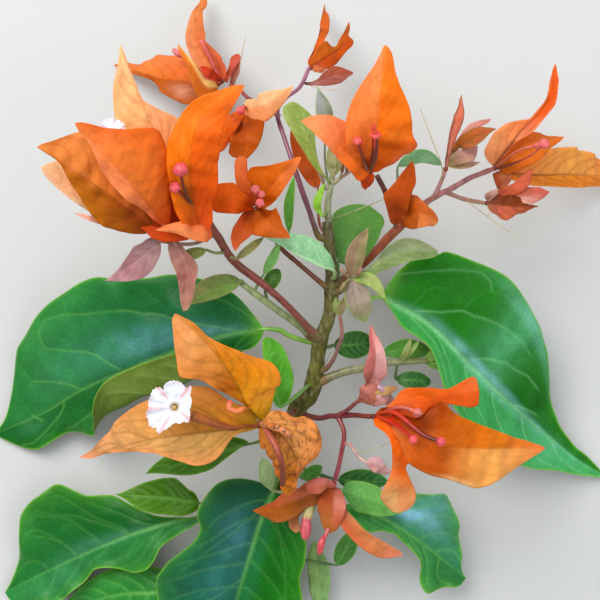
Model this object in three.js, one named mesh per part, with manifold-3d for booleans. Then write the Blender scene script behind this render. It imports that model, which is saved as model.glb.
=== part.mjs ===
// Cut flowering shoot, lying on its back: woody stem with a cut end, stalks, leaves
// and papery bracts around slender flower tubes. Millimetres, +Z up, the cut lower
// end of the stem and the hanging tips rest on z = 0.
import * as THREE from 'three';
import { mergeVertices } from 'three/addons/utils/BufferGeometryUtils.js';
import Module from 'manifold-3d';

const wasm = await Module();
wasm.setup();

// ---- driving dimensions (mm, degrees) ----
const LEAF_THICK = 1.0;      // leaf body at its middle, edges run out thin
const BRACT_THICK = 0.9;     // bract body at its middle
const EDGE_HALF = 0.25;      // half width left at the base and the tip of a blade
const GAP = 0.3;             // clearance between touching solids
const KNOT_R = 1.0;          // seat at the root of each bloom
const CLAW_R = 0.5;          // foot that ties a bract to its seat
const STEM_SIDES = 8;
const STALK_SIDES = 5;
const STALK_STEP = 8;        // length of one stalk segment
const TUBE_SIDES = 4;
const TUBE_STEP = 8;
const FOOT_SIDES = 3;          // stalks of leaves and feet of bracts
const FOOT_STEP = 12;

// Each axis: path of the centreline and radii from foot to end.
// Each blade: spine from base to tip; left and right as [half width, shoulder, taper];
// fold and curl of each half in degrees; stalk and its radius where it has one.
const AXES = {
  main: { node: 'stem_main', path: [[-8.49, -80.02, 2.18], [-7.12, -58.75, 8.03], [-4.58, -38.1, 14.53], [-1.9, -21.46, 19.53], [1.42, -17.08, 21.03], [2.81, -11.07, 22.53], [3.74, -3.95, 24.03], [5.59, 0.75, 25.03], [6.28, 5.43, 26.03], [6.24, 13.55, 27.53], [5.28, 23.43, 29.03]], r: [2.26, 2.22, 2.18, 2.14, 2.06, 2.03, 2.04, 1.68, 1.54, 1.3, 1.06] },
  side: { node: 'shoot_top', path: [[5.5, 24.55, 29.53], [5.46, 27.89, 31.03], [6.1, 31.84, 33.03], [6.31, 33.4, 33.53]], r: [0.83, 0.78, 0.73, 0.59] },
  sideb: { node: 'shoot_top', path: [[5.88, 31.42, 32.63], [7.69, 32.73, 33.43], [9.28, 33.86, 33.43], [10.65, 34.8, 33.03]], r: [0.55, 0.41, 0.36, 0.3] },
  pa: { node: 'stalk_upper_left', path: [[4.21, -3, 24.33], [2.27, -1.61, 29.03], [-0.95, 1.31, 31.23], [-5.71, 5.88, 34.53], [-10.13, 9.68, 38.03], [-14.47, 12.96, 41.03], [-16.77, 15.54, 43.53], [-18.8, 19.16, 46.03], [-19.98, 20.79, 48.03], [-20.7, 22.17, 50.03]], r: [0.75, 0.74, 0.73, 0.77, 0.81, 0.89, 0.92, 0.91, 0.91, 0.9] },
  sg: { node: 'shoot_left', path: [[3.96, -3.48, 24.13], [1.62, -3.01, 23.93], [-0.95, -0.62, 25.83], [-5.8, 2.89, 29.03], [-11.7, 7.26, 32.03], [-14.38, 9.3, 33.03]], r: [0.94, 0.94, 0.89, 0.83, 0.78, 0.64] },
  pt: { node: 'stalk_top', path: [[5.53, 19.32, 28.33], [3.21, 20.45, 28.63], [1.11, 26.13, 30.03], [-1.19, 32.48, 31.03], [-3.25, 38.73, 30.53], [-4.42, 42.3, 29.53], [-6.29, 49.11, 27.03], [-4.22, 52.66, 25.03], [-0.95, 55.57, 23.03], [1.19, 60.48, 20.53]], r: [0.62, 0.62, 0.62, 0.6, 0.57, 0.53, 0.56, 0.49, 0.49, 0.5] },
  ptb: { node: 'stalk_top', path: [[-5.83, 48.14, 27.33], [-9.86, 51.11, 24.53], [-13.21, 53.05, 22.53], [-15.17, 55.19, 21.03], [-17.57, 56.61, 20.33]], r: [0.51, 0.49, 0.47, 0.47, 0.47] },
  pe: { node: 'stalk_right', path: [[6.25, 8.46, 26.63], [8.08, 9.61, 27.63], [11.01, 11.88, 30.03], [14.03, 14.05, 34.03], [19.16, 19.73, 38.53], [21.65, 22.05, 41.03], [24.09, 24.71, 41.03], [26.62, 26.77, 40.03], [29.44, 28.67, 38.53], [33.25, 30.63, 36.53], [37.69, 33.16, 33.53], [43.37, 35.52, 30.53]], r: [0.77, 0.77, 0.81, 0.89, 1.03, 1.02, 0.75, 0.67, 0.65, 0.63, 0.61, 0.57] },
  ped: { node: 'stalk_right', path: [[20.81, 21.2, 40.43], [19.04, 26.3, 43.53], [17.37, 29.64, 45.53], [15.72, 32.3, 47.53]], r: [0.8, 0.66, 0.61, 0.56] },
  pei: { node: 'stalk_right', path: [[28.99, 28.45, 38.63], [30.39, 31.4, 38.03], [31.58, 34.15, 37.43]], r: [0.58, 0.51, 0.47] },
  pej: { node: 'stalk_right', path: [[31.62, 29.7, 37.03], [36.39, 28.43, 33.03], [41.43, 27.77, 29.63]], r: [0.54, 0.5, 0.46] },
  sr: { node: 'shoot_right', path: [[2.11, -13.95, 21.83], [4.56, -13.44, 22.43], [6.1, -12.69, 23.03], [10.3, -11.23, 24.03], [14.29, -10.52, 24.03], [20.7, -9.16, 23.03], [29.14, -9.02, 21.03]], r: [1.02, 1.01, 0.99, 0.94, 0.89, 0.8, 0.62] },
  sc: { node: 'stalk_short', path: [[2.81, -11.3, 22.53], [4.92, -10.76, 24.03], [6.72, -8.53, 26.53], [8.04, -4.95, 29.03], [8.69, -2.38, 30.53], [8.19, 2, 32.03]], r: [0.57, 0.56, 0.51, 0.48, 0.46, 0.41] },
  sb: { node: 'stalk_middle', path: [[6.25, 7.76, 26.53], [4.25, 9.13, 28.63], [-0.95, 13.46, 30.83], [-5.5, 17.5, 33.03], [-8.38, 22.31, 36.53], [-10.05, 25.63, 40.53]], r: [0.58, 0.58, 0.55, 0.55, 0.52, 0.49] },
  pl: { node: 'stalk_lower_right', path: [[-1.9, -21.21, 19.63], [0.92, -21.78, 24.03], [3.68, -21.94, 27.53], [5.95, -21.25, 30.03], [7.52, -21.12, 31.53], [10.82, -20.62, 34.53], [14.91, -20.61, 38.43]], r: [0.67, 0.66, 0.65, 0.6, 0.64, 0.57, 0.56] },
  pln: { node: 'stalk_lower_right', path: [[7.52, -21.12, 31.53], [9.68, -19.45, 35.03], [11.78, -17.34, 38.83]], r: [0.55, 0.5, 0.47] },
  plm: { node: 'stalk_lower_right', path: [[7.52, -20.89, 31.43], [8.86, -23.77, 32.43], [9.07, -26.26, 32.63], [8.63, -29.04, 32.23], [7.76, -33.27, 31.23], [6.85, -36.62, 30.23]], r: [0.57, 0.55, 0.55, 0.55, 0.55, 0.55] },
  pk: { node: 'stalk_lower_left', path: [[-1.19, -20.25, 19.83], [-3.06, -20.99, 25.03], [-6.21, -22.03, 31.53], [-9.54, -22.92, 35.43]], r: [0.67, 0.61, 0.57, 0.54] },
  rt: { node: 'rosette', path: [[6.26, 6.83, 26.33], [8.29, 7.51, 28.63], [9.58, 8.64, 31.03], [10.82, 10.54, 34.63]], r: [0.65, 0.65, 0.64, 0.59] },
  a_t1: { tube: true, node: 'bloom_front_left', path: [[-21.09, 21.72, 50.53], [-22.11, 23.92, 62.03], [-24.32, 31.33, 76.03]], r: [0.64, 0.62, 1.27] },
  a_t2: { tube: true, node: 'bloom_front_left', path: [[-21.09, 21.72, 50.53], [-23.7, 25.34, 65.03], [-26.07, 27.98, 72.03]], r: [0.56, 0.53, 0.79] },
  b_t1: { tube: true, node: 'bloom_top_left', path: [[-19.49, 57.37, 20.03], [-21.59, 60.8, 24.03], [-24.1, 66.23, 25.03]], r: [0.57, 0.61, 0.8] },
  b_t2: { tube: true, node: 'bloom_top_left', path: [[-19.49, 57.37, 20.03], [-20.29, 59.98, 26.03], [-20.63, 61.47, 28.03]], r: [0.52, 0.56, 0.69] },
  d_t1: { tube: true, node: 'bloom_top_right', path: [[14.37, 33.27, 48.53], [12.19, 35.05, 58.03], [10.66, 38.27, 64.03]], r: [0.56, 0.54, 1.22] },
  d_t2: { tube: true, node: 'bloom_top_right', path: [[14.37, 33.27, 48.53], [14.69, 35.05, 58.03], [14.03, 39.04, 66.03]], r: [0.56, 0.54, 1.01] },
  d_t3: { tube: true, node: 'bloom_top_right', path: [[14.37, 33.27, 48.53], [14.78, 36.48, 60.03], [14.03, 41.47, 66.03]], r: [0.52, 0.5, 1.01] },
  f_t1: { tube: true, node: 'bloom_middle', path: [[-10.22, 26.2, 42.03], [-9.97, 27.11, 50.03], [-10.09, 28.79, 53.03]], r: [0.53, 0.52, 0.85] },
  f_t2: { tube: true, node: 'bloom_middle', path: [[-10.22, 26.2, 42.03], [-9.36, 25.9, 49.03], [-8.84, 26.54, 52.03]], r: [0.53, 0.52, 0.85] },
  g_t1: { tube: true, node: 'bloom_back_left', path: [[-13.76, 50.48, 26.43], [-14.67, 49.53, 32.03], [-15.51, 48.2, 38.03]], r: [0.56, 0.55, 0.81] },
  h_t1: { tube: true, node: 'bloom_far_right', path: [[43.9, 35.8, 30.03], [47.68, 37.09, 35.03], [52.77, 38.57, 38.03]], r: [0.55, 0.63, 0.72] },
  h_t2: { tube: true, node: 'bloom_far_right', path: [[43.9, 35.8, 30.03], [47.34, 38.91, 37.03], [53.73, 40.57, 40.03]], r: [0.55, 0.58, 1.02] },
  k_t1: { tube: true, node: 'bloom_lower_left', path: [[-10.19, -22.92, 36.53], [-15.7, -22.51, 43.03], [-20.11, -20.92, 46.03], [-24.73, -19.21, 48.03]], r: [0.56, 0.99, 1.2, 1.41] },
  k_t2: { tube: true, node: 'bloom_lower_left', path: [[-10.19, -22.92, 36.53], [-13.4, -19.26, 45.03], [-15.88, -17.05, 48.03]], r: [0.5, 0.48, 0.86] },
  k_t3: { tube: true, node: 'bloom_lower_left', path: [[-10.19, -22.92, 36.53], [-6.83, -24.39, 46.03], [-5.07, -28.29, 48.03], [-4.48, -36.29, 42.03]], r: [0.68, 0.87, 0.86, 0.75] },
  l_t1: { tube: true, node: 'bloom_lower_right', path: [[15.56, -20.55, 39.03], [21.51, -22.8, 51.03], [28.04, -24.61, 56.03]], r: [0.58, 0.6, 1.05] },
  l_t2: { tube: true, node: 'bloom_lower_right', path: [[15.56, -20.55, 39.03], [20.44, -21.3, 51.03], [23.3, -24.09, 55.03]], r: [0.58, 0.6, 0.97] },
  l_t3: { tube: true, node: 'bloom_lower_right', path: [[15.56, -20.55, 39.03], [20.44, -18.74, 51.03], [24.65, -19.54, 54.03]], r: [0.58, 0.6, 0.97] },
  m_t1: { tube: true, node: 'bloom_bottom', path: [[6.64, -37.38, 29.83], [2.67, -38.59, 34.03], [1.08, -41.38, 35.03], [0.42, -49.39, 32.03]], r: [0.6, 0.77, 1.31, 1.37] },
  m_t2: { tube: true, node: 'bloom_bottom', path: [[6.64, -37.38, 29.83], [6.5, -43.1, 35.53], [5.35, -47.09, 36.03], [3.12, -51.97, 34.03]], r: [0.51, 0.59, 0.81, 0.68] },
};

const BLADES = {
  left_big: { node: 'leaf_left', spine: [[-9.4, -1.37, 24.03], [-21.26, -3.54, 22.03], [-37.66, -9.21, 17.03], [-54.2, -16.39, 10.03], [-64.59, -22.52, 4.53], [-78.23, -28.41, 0.63]], left: [20.66, 0.75, 0.95], right: [23.65, 0.9, 1], fold: [[-30, -28, -25, -15, -5, 0], [4, 6, 6, 2, 0]], curl: [[70, 125, 150, 125, 40, 0], [-6, -10, -16, -14, 0]], stalk: [[3.74, -4.42, 24.03], [1.17, -4.49, 22.03], [-3.31, -3.04, 23.03], [-5.88, -1.61, 24.03], [-9.17, -1.37, 24.03]], stalkR: 0.61, across: 4, along: 8 },
  right_big: { node: 'leaf_right', spine: [[17.62, 6.13, 27.03], [23.91, 2.87, 27.03], [30.38, -1.35, 25.03], [44.73, -15.14, 18.03], [65.61, -32.57, 6.03], [77.84, -40.02, 0.63]], left: [20.39, 0.5, 1.7], right: [10.79, 1.4, 1.3], fold: [2, 12], curl: [-8, 8], stalk: [[6.04, 4.73, 25.93], [9.52, 4.73, 26.53], [12.98, 5.43, 27.03], [17.17, 6.13, 27.03]], stalkR: 0.61, across: 3, along: 8 },
  b1: { node: 'leaf_low_left', spine: [[-25.38, -47.3, 11.53], [-36.84, -49.99, 11.53], [-49.68, -55.1, 9.03], [-62.99, -61.59, 5.03], [-75.41, -68.27, 0.83]], left: [7.13, 0.4, 0.4], right: [16.93, 1.8, 1.2], fold: [6, 3], curl: [4, -8], stalk: [[-5.33, -43.17, 13.03], [-10.28, -45.07, 10.23], [-15.64, -45.98, 10.63], [-25.12, -47.3, 11.53]], stalkR: 0.56, across: 2, along: 6 },
  b2: { node: 'leaf_low_left_under', spine: [[-28.11, -65.66, 8.03], [-37.35, -66.88, 7.03], [-48.05, -68.31, 5.03], [-61.02, -73.3, 0.83]], left: [6.72, 0.6, 0.8], right: [6.72, 0.6, 0.8], curl: [-8, -8], stalk: [[-7.54, -66.11, 6.03], [-13.43, -66.86, 4.83], [-19.59, -66.64, 5.83], [-27.61, -65.66, 8.03]], stalkR: 0.51, across: 2, along: 6 },
  b3: { node: 'leaf_low_middle', spine: [[-6.9, -39.24, 20.03], [-10.27, -47.1, 18.53], [-14.51, -61.08, 14.53], [-16.29, -67.34, 12.53], [-19.58, -81.5, 6.03]], left: [14.75, 0.6, 0.5], right: [18.43, 0.4, 0.3], fold: [6, 2], curl: [-6, -12], stalk: [[-3.6, -31.91, 15.83], [-5.49, -34.62, 19.03], [-6.9, -39, 20.03]], stalkR: 0.56, across: 2, along: 6 },
  b3b: { node: 'leaf_small_pale', spine: [[-7.75, -39.13, 24.03], [-8.89, -35.18, 25.53], [-9.81, -31.39, 26.03]], left: [1.87, 0.7, 0.8], right: [2.1, 0.7, 0.8], curl: [-30, -30], stalk: [[-4.71, -38.61, 14.33], [-4.05, -39.16, 19.03], [-5.44, -39.81, 22.63], [-7.53, -39.38, 24.03]], stalkR: 0.37, across: 1, along: 3 },
  b4: { node: 'leaf_olive_left', spine: [[-25.14, -43.66, 14.53], [-34.46, -41.71, 17.83], [-45.49, -41.27, 16.03]], left: [4.35, 0.4, 0.9], right: [4.67, 1, 1.5], fold: [8, 8], curl: [-10, -10], stalk: [[-5.08, -41.63, 13.53], [-10.19, -42.41, 13.23], [-15.51, -43.07, 13.63], [-24.9, -43.66, 14.53]], stalkR: 0.44, across: 1, along: 5 },
  b5: { node: 'leaf_olive_under', spine: [[-12.61, -28.13, 26.03], [-24.33, -31.52, 25.03], [-37.43, -35.78, 21.03]], left: [3.52, 1.8, 1.8], right: [3.99, 0.6, 0.8], curl: [-8, -8], stalk: [[-3, -26.42, 17.63], [-6.15, -26.86, 22.53], [-9.85, -27.54, 25.03], [-12.61, -28.13, 26.03]], stalkR: 0.47, across: 1, along: 5 },
  b6: { node: 'leaf_low_right', spine: [[8.64, -43.52, 17.03], [18.79, -47.04, 16.03], [27.97, -53.13, 13.03], [40.27, -63.62, 6.03]], left: [11.79, 1.8, 1.7], right: [6.16, 1, 0.3], fold: [4, 8], curl: [-8, 12], stalk: [[-5.08, -42.41, 13.23], [-1.44, -43.62, 13.23], [2.67, -43.62, 14.83], [8.64, -43.52, 17.03]], stalkR: 0.51, across: 2, along: 6 },
  b7: { node: 'leaf_light_right', spine: [[8.94, -39.28, 23.03], [15.99, -41.41, 23.03], [23.29, -45.18, 20.03]], left: [3.18, 0.3, 0.7], right: [3.89, 0.7, 1], fold: [6, 4], curl: [-10, -10], stalk: [[-4.09, -35.62, 15.03], [-0.95, -36.84, 18.53], [3.31, -37.95, 20.83], [8.94, -39.28, 23.03]], stalkR: 0.44, across: 1, along: 4 },
  b7b: { node: 'leaf_dark_right', spine: [[8.07, -37.34, 20.03], [13.79, -37.59, 20.03], [20.1, -38.09, 18.03]], left: [2.86, 0.6, 0.7], right: [2.38, 0.6, 0.7], stalk: [[-3.6, -33.11, 15.73], [-0.47, -34.88, 17.03], [3.34, -36.1, 18.63], [8.07, -37.34, 20.03]], stalkR: 0.42, across: 1, along: 4 },
  b8: { node: 'leaf_pale_low', spine: [[4.01, -71.08, 6.03], [3.75, -63.25, 6.63], [2.52, -54.24, 7.03]], left: [2.73, 0.6, 0.7], right: [2.73, 0.6, 0.7], curl: [-14, -14], stalk: [[-7.69, -69.31, 5.03], [-2.21, -71.27, 5.23], [4.01, -71.33, 6.03]], stalkR: 0.42, across: 1, along: 4 },
  b8c: { node: 'leaf_small_low', spine: [[-0.24, -36.59, 22.03], [1.86, -35.28, 23.03], [4.24, -33.7, 22.53]], left: [1.65, 0.6, 0.7], right: [1.65, 0.6, 0.7], stalk: [[-3.35, -30.38, 16.53], [-1.67, -33.06, 20.03], [-0.24, -36.59, 22.03]], stalkR: 0.37, across: 1, along: 3 },
  b8b: { node: 'leaf_low_edge', spine: [[8.13, -59.66, 9.63], [10.3, -55.53, 10.63], [12.8, -50.84, 9.53]], left: [2.45, 0.6, 0.7], right: [2.45, 0.6, 0.7], stalk: [[-7.12, -58.75, 8.03], [-0.21, -58.52, 9.23], [8.13, -59.66, 9.63]], stalkR: 0.4, across: 1, along: 4 },
  l5: { node: 'leaf_bright_middle', spine: [[-5.55, -19.18, 30.03], [-7.4, -10.67, 30.03], [-8.57, -3.1, 29.03]], left: [1.81, 0.3, 0.3], right: [4.55, 0.5, 0.6], fold: [10, 4], curl: [6, -14], stalk: [[2.11, -13.95, 21.83], [-0.26, -15.51, 26.53], [-3.25, -17.83, 29.63], [-5.33, -19.18, 30.03]], stalkR: 0.47, across: 1, along: 4 },
  l3: { node: 'leaf_mint', spine: [[6.79, 12.04, 33.03], [-0.95, 15.54, 37.03], [-9.42, 19.68, 39.53]], left: [0.65, 0.3, 2], right: [4.53, 0.6, 0.8], fold: [4, 6], curl: [-8, -8], stalk: [[6.37, 10.31, 27.13], [6.96, 10.7, 31.03], [6.79, 12.04, 33.03]], stalkR: 0.51, across: 1, along: 5 },
  r1: { node: 'rosette', spine: [[10.8, 10.52, 34.93], [11.8, 16.18, 38.03], [14.12, 21.38, 41.03]], left: [2.24, 0.6, 0.9], right: [2.02, 0.6, 0.9], fold: [10, 10], across: 1, along: 4 },
  r2: { node: 'rosette', spine: [[10.8, 10.52, 34.93], [21.71, 15.86, 34.53], [30.26, 16.52, 35.03]], left: [2.94, 1.8, 0.9], right: [2.19, 0.3, 0.3], fold: [5, 5], curl: [-6, -6], across: 1, along: 5 },
  r3: { node: 'rosette', spine: [[10.8, 10.52, 34.93], [12.32, 4.75, 36.53], [13.7, 0.47, 36.03]], left: [2.93, 0.6, 0.7], right: [2.93, 0.6, 0.7], fold: [5, 5], curl: [-8, -8], across: 1, along: 4 },
  r4: { node: 'rosette', spine: [[10.8, 10.52, 34.93], [15.03, 9.71, 36.53], [18.21, 5.88, 36.03]], left: [1.58, 0.6, 0.8], right: [1.35, 0.6, 0.8], fold: [10, 10], across: 1, along: 4 },
  round: { node: 'leaf_round_back', spine: [[7.97, 14.36, 23.53], [11.29, 20.73, 23.03], [15.69, 27.77, 20.03]], left: [6.1, 1.1, 0.8], right: [6.17, 0.3, 0.3], fold: [3, 3], curl: [-8, -8], stalk: [[6.26, 7.06, 26.23], [8.21, 9.2, 23.53], [7.97, 14.12, 23.53]], stalkR: 0.47, across: 2, along: 4 },
  yn: { node: 'shoot_top', spine: [[4.06, 24.59, 32.53], [2.9, 27.45, 34.03], [4.71, 31.95, 34.53]], left: [0.91, 0.6, 0.8], right: [0.91, 0.6, 0.8], stalk: [[5.49, 25.66, 30.23], [4.06, 24.59, 32.53]], stalkR: 0.33, across: 1, along: 3 },
  kl: { node: 'leaf_olive_top', spine: [[4.68, 33.2, 35.53], [0.85, 41.38, 37.03], [-3.21, 50.07, 36.03]], left: [2.74, 0.8, 0.3], right: [2.68, 1.8, 0.6], fold: [6, 6], curl: [-10, -10], stalk: [[6.1, 31.83, 33.13], [5.5, 32.34, 35.03], [4.68, 33.2, 35.53]], stalkR: 0.3, across: 1, along: 5 },
  tip1: { node: 'shoot_top', spine: [[6.31, 33.83, 33.83], [6.04, 36.99, 36.03], [5.58, 40.09, 36.53]], left: [1.13, 0.6, 0.8], right: [1.13, 0.6, 0.8], stalk: [[6.1, 32.06, 33.13], [6.31, 33.83, 33.83]], stalkR: 0.51, across: 1, along: 3 },
  tip2: { node: 'shoot_top', spine: [[6.54, 33.83, 33.83], [7.62, 36.31, 36.03], [8.72, 39.19, 36.53]], left: [1.13, 0.6, 0.8], right: [1.13, 0.6, 0.8], stalk: [[6.1, 32.06, 33.13], [6.54, 33.83, 33.83]], stalkR: 0.51, across: 1, along: 3 },
  spike: { node: 'leaf_lilac_top', spine: [[5, 46.23, 31.03], [4.76, 48.46, 31.53], [2.96, 54.66, 30.03]], left: [2.06, 0.5, 1.3], right: [1.83, 0.5, 1.3], fold: [10, 10], stalk: [[5.89, 30.11, 32.13], [4.78, 37.53, 31.03], [5, 46.23, 31.03]], stalkR: 0.28, across: 1, along: 3 },
  t1: { node: 'leaf_narrow', spine: [[-3.44, 20.77, 36.03], [-3.43, 26.77, 37.03], [-2.31, 33.44, 35.53]], left: [1.13, 0.6, 0.8], right: [1.13, 0.6, 0.8], fold: [10, 0], stalk: [[6.24, 14.25, 27.63], [2.71, 14.36, 31.63], [-0.95, 17.25, 33.43], [-3.44, 20.54, 36.03]], stalkR: 0.3, across: 1, along: 4 },
  gg: { node: 'leaf_grey_right', spine: [[21.03, 35.48, 37.53], [26.41, 37.27, 37.53], [31.11, 35.91, 35.53]], left: [2.02, 0.6, 0.7], right: [1.12, 0.6, 0.7], stalk: [[25.23, 25.62, 40.63], [22.32, 28.7, 38.23], [21.03, 32.34, 37.53], [21.03, 35.27, 37.53]], stalkR: 0.35, across: 1, along: 4 },
  lb1: { node: 'leaf_brown_left', spine: [[-14.94, 14.39, 45.03], [-11.88, 16.79, 45.03], [-8.89, 19.32, 42.53]], left: [0.88, 0.6, 0.8], right: [0.99, 0.6, 0.8], stalk: [[-16.56, 15.11, 43.33], [-14.94, 14.39, 45.03]], stalkR: 0.35, across: 1, along: 3 },
  lb2: { node: 'leaf_mint_small', spine: [[-9.12, 11.32, 34.53], [-7.04, 14.91, 36.03], [-5.45, 18.68, 37.03]], left: [1.13, 0.6, 0.8], right: [1.13, 0.6, 0.8], stalk: [[-11.46, 7.14, 31.93], [-10.29, 9.54, 33.03], [-9.12, 11.32, 34.53]], stalkR: 0.35, across: 1, along: 3 },
  lb3: { node: 'leaf_dark_small', spine: [[-8.96, 7.72, 31.53], [-7.34, 9.99, 32.53], [-5.75, 12.52, 32.03]], left: [1.83, 0.6, 0.6], right: [1.83, 0.6, 0.6], stalk: [[-8.31, 4.74, 30.23], [-8.96, 7.72, 31.53]], stalkR: 0.35, across: 1, along: 3 },
  lm1: { node: 'leaf_dark_middle', spine: [[7.12, -5.26, 20.03], [11.45, -5.3, 19.03], [16.81, -4.65, 17.03]], left: [3.34, 0.6, 0.6], right: [3.34, 0.6, 0.6], stalk: [[3.28, -6.08, 23.53], [5.67, -5.68, 21.43], [7.37, -5.26, 20.03]], stalkR: 0.47, across: 1, along: 4 },
  gl: { node: 'leaf_green_right', spine: [[18.74, -7.15, 20.53], [23.92, -6.17, 21.03], [30.23, -6.95, 19.53]], left: [2.37, 0.6, 0.6], right: [2.14, 0.6, 0.6], stalk: [[18.81, -9.5, 23.23], [18.74, -7.15, 20.53]], stalkR: 0.37, across: 1, along: 4 },
  lm2: { node: 'leaf_dark_lower', spine: [[21.9, -13.38, 19.53], [25.71, -13.61, 19.53], [30.39, -14.18, 18.03]], left: [2.15, 0.6, 0.6], right: [2.15, 0.6, 0.6], stalk: [[22.14, -9.12, 22.73], [21.82, -11.64, 20.63], [21.9, -13.38, 19.53]], stalkR: 0.37, across: 1, along: 3 },
  lg1: { node: 'leaf_young_left', spine: [[-14.32, 9.73, 34.53], [-22.25, 7.02, 34.53], [-26.77, 4.52, 32.03]], left: [2.04, 0.6, 0.8], right: [3.18, 0.6, 0.8], fold: [8, 8], curl: [-8, -8], stalk: [[-13.94, 9.07, 32.93], [-14.32, 9.73, 34.53]], stalkR: 0.47, across: 1, along: 4 },
  nb1: { node: 'leaf_young_rose', spine: [[-28, 18.32, 50.03], [-25.29, 11.89, 49.03], [-26.42, 3.03, 46.03]], left: [2.03, 0.3, 0.3], right: [2.7, 0.3, 0.9], fold: [14, 14], curl: [-8, -8], stalk: [[-19.77, 20.57, 47.83], [-23.98, 19.2, 49.33], [-28, 18.32, 50.03]], stalkR: 0.4, across: 1, along: 4 },
  nb2: { node: 'leaf_young_mauve', spine: [[-31, 17.88, 50.03], [-36.28, 13.62, 49.03], [-43.41, 9.57, 46.03]], left: [3.62, 0.7, 1.1], right: [2.77, 0.3, 1.3], fold: [10, 10], curl: [-8, -8], stalk: [[-19.2, 19.77, 46.63], [-24.42, 17.61, 46.63], [-31, 17.88, 50.03]], stalkR: 0.4, across: 1, along: 4 },
  nb3: { node: 'leaf_young_olive', spine: [[-21.34, 16.29, 47.03], [-24.34, 15.39, 47.53], [-27.9, 14.57, 46.53]], left: [1.3, 0.6, 0.8], right: [1.3, 0.6, 0.8], stalk: [[-16.96, 15.95, 44.03], [-19.27, 15.68, 45.53], [-21.34, 16.29, 47.03]], stalkR: 0.35, across: 1, along: 3 },
  a_1: { node: 'bloom_front_left', spine: [[-28.58, 20.93, 57.03], [-35.63, 28.82, 67.03], [-45.63, 40.59, 71.03]], left: [3.21, 1.6, 2], right: [11.59, 1.8, 1.5], fold: [-14, 6], curl: [0, -10], foot: true, across: 1, along: 6 },
  a_2: { node: 'bloom_front_left', spine: [[-33.75, 19.82, 54.03], [-42.35, 27.17, 60.03], [-54.38, 36.55, 63.03]], left: [4.57, 1.1, 2], right: [7.59, 0.6, 0.3], fold: [-6, 4], curl: [-6, -6], foot: true, across: 1, along: 5 },
  a_3: { node: 'bloom_front_left', spine: [[-34.1, 19.12, 51.03], [-44.96, 26.17, 54.03], [-55.35, 33.27, 55.03]], left: [2.97, 0.6, 0.8], right: [4.67, 0.6, 0.8], foot: true, across: 1, along: 5 },
  a_4: { node: 'bloom_front_left', spine: [[-26.58, 31.48, 56.03], [-32.01, 43.11, 60.03], [-38.07, 58.2, 58.03]], left: [7, 1.8, 1.7], right: [4.4, 0.5, 2], fold: [4, 4], foot: true, across: 1, along: 5 },
  a_5: { node: 'bloom_front_left', spine: [[-22.8, 20.13, 56.03], [-21.84, 32.55, 68.03], [-12.52, 48.09, 70.03]], left: [7.27, 1.4, 0.7], right: [4.53, 0.4, 0.9], fold: [6, -6], curl: [-8, -8], foot: true, across: 1, along: 6 },
  a_6: { node: 'bloom_front_left', spine: [[-21.09, 21.72, 50.53], [-25.65, 19.88, 57.03], [-33.03, 20.75, 60.03]], left: [2.52, 0.6, 0.7], right: [2.73, 0.6, 0.7], curl: [-20, -20], across: 1, along: 4 },
  a_7: { node: 'bloom_front_left', spine: [[-36.12, 20.79, 52.03], [-42.96, 22.04, 56.03], [-48.43, 23.71, 56.03]], left: [0.74, 0.6, 0.8], right: [0.74, 0.6, 0.8], foot: true, across: 1, along: 4 },
  b_1: { node: 'bloom_top_left', spine: [[-19.49, 57.37, 20.03], [-25.58, 68.22, 15.03], [-24.19, 81.42, 4.03]], left: [3.12, 0.3, 0.5], right: [2.86, 0.3, 1.3], fold: [4, 4], across: 1, along: 6 },
  b_2: { node: 'bloom_top_left', spine: [[-19.49, 57.37, 20.03], [-20.59, 57.82, 25.03], [-24.18, 59.33, 27.03]], left: [1.88, 0.6, 0.8], right: [1.88, 0.6, 0.8], across: 1, along: 4 },
  b_3: { node: 'bloom_top_left', spine: [[-19.49, 57.37, 20.03], [-16.9, 58.93, 24.03], [-15.96, 63.15, 24.03]], left: [1.18, 0.6, 0.8], right: [1.18, 0.6, 0.8], across: 1, along: 4 },
  b_4: { node: 'bloom_top_left', spine: [[-22.44, 55.11, 18.53], [-28.44, 58.23, 15.53], [-35.73, 59.57, 10.53], [-43.06, 62.5, 5.03], [-47.91, 64.77, 0.73]], left: [4.9, 0.4, 2], right: [7, 1.6, 2], fold: [6, 6], curl: [-6, -10], foot: true, across: 1, along: 6 },
  b_5: { node: 'bloom_top_left', spine: [[-19.49, 57.37, 20.03], [-25.51, 58.33, 22.03], [-29.71, 65.8, 20.03]], left: [4.45, 0.4, 2], right: [1.66, 1.8, 1.3], fold: [6, 6], across: 1, along: 4 },
  c_1: { node: 'bloom_top_middle', spine: [[1.65, 60.48, 20.53], [3.89, 67.94, 14.03], [5.1, 79.64, 0.83]], left: [1.46, 0.5, 0.9], right: [1.71, 0.5, 0.9], fold: [8, 8], across: 1, along: 5 },
  c_2: { node: 'bloom_top_middle', spine: [[1.65, 60.48, 20.53], [6.42, 63.19, 20.03], [10.08, 66.62, 17.03], [10.99, 72.73, 12.03]], left: [2.91, 0.3, 1.5], right: [2.01, 0.3, 0.9], fold: [6, 6], across: 1, along: 5 },
  c_3: { node: 'bloom_top_middle', spine: [[1.65, 60.48, 20.53], [6.55, 57.98, 24.03], [11.76, 58.87, 23.03]], left: [2.12, 0.8, 0.8], right: [2.12, 0.8, 0.8], across: 1, along: 4 },
  d_1: { node: 'bloom_top_right', spine: [[14.37, 33.27, 48.53], [14.89, 45.05, 58.03], [16.92, 58, 59.03]], left: [5.38, 0.9, 1.4], right: [8.47, 0.5, 1.1], fold: [10, -4], curl: [0, -6], across: 1, along: 5 },
  d_2: { node: 'bloom_top_right', spine: [[14.37, 33.27, 48.53], [6.42, 38.75, 55.03], [-0.95, 43.18, 55.03]], left: [4.23, 0.3, 2], right: [4.64, 1.8, 1], fold: [6, 6], across: 1, along: 5 },
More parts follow.
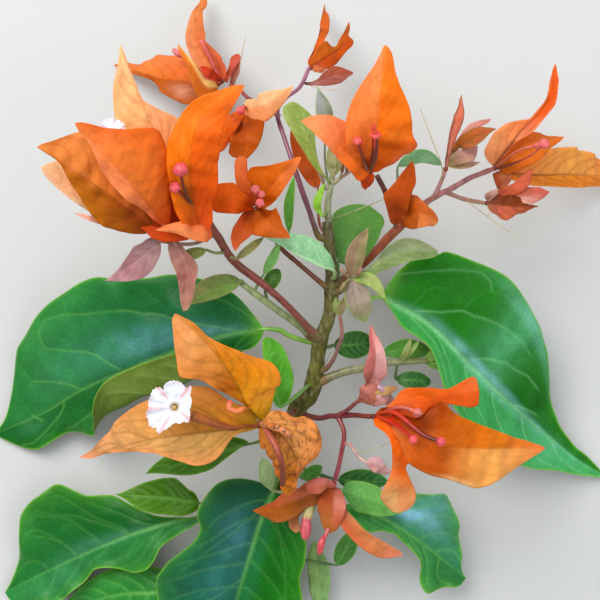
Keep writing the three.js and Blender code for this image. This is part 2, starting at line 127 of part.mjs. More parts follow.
  d_3: { node: 'bloom_top_right', spine: [[14.37, 33.27, 48.53], [19.51, 35.27, 52.03], [24.72, 37.09, 51.03]], left: [1.71, 0.6, 0.8], right: [1.93, 0.6, 0.8], across: 1, along: 4 },
  d_4: { node: 'bloom_top_right', spine: [[14.37, 33.27, 48.53], [13.39, 31.29, 46.53], [13.05, 29.07, 44.53]], left: [1.3, 0.6, 0.8], right: [1.3, 0.6, 0.8], across: 1, along: 3 },
  e_1: { node: 'bloom_small_right', spine: [[21.23, 22.12, 43.63], [19.97, 27.86, 51.53], [22.54, 34.42, 54.03]], left: [2.46, 0.3, 0.4], right: [3.05, 0.3, 0.3], fold: [8, 8], across: 1, along: 4 },
  e_2: { node: 'bloom_small_right', spine: [[21.23, 22.12, 43.63], [24.81, 24.32, 50.03], [29.21, 22.66, 49.03]], left: [2.82, 0.5, 0.7], right: [1.73, 0.5, 0.7], curl: [-14, -14], across: 1, along: 4 },
  f_1: { node: 'bloom_middle', spine: [[-10.22, 26.2, 42.03], [-5.72, 31.47, 47.03], [-0.95, 36.3, 46.53]], left: [6.65, 0.8, 1.4], right: [2.9, 0.3, 1.1], fold: [6, 6], across: 1, along: 4 },
  f_2: { node: 'bloom_middle', spine: [[-10.22, 26.2, 42.03], [-14.62, 27.79, 47.03], [-19.18, 30.82, 47.03]], left: [1.96, 0.6, 0.8], right: [1.75, 0.6, 0.8], across: 1, along: 4 },
  f_3: { node: 'bloom_middle', spine: [[-10.22, 26.2, 42.03], [-12.68, 31.04, 47.03], [-15.11, 36.13, 46.03]], left: [1.31, 0.6, 0.8], right: [1.09, 0.6, 0.8], across: 1, along: 4 },
  f_4: { node: 'bloom_middle', spine: [[-10.22, 26.2, 42.03], [-10.29, 20.84, 47.03], [-14.77, 14.93, 48.53]], left: [7.42, 0.5, 1.6], right: [7.02, 0.5, 0.5], fold: [4, 4], curl: [-8, -8], across: 1, along: 4 },
  g_1: { node: 'bloom_back_left', spine: [[-13.76, 50.48, 26.43], [-9.15, 49.61, 33.03], [-3, 53.94, 33.03]], left: [2.87, 0.3, 0.4], right: [3.15, 0.4, 0.8], curl: [-10, -10], across: 1, along: 4 },
  g_2: { node: 'bloom_back_left', spine: [[-13.76, 50.48, 26.43], [-13.57, 42.86, 36.03], [-14.53, 36.88, 35.03]], left: [4.36, 0.3, 0.3], right: [4, 1.4, 0.3], fold: [4, 4], curl: [-14, -14], across: 1, along: 5 },
  h_1: { node: 'bloom_far_right', spine: [[43.9, 35.8, 30.03], [46.55, 39.98, 33.53], [51.61, 45.77, 34.53], [56.12, 53.12, 31.03], [58.48, 60.68, 26.03]], left: [4.22, 0.3, 2], right: [1.83, 0.3, 0.3], fold: [4, 4], across: 1, along: 6 },
  h_2: { node: 'bloom_far_right', spine: [[43.9, 35.8, 30.03], [51.97, 40.55, 32.53], [60.2, 43.05, 29.03]], left: [1.38, 0.6, 0.8], right: [1.38, 0.6, 0.8], across: 1, along: 5 },
  h_3: { node: 'bloom_far_right', spine: [[43.9, 35.8, 30.03], [54.18, 34.99, 24.03], [66.36, 35.58, 13.03], [78.06, 35.73, 0.73]], left: [7.12, 1.2, 1.1], right: [3.7, 0.3, 0.9], fold: [4, 4], curl: [-8, -8], across: 1, along: 6 },
  i_1: { node: 'bud_right_upper', spine: [[31.84, 34.87, 37.03], [32.84, 40.8, 38.03], [35.8, 51.96, 34.03]], left: [0.79, 0.6, 0.8], right: [1.01, 0.6, 0.8], across: 1, along: 5 },
  i_2: { node: 'bud_right_upper', spine: [[31.84, 34.87, 37.03], [35.58, 41.09, 43.03], [41.3, 45.48, 43.03]], left: [1.77, 0.9, 0.8], right: [1.55, 0.9, 0.8], across: 1, along: 4 },
  i_3: { node: 'bud_right_upper', spine: [[31.84, 34.87, 37.03], [36.72, 39.12, 41.03], [42.7, 43.55, 41.03]], left: [1.34, 0.9, 0.8], right: [1.56, 0.9, 0.8], across: 1, along: 4 },
  i_4: { node: 'bud_right_upper', spine: [[31.84, 34.87, 37.03], [35.91, 34.94, 38.53], [39.57, 36.11, 38.03]], left: [0.9, 0.8, 0.8], right: [1.12, 0.8, 0.8], across: 1, along: 3 },
  j_1: { node: 'bud_right_lower', spine: [[42.2, 27.81, 29.03], [46.25, 31.07, 34.03], [52.09, 34.59, 33.03]], left: [1.6, 0.6, 0.8], right: [1.6, 0.6, 0.8], across: 1, along: 4 },
  j_2: { node: 'bud_right_lower', spine: [[42.2, 27.81, 29.03], [48.98, 29.04, 34.03], [56.36, 30.42, 31.03]], left: [1.37, 0.6, 0.8], right: [1.37, 0.6, 0.8], across: 1, along: 4 },
  j_3: { node: 'bud_right_lower', spine: [[42.2, 27.81, 29.03], [47.19, 26.75, 31.03], [54.57, 27.04, 27.03]], left: [2.38, 0.3, 0.3], right: [2.56, 0.3, 1.1], across: 1, along: 4 },
  k_1: { node: 'bloom_lower_left', spine: [[-10.19, -22.92, 36.53], [-14.15, -14.8, 43.03], [-19.83, -6.29, 47.03], [-28.6, 2.16, 46.03]], left: [6.64, 1.8, 0.8], right: [8.45, 0.9, 2], fold: [6, 6], curl: [-6, -10], across: 1, along: 6 },
  k_2: { node: 'bloom_lower_left', spine: [[-10.19, -22.92, 36.53], [-16.74, -23.7, 40.03], [-23.47, -23.71, 42.03], [-30.54, -24.82, 42.03], [-50.48, -29.63, 35.03]], left: [5.96, 1.1, 2], right: [10, 1, 1.6], fold: [4, 4], curl: [-8, -6], across: 1, along: 6 },
  k_3: { node: 'bloom_lower_left', spine: [[-10.19, -22.92, 36.53], [-3.16, -23.12, 43.53], [-0.73, -27.46, 44.03], [-3.87, -37.7, 38.53]], left: [4.21, 0.8, 1.1], right: [8.92, 0.6, 0.9], fold: [4, 4], curl: [-24, -20], across: 1, along: 5 },
  l_1: { node: 'bloom_lower_right', spine: [[15.56, -20.55, 39.03], [23, -23.75, 46.03], [30.18, -26.35, 48.03], [53.3, -27.25, 40.03]], left: [7.37, 1.6, 2], right: [7.81, 1.4, 1], fold: [4, 4], curl: [-6, -6], across: 1, along: 6 },
  l_2: { node: 'bloom_lower_right', spine: [[15.56, -20.55, 39.03], [24.09, -15.91, 46.03], [37.59, -11.34, 46.03]], left: [2.91, 0.3, 1.5], right: [4.57, 1.1, 0.3], fold: [6, 6], across: 1, along: 5 },
  l_3: { node: 'bloom_lower_right', spine: [[15.56, -20.55, 39.03], [20.54, -27.81, 41.03], [22.28, -42.84, 33.03]], left: [2.74, 0.3, 0.3], right: [4.28, 1.8, 0.3], fold: [4, 4], across: 1, along: 5 },
  m_1: { node: 'bloom_bottom', spine: [[6.64, -37.38, 29.83], [-1.65, -40.56, 30.03], [-11.64, -43.34, 27.03]], left: [3.92, 0.8, 0.3], right: [2.68, 0.3, 1.1], fold: [2, 2], across: 1, along: 5 },
  m_2: { node: 'bloom_bottom', spine: [[6.64, -37.38, 29.83], [6.35, -42.54, 32.03], [6.17, -48.29, 30.53]], left: [2.75, 0.6, 0.7], right: [2.98, 0.6, 0.7], fold: [6, 6], across: 1, along: 4 },
  m_3: { node: 'bloom_bottom', spine: [[6.64, -37.38, 29.83], [10.71, -45.59, 31.53], [23.12, -54.2, 25.03]], left: [1.62, 0.7, 0.8], right: [1.85, 0.7, 0.8], across: 1, along: 5 },
  m_4: { node: 'bloom_bottom', spine: [[6.64, -37.38, 29.83], [-0.95, -43.71, 29.03], [-2.58, -48.92, 27.03]], left: [1.16, 1.2, 0.8], right: [1.16, 1.2, 0.8], across: 1, along: 4 },
  n_1: { node: 'bud_pink', spine: [[12.19, -16.95, 39.63], [14.23, -9.32, 47.03], [14.72, -0.23, 46.03]], left: [0.69, 0.3, 0.3], right: [3.82, 0.3, 0.6], fold: [20, 20], across: 1, along: 5 },
  n_2: { node: 'bud_pink', spine: [[12.19, -16.95, 39.63], [14.45, -15.03, 43.03], [17.09, -12.39, 43.03]], left: [1.77, 0.6, 0.7], right: [1.55, 0.6, 0.7], across: 1, along: 3 },
  n_3: { node: 'bud_pink', spine: [[12.19, -16.95, 39.63], [16.34, -15.58, 44.63], [19.85, -14.5, 44.43]], left: [1.1, 0.6, 0.7], right: [1.1, 0.6, 0.7], across: 1, along: 4 },
  n2: { node: 'bud_lilac', spine: [[15.08, -32.72, 35.53], [17.08, -32.2, 36.03], [19.82, -30.7, 35.53]], left: [1.58, 0.5, 0.6], right: [1.58, 0.5, 0.6], stalk: [[10.19, -27.09, 33.43], [12.19, -29.89, 34.63], [15.08, -32.72, 35.53]], stalkR: 0.33, across: 1, along: 3 },
  o: { node: 'bract_back', spine: [[3.22, 31.45, 27.03], [0.21, 38.18, 25.03], [-3.08, 45.45, 23.03]], left: [2.34, 0.6, 0.8], right: [2.34, 0.6, 0.8], stalk: [[5.51, 20, 28.43], [3.71, 22.65, 26.43], [3.24, 26.84, 26.43], [3.22, 31.22, 27.03]], stalkR: 0.35, across: 1, along: 4 },
};

const KNOTS = {
  bloom_front_left: [-21.1, 21.72, 50.53],
  bloom_top_left: [-19.49, 57.37, 20.03],
  bloom_top_middle: [1.66, 60.48, 20.53],
  bloom_top_right: [14.37, 33.28, 48.53],
  bloom_small_right: [21.22, 22.12, 43.63],
  bloom_middle: [-10.23, 26.19, 42.03],
  bloom_back_left: [-13.76, 50.47, 26.43],
  bloom_far_right: [43.9, 35.8, 30.03],
  bud_right_upper: [31.84, 34.86, 37.03],
  bud_right_lower: [42.2, 27.82, 29.03],
  bloom_lower_left: [-10.18, -22.92, 36.53],
  bloom_lower_right: [15.55, -20.56, 39.03],
  bloom_bottom: [6.64, -37.37, 29.83],
  bud_pink: [12.18, -16.94, 39.63],
  rosette: [10.81, 10.53, 34.93],
};

// axes that carry a body: it is cut clear of them
const CARRIED_BY = {
 'leaf_brown_left': [
  'pa'
 ],
 'leaf_mint_small': [
  'sg'
 ],
 'leaf_dark_small': [
  'sg'
 ],
 'leaf_green_right': [
  'sr'
 ],
 'leaf_dark_lower': [
  'sr'
 ],
 'leaf_young_left': [
  'sg'
 ],
 'leaf_young_rose': [
  'pa'
 ],
 'leaf_young_mauve': [
  'pa'
 ],
 'leaf_young_olive': [
  'pa'
 ],
 'bud_lilac': [
  'plm'
 ],
 'leaf_olive_top': [
  'side'
 ],
 'leaf_lilac_top': [
  'side'
 ],
 'leaf_grey_right': [
  'pe'
 ],
 'shoot_left': [
  'pa'
 ]
};

// blades a body keeps clear of where they cross closely
const KEEP_CLEAR = {};

// colour and roughness of each body
const LOOK = {
  stem_main: ['#69642d', 0.75],
  shoot_top: ['#aaaf8c', 0.75],
  stalk_upper_left: ['#783223', 0.75],
  shoot_left: ['#96a56e', 0.75],
  stalk_top: ['#6e3c50', 0.75],
  stalk_right: ['#964628', 0.75],
  shoot_right: ['#a5a078', 0.75],
  stalk_short: ['#8c5a50', 0.75],
  stalk_middle: ['#783c1e', 0.75],
  stalk_lower_right: ['#6e1e28', 0.75],
  stalk_lower_left: ['#783228', 0.75],
  rosette: ['#af8c6e', 0.4],
  bloom_front_left: ['#e1783c', 0.55],
  bloom_top_left: ['#d75f0f', 0.55],
  bloom_top_right: ['#eb823c', 0.55],
  bloom_middle: ['#d75f0f', 0.55],
  bloom_back_left: ['#f0a06e', 0.55],
  bloom_far_right: ['#eb823c', 0.55],
  bloom_lower_left: ['#e67314', 0.55],
  bloom_lower_right: ['#eb873c', 0.55],
  bloom_bottom: ['#f0963c', 0.55],
  leaf_left: ['#237323', 0.4],
  leaf_right: ['#2d8c32', 0.4],
  leaf_low_left: ['#28783c', 0.4],
  leaf_low_left_under: ['#287d3c', 0.4],
  leaf_low_middle: ['#23644b', 0.4],
  leaf_small_pale: ['#96a078', 0.4],
  leaf_olive_left: ['#507314', 0.4],
  leaf_olive_under: ['#4b6e14', 0.4],
  leaf_low_right: ['#32786e', 0.4],
  leaf_light_right: ['#78aa46', 0.4],
  leaf_dark_right: ['#1e5028', 0.4],
  leaf_pale_low: ['#96aa6e', 0.4],
  leaf_small_low: ['#3c7832', 0.4],
  leaf_low_edge: ['#3c6e32', 0.4],
  leaf_bright_middle: ['#64a537', 0.4],
  leaf_mint: ['#a5d296', 0.4],
  leaf_round_back: ['#3c8232', 0.4],
  leaf_olive_top: ['#8c9646', 0.4],
  leaf_lilac_top: ['#968ca0', 0.4],
  leaf_narrow: ['#468228', 0.4],
  leaf_grey_right: ['#788c5a', 0.4],
  leaf_brown_left: ['#826e3c', 0.4],
  leaf_mint_small: ['#82b46e', 0.4],
  leaf_dark_small: ['#3c501e', 0.4],
  leaf_dark_middle: ['#1e461e', 0.4],
  leaf_green_right: ['#468232', 0.4],
  leaf_dark_lower: ['#1e5028', 0.4],
  leaf_young_left: ['#788c3c', 0.4],
  leaf_young_rose: ['#aa6e6e', 0.4],
  leaf_young_mauve: ['#aa7882', 0.4],
  leaf_young_olive: ['#786e3c', 0.4],
  bloom_top_middle: ['#f0965a', 0.55],
  bloom_small_right: ['#cd4b14', 0.55],
  bud_right_upper: ['#d75f0f', 0.55],
  bud_right_lower: ['#d75f0f', 0.55],
  bud_pink: ['#dc788c', 0.55],
  bud_lilac: ['#be8cb4', 0.55],
  bract_back: ['#c85014', 0.55],
};

// ---- curves and profiles ----
const V = (p) => new THREE.Vector3(p[0], p[1], p[2]);

// smooth curve through the given points
const smooth = (path) => new THREE.CatmullRomCurve3(path.map(V), false, 'catmullrom', 0.5);

// number, or evenly spaced values blended along v
function along(y, v) {
  if (!Array.isArray(y)) return y;
  const n = y.length, h = 1 / (n - 1), i = Math.min(n - 2, Math.floor(v / h)), t = v / h - i;
  const slope = (k) => {
    if (k === 0) return (y[1] - y[0]) / h;
    if (k === n - 1) return (y[n - 1] - y[n - 2]) / h;
    const a = (y[k] - y[k - 1]) / h, b = (y[k + 1] - y[k]) / h;
    return a * b <= 0 ? 0 : (2 * a * b) / (a + b);
  };
  const t2 = t * t, t3 = t2 * t;
  return (2 * t3 - 3 * t2 + 1) * y[i] + (t3 - 2 * t2 + t) * h * slope(i) + (3 * t2 - 2 * t3) * y[i + 1] + (t3 - t2) * h * slope(i + 1);
}

// half width of a blade side at v
function halfWidth([w, p, q], v) {
  const m = p / (p + q);
  return Math.max(EDGE_HALF, w * Math.pow(Math.max(v, 1e-6) / m, p) * Math.pow(Math.max(1 - v, 1e-6) / (1 - m), q));
}

// ---- closed bodies from rings ----
function solid(g) {
  return new wasm.Manifold(new wasm.Mesh({
    numProp: 3,
    vertProperties: new Float32Array(g.attributes.position.array),
    triVerts: new Uint32Array(g.index.array),
  }));
}

function closed(rings) {
  const m = rings[0].length, pos = [], tri = [];
  for (const r of rings) for (const p of r) pos.push(p.x, p.y, p.z);
  for (let i = 0; i + 1 < rings.length; i++) {
    for (let j = 0; j < m; j++) {
      const a = i * m + j, b = i * m + ((j + 1) % m), c = a + m, d = b + m;
      tri.push(a, b, d, a, d, c);
    }
  }
  for (const [ring, flip] of [[0, true], [rings.length - 1, false]]) {
    const mid = new THREE.Vector3();
    for (const p of rings[ring]) mid.addScaledVector(p, 1 / m);
    const c = pos.length / 3;
    pos.push(mid.x, mid.y, mid.z);
    for (let j = 0; j < m; j++) {
      const a = ring * m + j, b = ring * m + ((j + 1) % m);
      if (flip) tri.push(c, b, a); else tri.push(c, a, b);
    }
  }
  const g = new THREE.BufferGeometry();
  g.setAttribute('position', new THREE.Float32BufferAttribute(pos, 3));
  g.setIndex(tri);
  return solid(g);
}

// tapering round axis; grow widens it and lengthens both ends
function axis(path, r, sides, step, grow = 0) {
  const line = smooth(path), n = Math.max(1, Math.round(line.getLength() / step));
  const C = line.getSpacedPoints(n), T = C.map((_, i) => line.getTangentAt(i / n)), rings = [];
  C[0].addScaledVector(T[0], -grow);
  C[n].addScaledVector(T[n], grow);
  let X = Math.abs(T[0].z) < 0.9 ? new THREE.Vector3(0, 0, 1) : new THREE.Vector3(1, 0, 0);
  for (let i = 0; i <= n; i++) {
    X.addScaledVector(T[i], -X.dot(T[i])).normalize();
    const Y = new THREE.Vector3().crossVectors(T[i], X), rad = along(r, i / n) + grow, ring = [];
    for (let j = 0; j < sides; j++) {
      const a = (2 * Math.PI * j) / sides;
      ring.push(C[i].clone().addScaledVector(X, rad * Math.cos(a)).addScaledVector(Y, rad * Math.sin(a)));
    }
    rings.push(ring);
    X = X.clone();
  }
  return closed(rings);
}

// blade: spine, two halves that fold and curl, thin edges
function blade(o, thick, grow = 0) {
  const nv = o.along, nu = o.across;
  const line = smooth(o.spine), C = line.getSpacedPoints(nv), rings = [];
  const fold = o.fold || [0, 0], curl = o.curl || [0, 0];
  for (let i = 0; i <= nv; i++) {
    const v = i / nv, t = line.getTangentAt(v);
    const N = new THREE.Vector3(0, 0, 1);
    N.addScaledVector(t, -N.dot(t)).normalize();
    const S = new THREE.Vector3().crossVectors(t, N);
    const point = (side, a) => {
      const w = halfWidth(side < 0 ? o.left : o.right, v) + grow;
      const f = THREE.MathUtils.degToRad(along(fold[side < 0 ? 0 : 1], v));
      let c = THREE.MathUtils.degToRad(along(curl[side < 0 ? 0 : 1], v));
      if (Math.abs(c) < 1e-3) c = 1e-3;
      const s = (w * (Math.sin(f + c * a) - Math.sin(f))) / c, n = (w * (Math.cos(f) - Math.cos(f + c * a))) / c;
      const p = C[i].clone().addScaledVector(S, side * s).addScaledVector(N, n);
      const dir = N.clone().multiplyScalar(Math.cos(f + c * a)).addScaledVector(S, -side * Math.sin(f + c * a));
      return [p, dir];
    };
    const half = thick / 2 + grow, ring = [];
    const row = [];
    for (let j = -nu; j <= nu; j++) row.push(point(j < 0 ? -1 : 1, Math.abs(j) / nu));
    const lift = (j, sign) => row[j + nu][0].clone().addScaledVector(row[j + nu][1], sign * half * (1 - 0.5 * Math.abs(j) / nu));
    ring.push(row[0][0]);
    for (let j = -nu + 1; j < nu; j++) ring.push(lift(j, 1));
    ring.push(row[2 * nu][0]);
    for (let j = nu - 1; j > -nu; j--) ring.push(lift(j, -1));
    rings.push(ring);
  }
  return closed(rings);
}

// blade with its stalk, which runs a little way into the blade
function leaf(o, thick, foot) {
  const body = blade(o, thick);
  const spine = [0.025, 0.1].map((v) => smooth(o.spine).getPointAt(v).toArray());
  const path = foot || o.stalk;
  if (!path) return body;
  const r = foot ? CLAW_R : o.stalkR;
  const stalk = axis([...path.slice(0, foot ? path.length : -1), ...spine], [r, r, r * 0.75], FOOT_SIDES, foot ? FOOT_STEP : STALK_STEP);
  return body.add(stalk);
}

// small round seat
function knot(p, r) {
  const g = new THREE.IcosahedronGeometry(r, 0);
  g.deleteAttribute('normal');
  g.deleteAttribute('uv');
  return solid(mergeVertices(g.translate(p[0], p[1], p[2]), 1e-4));
}

// ---- bodies by node ----
const bodies = {};
const join = (node, body) => { bodies[node] = bodies[node] ? bodies[node].add(body) : body; };

for (const a of Object.values(AXES)) {
  const main = a.node === 'stem_main';
  join(a.node, axis(a.path, a.r, main ? STEM_SIDES : (a.tube ? TUBE_SIDES : STALK_SIDES), main ? 11 : (a.tube ? TUBE_STEP : STALK_STEP)));
}
for (const [node, p] of Object.entries(KNOTS)) join(node, knot(p, KNOT_R));
for (const o of Object.values(BLADES)) {
  const seat = KNOTS[o.node];
  const thick = o.node.startsWith('bloom') || o.node.startsWith('bud') ? BRACT_THICK : LEAF_THICK;
  join(o.node, leaf(o, thick, o.foot ? [seat] : null));
}

// ---- clearances: each body is cut clear of what carries it ----
const grown = (name) => axis(AXES[name].path, AXES[name].r, name === 'main' ? STEM_SIDES : STALK_SIDES, name === 'main' ? 11 : STALK_STEP, GAP);
const stemClear = grown('main');
for (const node of Object.keys(bodies)) {
  if (node !== 'stem_main') bodies[node] = bodies[node].subtract(stemClear);
}
for (const [node, carriers] of Object.entries(CARRIED_BY)) {
  for (const name of carriers) bodies[node] = bodies[node].subtract(grown(name));
}
for (const [node, p] of Object.entries(KNOTS)) {
  for (const other of Object.keys(bodies)) {
    if (other !== node && (other.startsWith('stalk') || other.startsWith('shoot'))) bodies[other] = bodies[other].subtract(knot(p, KNOT_R + GAP));
  }
}
for (const [node, others] of Object.entries(KEEP_CLEAR)) {
  for (const key of others) bodies[node] = bodies[node].subtract(blade(BLADES[key], LEAF_THICK, GAP));
}

// ---- meshes ----
const group = new THREE.Group();
group.name = 'cut_flowering_shoot';
for (const [node, body] of Object.entries(bodies)) {
  const mesh = body.getMesh(), g = new THREE.BufferGeometry();
  g.setAttribute('position', new THREE.BufferAttribute(new Float32Array(mesh.vertProperties), 3));
  g.setIndex(new THREE.BufferAttribute(new Uint32Array(mesh.triVerts), 1));
  g.computeVertexNormals();
  const [color, roughness] = LOOK[node];
  const m = new THREE.Mesh(g, new THREE.MeshStandardMaterial({ color, roughness, metalness: 0 }));
  m.name = node;
  group.add(m);
}
export default group;
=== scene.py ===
"""Cut flowering branch that lies on its back, seen straight from above."""
import math

import bpy
import numpy as np
from mathutils import Matrix, Vector


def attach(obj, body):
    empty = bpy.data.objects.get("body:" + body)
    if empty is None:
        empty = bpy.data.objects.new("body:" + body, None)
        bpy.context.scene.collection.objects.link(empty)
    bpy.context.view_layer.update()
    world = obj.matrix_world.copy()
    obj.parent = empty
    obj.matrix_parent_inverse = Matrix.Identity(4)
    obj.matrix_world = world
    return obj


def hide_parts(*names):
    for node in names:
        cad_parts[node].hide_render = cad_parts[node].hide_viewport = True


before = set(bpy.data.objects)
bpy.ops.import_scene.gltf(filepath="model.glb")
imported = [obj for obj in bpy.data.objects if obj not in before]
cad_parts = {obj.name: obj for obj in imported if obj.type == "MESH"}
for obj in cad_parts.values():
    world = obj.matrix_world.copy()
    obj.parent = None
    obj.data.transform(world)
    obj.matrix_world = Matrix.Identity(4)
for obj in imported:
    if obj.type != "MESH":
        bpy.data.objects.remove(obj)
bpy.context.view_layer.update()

# ---------------------------------------------------------------- colours, 0-255
PALETTE = {
    "leaf": (28, 112, 24), "leaf_deep": (16, 92, 20), "leaf_blue": (26, 104, 70), "leaf_lit": (52, 150, 48),
    "leaf_teal": (40, 125, 95), "under": (92, 118, 42), "under_pale": (120, 150, 92),
    "vein": (128, 196, 92), "vein_pale": (150, 222, 150), "vein_under": (150, 172, 96), "rim": (140, 200, 60),
    "olive": (78, 112, 14), "olive_deep": (54, 84, 14), "yellow_green": (140, 165, 60),
    "mint": (165, 210, 150), "lime": (104, 172, 56), "sage": (142, 160, 118),
    "rose": (186, 120, 122), "mauve": (172, 124, 140), "tan": (178, 142, 112), "brown": (104, 56, 28),
    "orange": (236, 108, 26), "orange_deep": (216, 84, 16), "orange_red": (228, 66, 22), "amber": (240, 132, 24),
    "salmon": (250, 128, 84), "apricot": (244, 156, 96), "peach": (250, 172, 118), "rust": (168, 70, 26),
    "rust_dark": (112, 44, 20), "vein_orange": (160, 62, 12), "pink": (232, 96, 96), "lilac": (200, 160, 190),
    "petal": (238, 240, 246), "petal_pink": (250, 178, 190), "throat": (170, 130, 30),
}

LEAF = dict(thick=0.30, wave=(0.45, 14.0), crumple=(0.22, 10.0), puff=0.24, groove=0.12, ridge=0.20, mid=0.55, vw=0.22,
            k1=0.60, k2=0.20, vc="vein", vk=0.48, back="under", bvc="vein_under", bvk=0.6, rimc="rim", rk=0.55, rimw=0.30,
            mott=0.05, mw=7.0, fine=0.34, mats=("leaf", "leaf_back"), gain=(0.62, 0.82, 0.38))
SMALL = dict(LEAF, thick=0.24, wave=(0.22, 7.0), crumple=(0.10, 4.5), puff=0.10, groove=0.06, ridge=0.10, mid=0.28, vw=0.12,
             nlat=5, rimw=0.18, rk=0.5, vk=0.45, mw=4.0, fine=0.32, gain=(0.92, 0.98, 0.85))
BRACT = dict(thick=0.14, wave=(0.42, 9.0), crumple=(0.24, 6.5), crinkle=(0.045, 1.7), puff=0.10, groove=0.05, ridge=0.07,
             mid=0.26, vw=0.11, k1=0.62, k2=0.45, vc="vein_orange", vk=0.42, bvc="vein_orange", bvk=0.42, nlat=6, lean=0.25,
             reach=0.9, rimw=0.25, mott=0.035, mw=5.0, fine=0.40, mats=("bract", "bract"), gain=(1.14, 1.26, 0.84))
TINY = dict(BRACT, gain=(1.05, 1.08, 0.85), wave=(0.2, 5.0), crumple=(0.10, 3.0), crinkle=(0.03, 1.2), mid=0.2, vw=0.09, fine=0.30, nlat=4)


def lk(base, c, d=None, **k):
    """look of one blade: colour stops of its left and right halves, and what differs from its kind"""
    c = c if isinstance(c, list) else [c]
    out = dict(base, c=c, **k)
    if d is not None:
        out["d"] = d if isinstance(d, list) else [d]
    return out


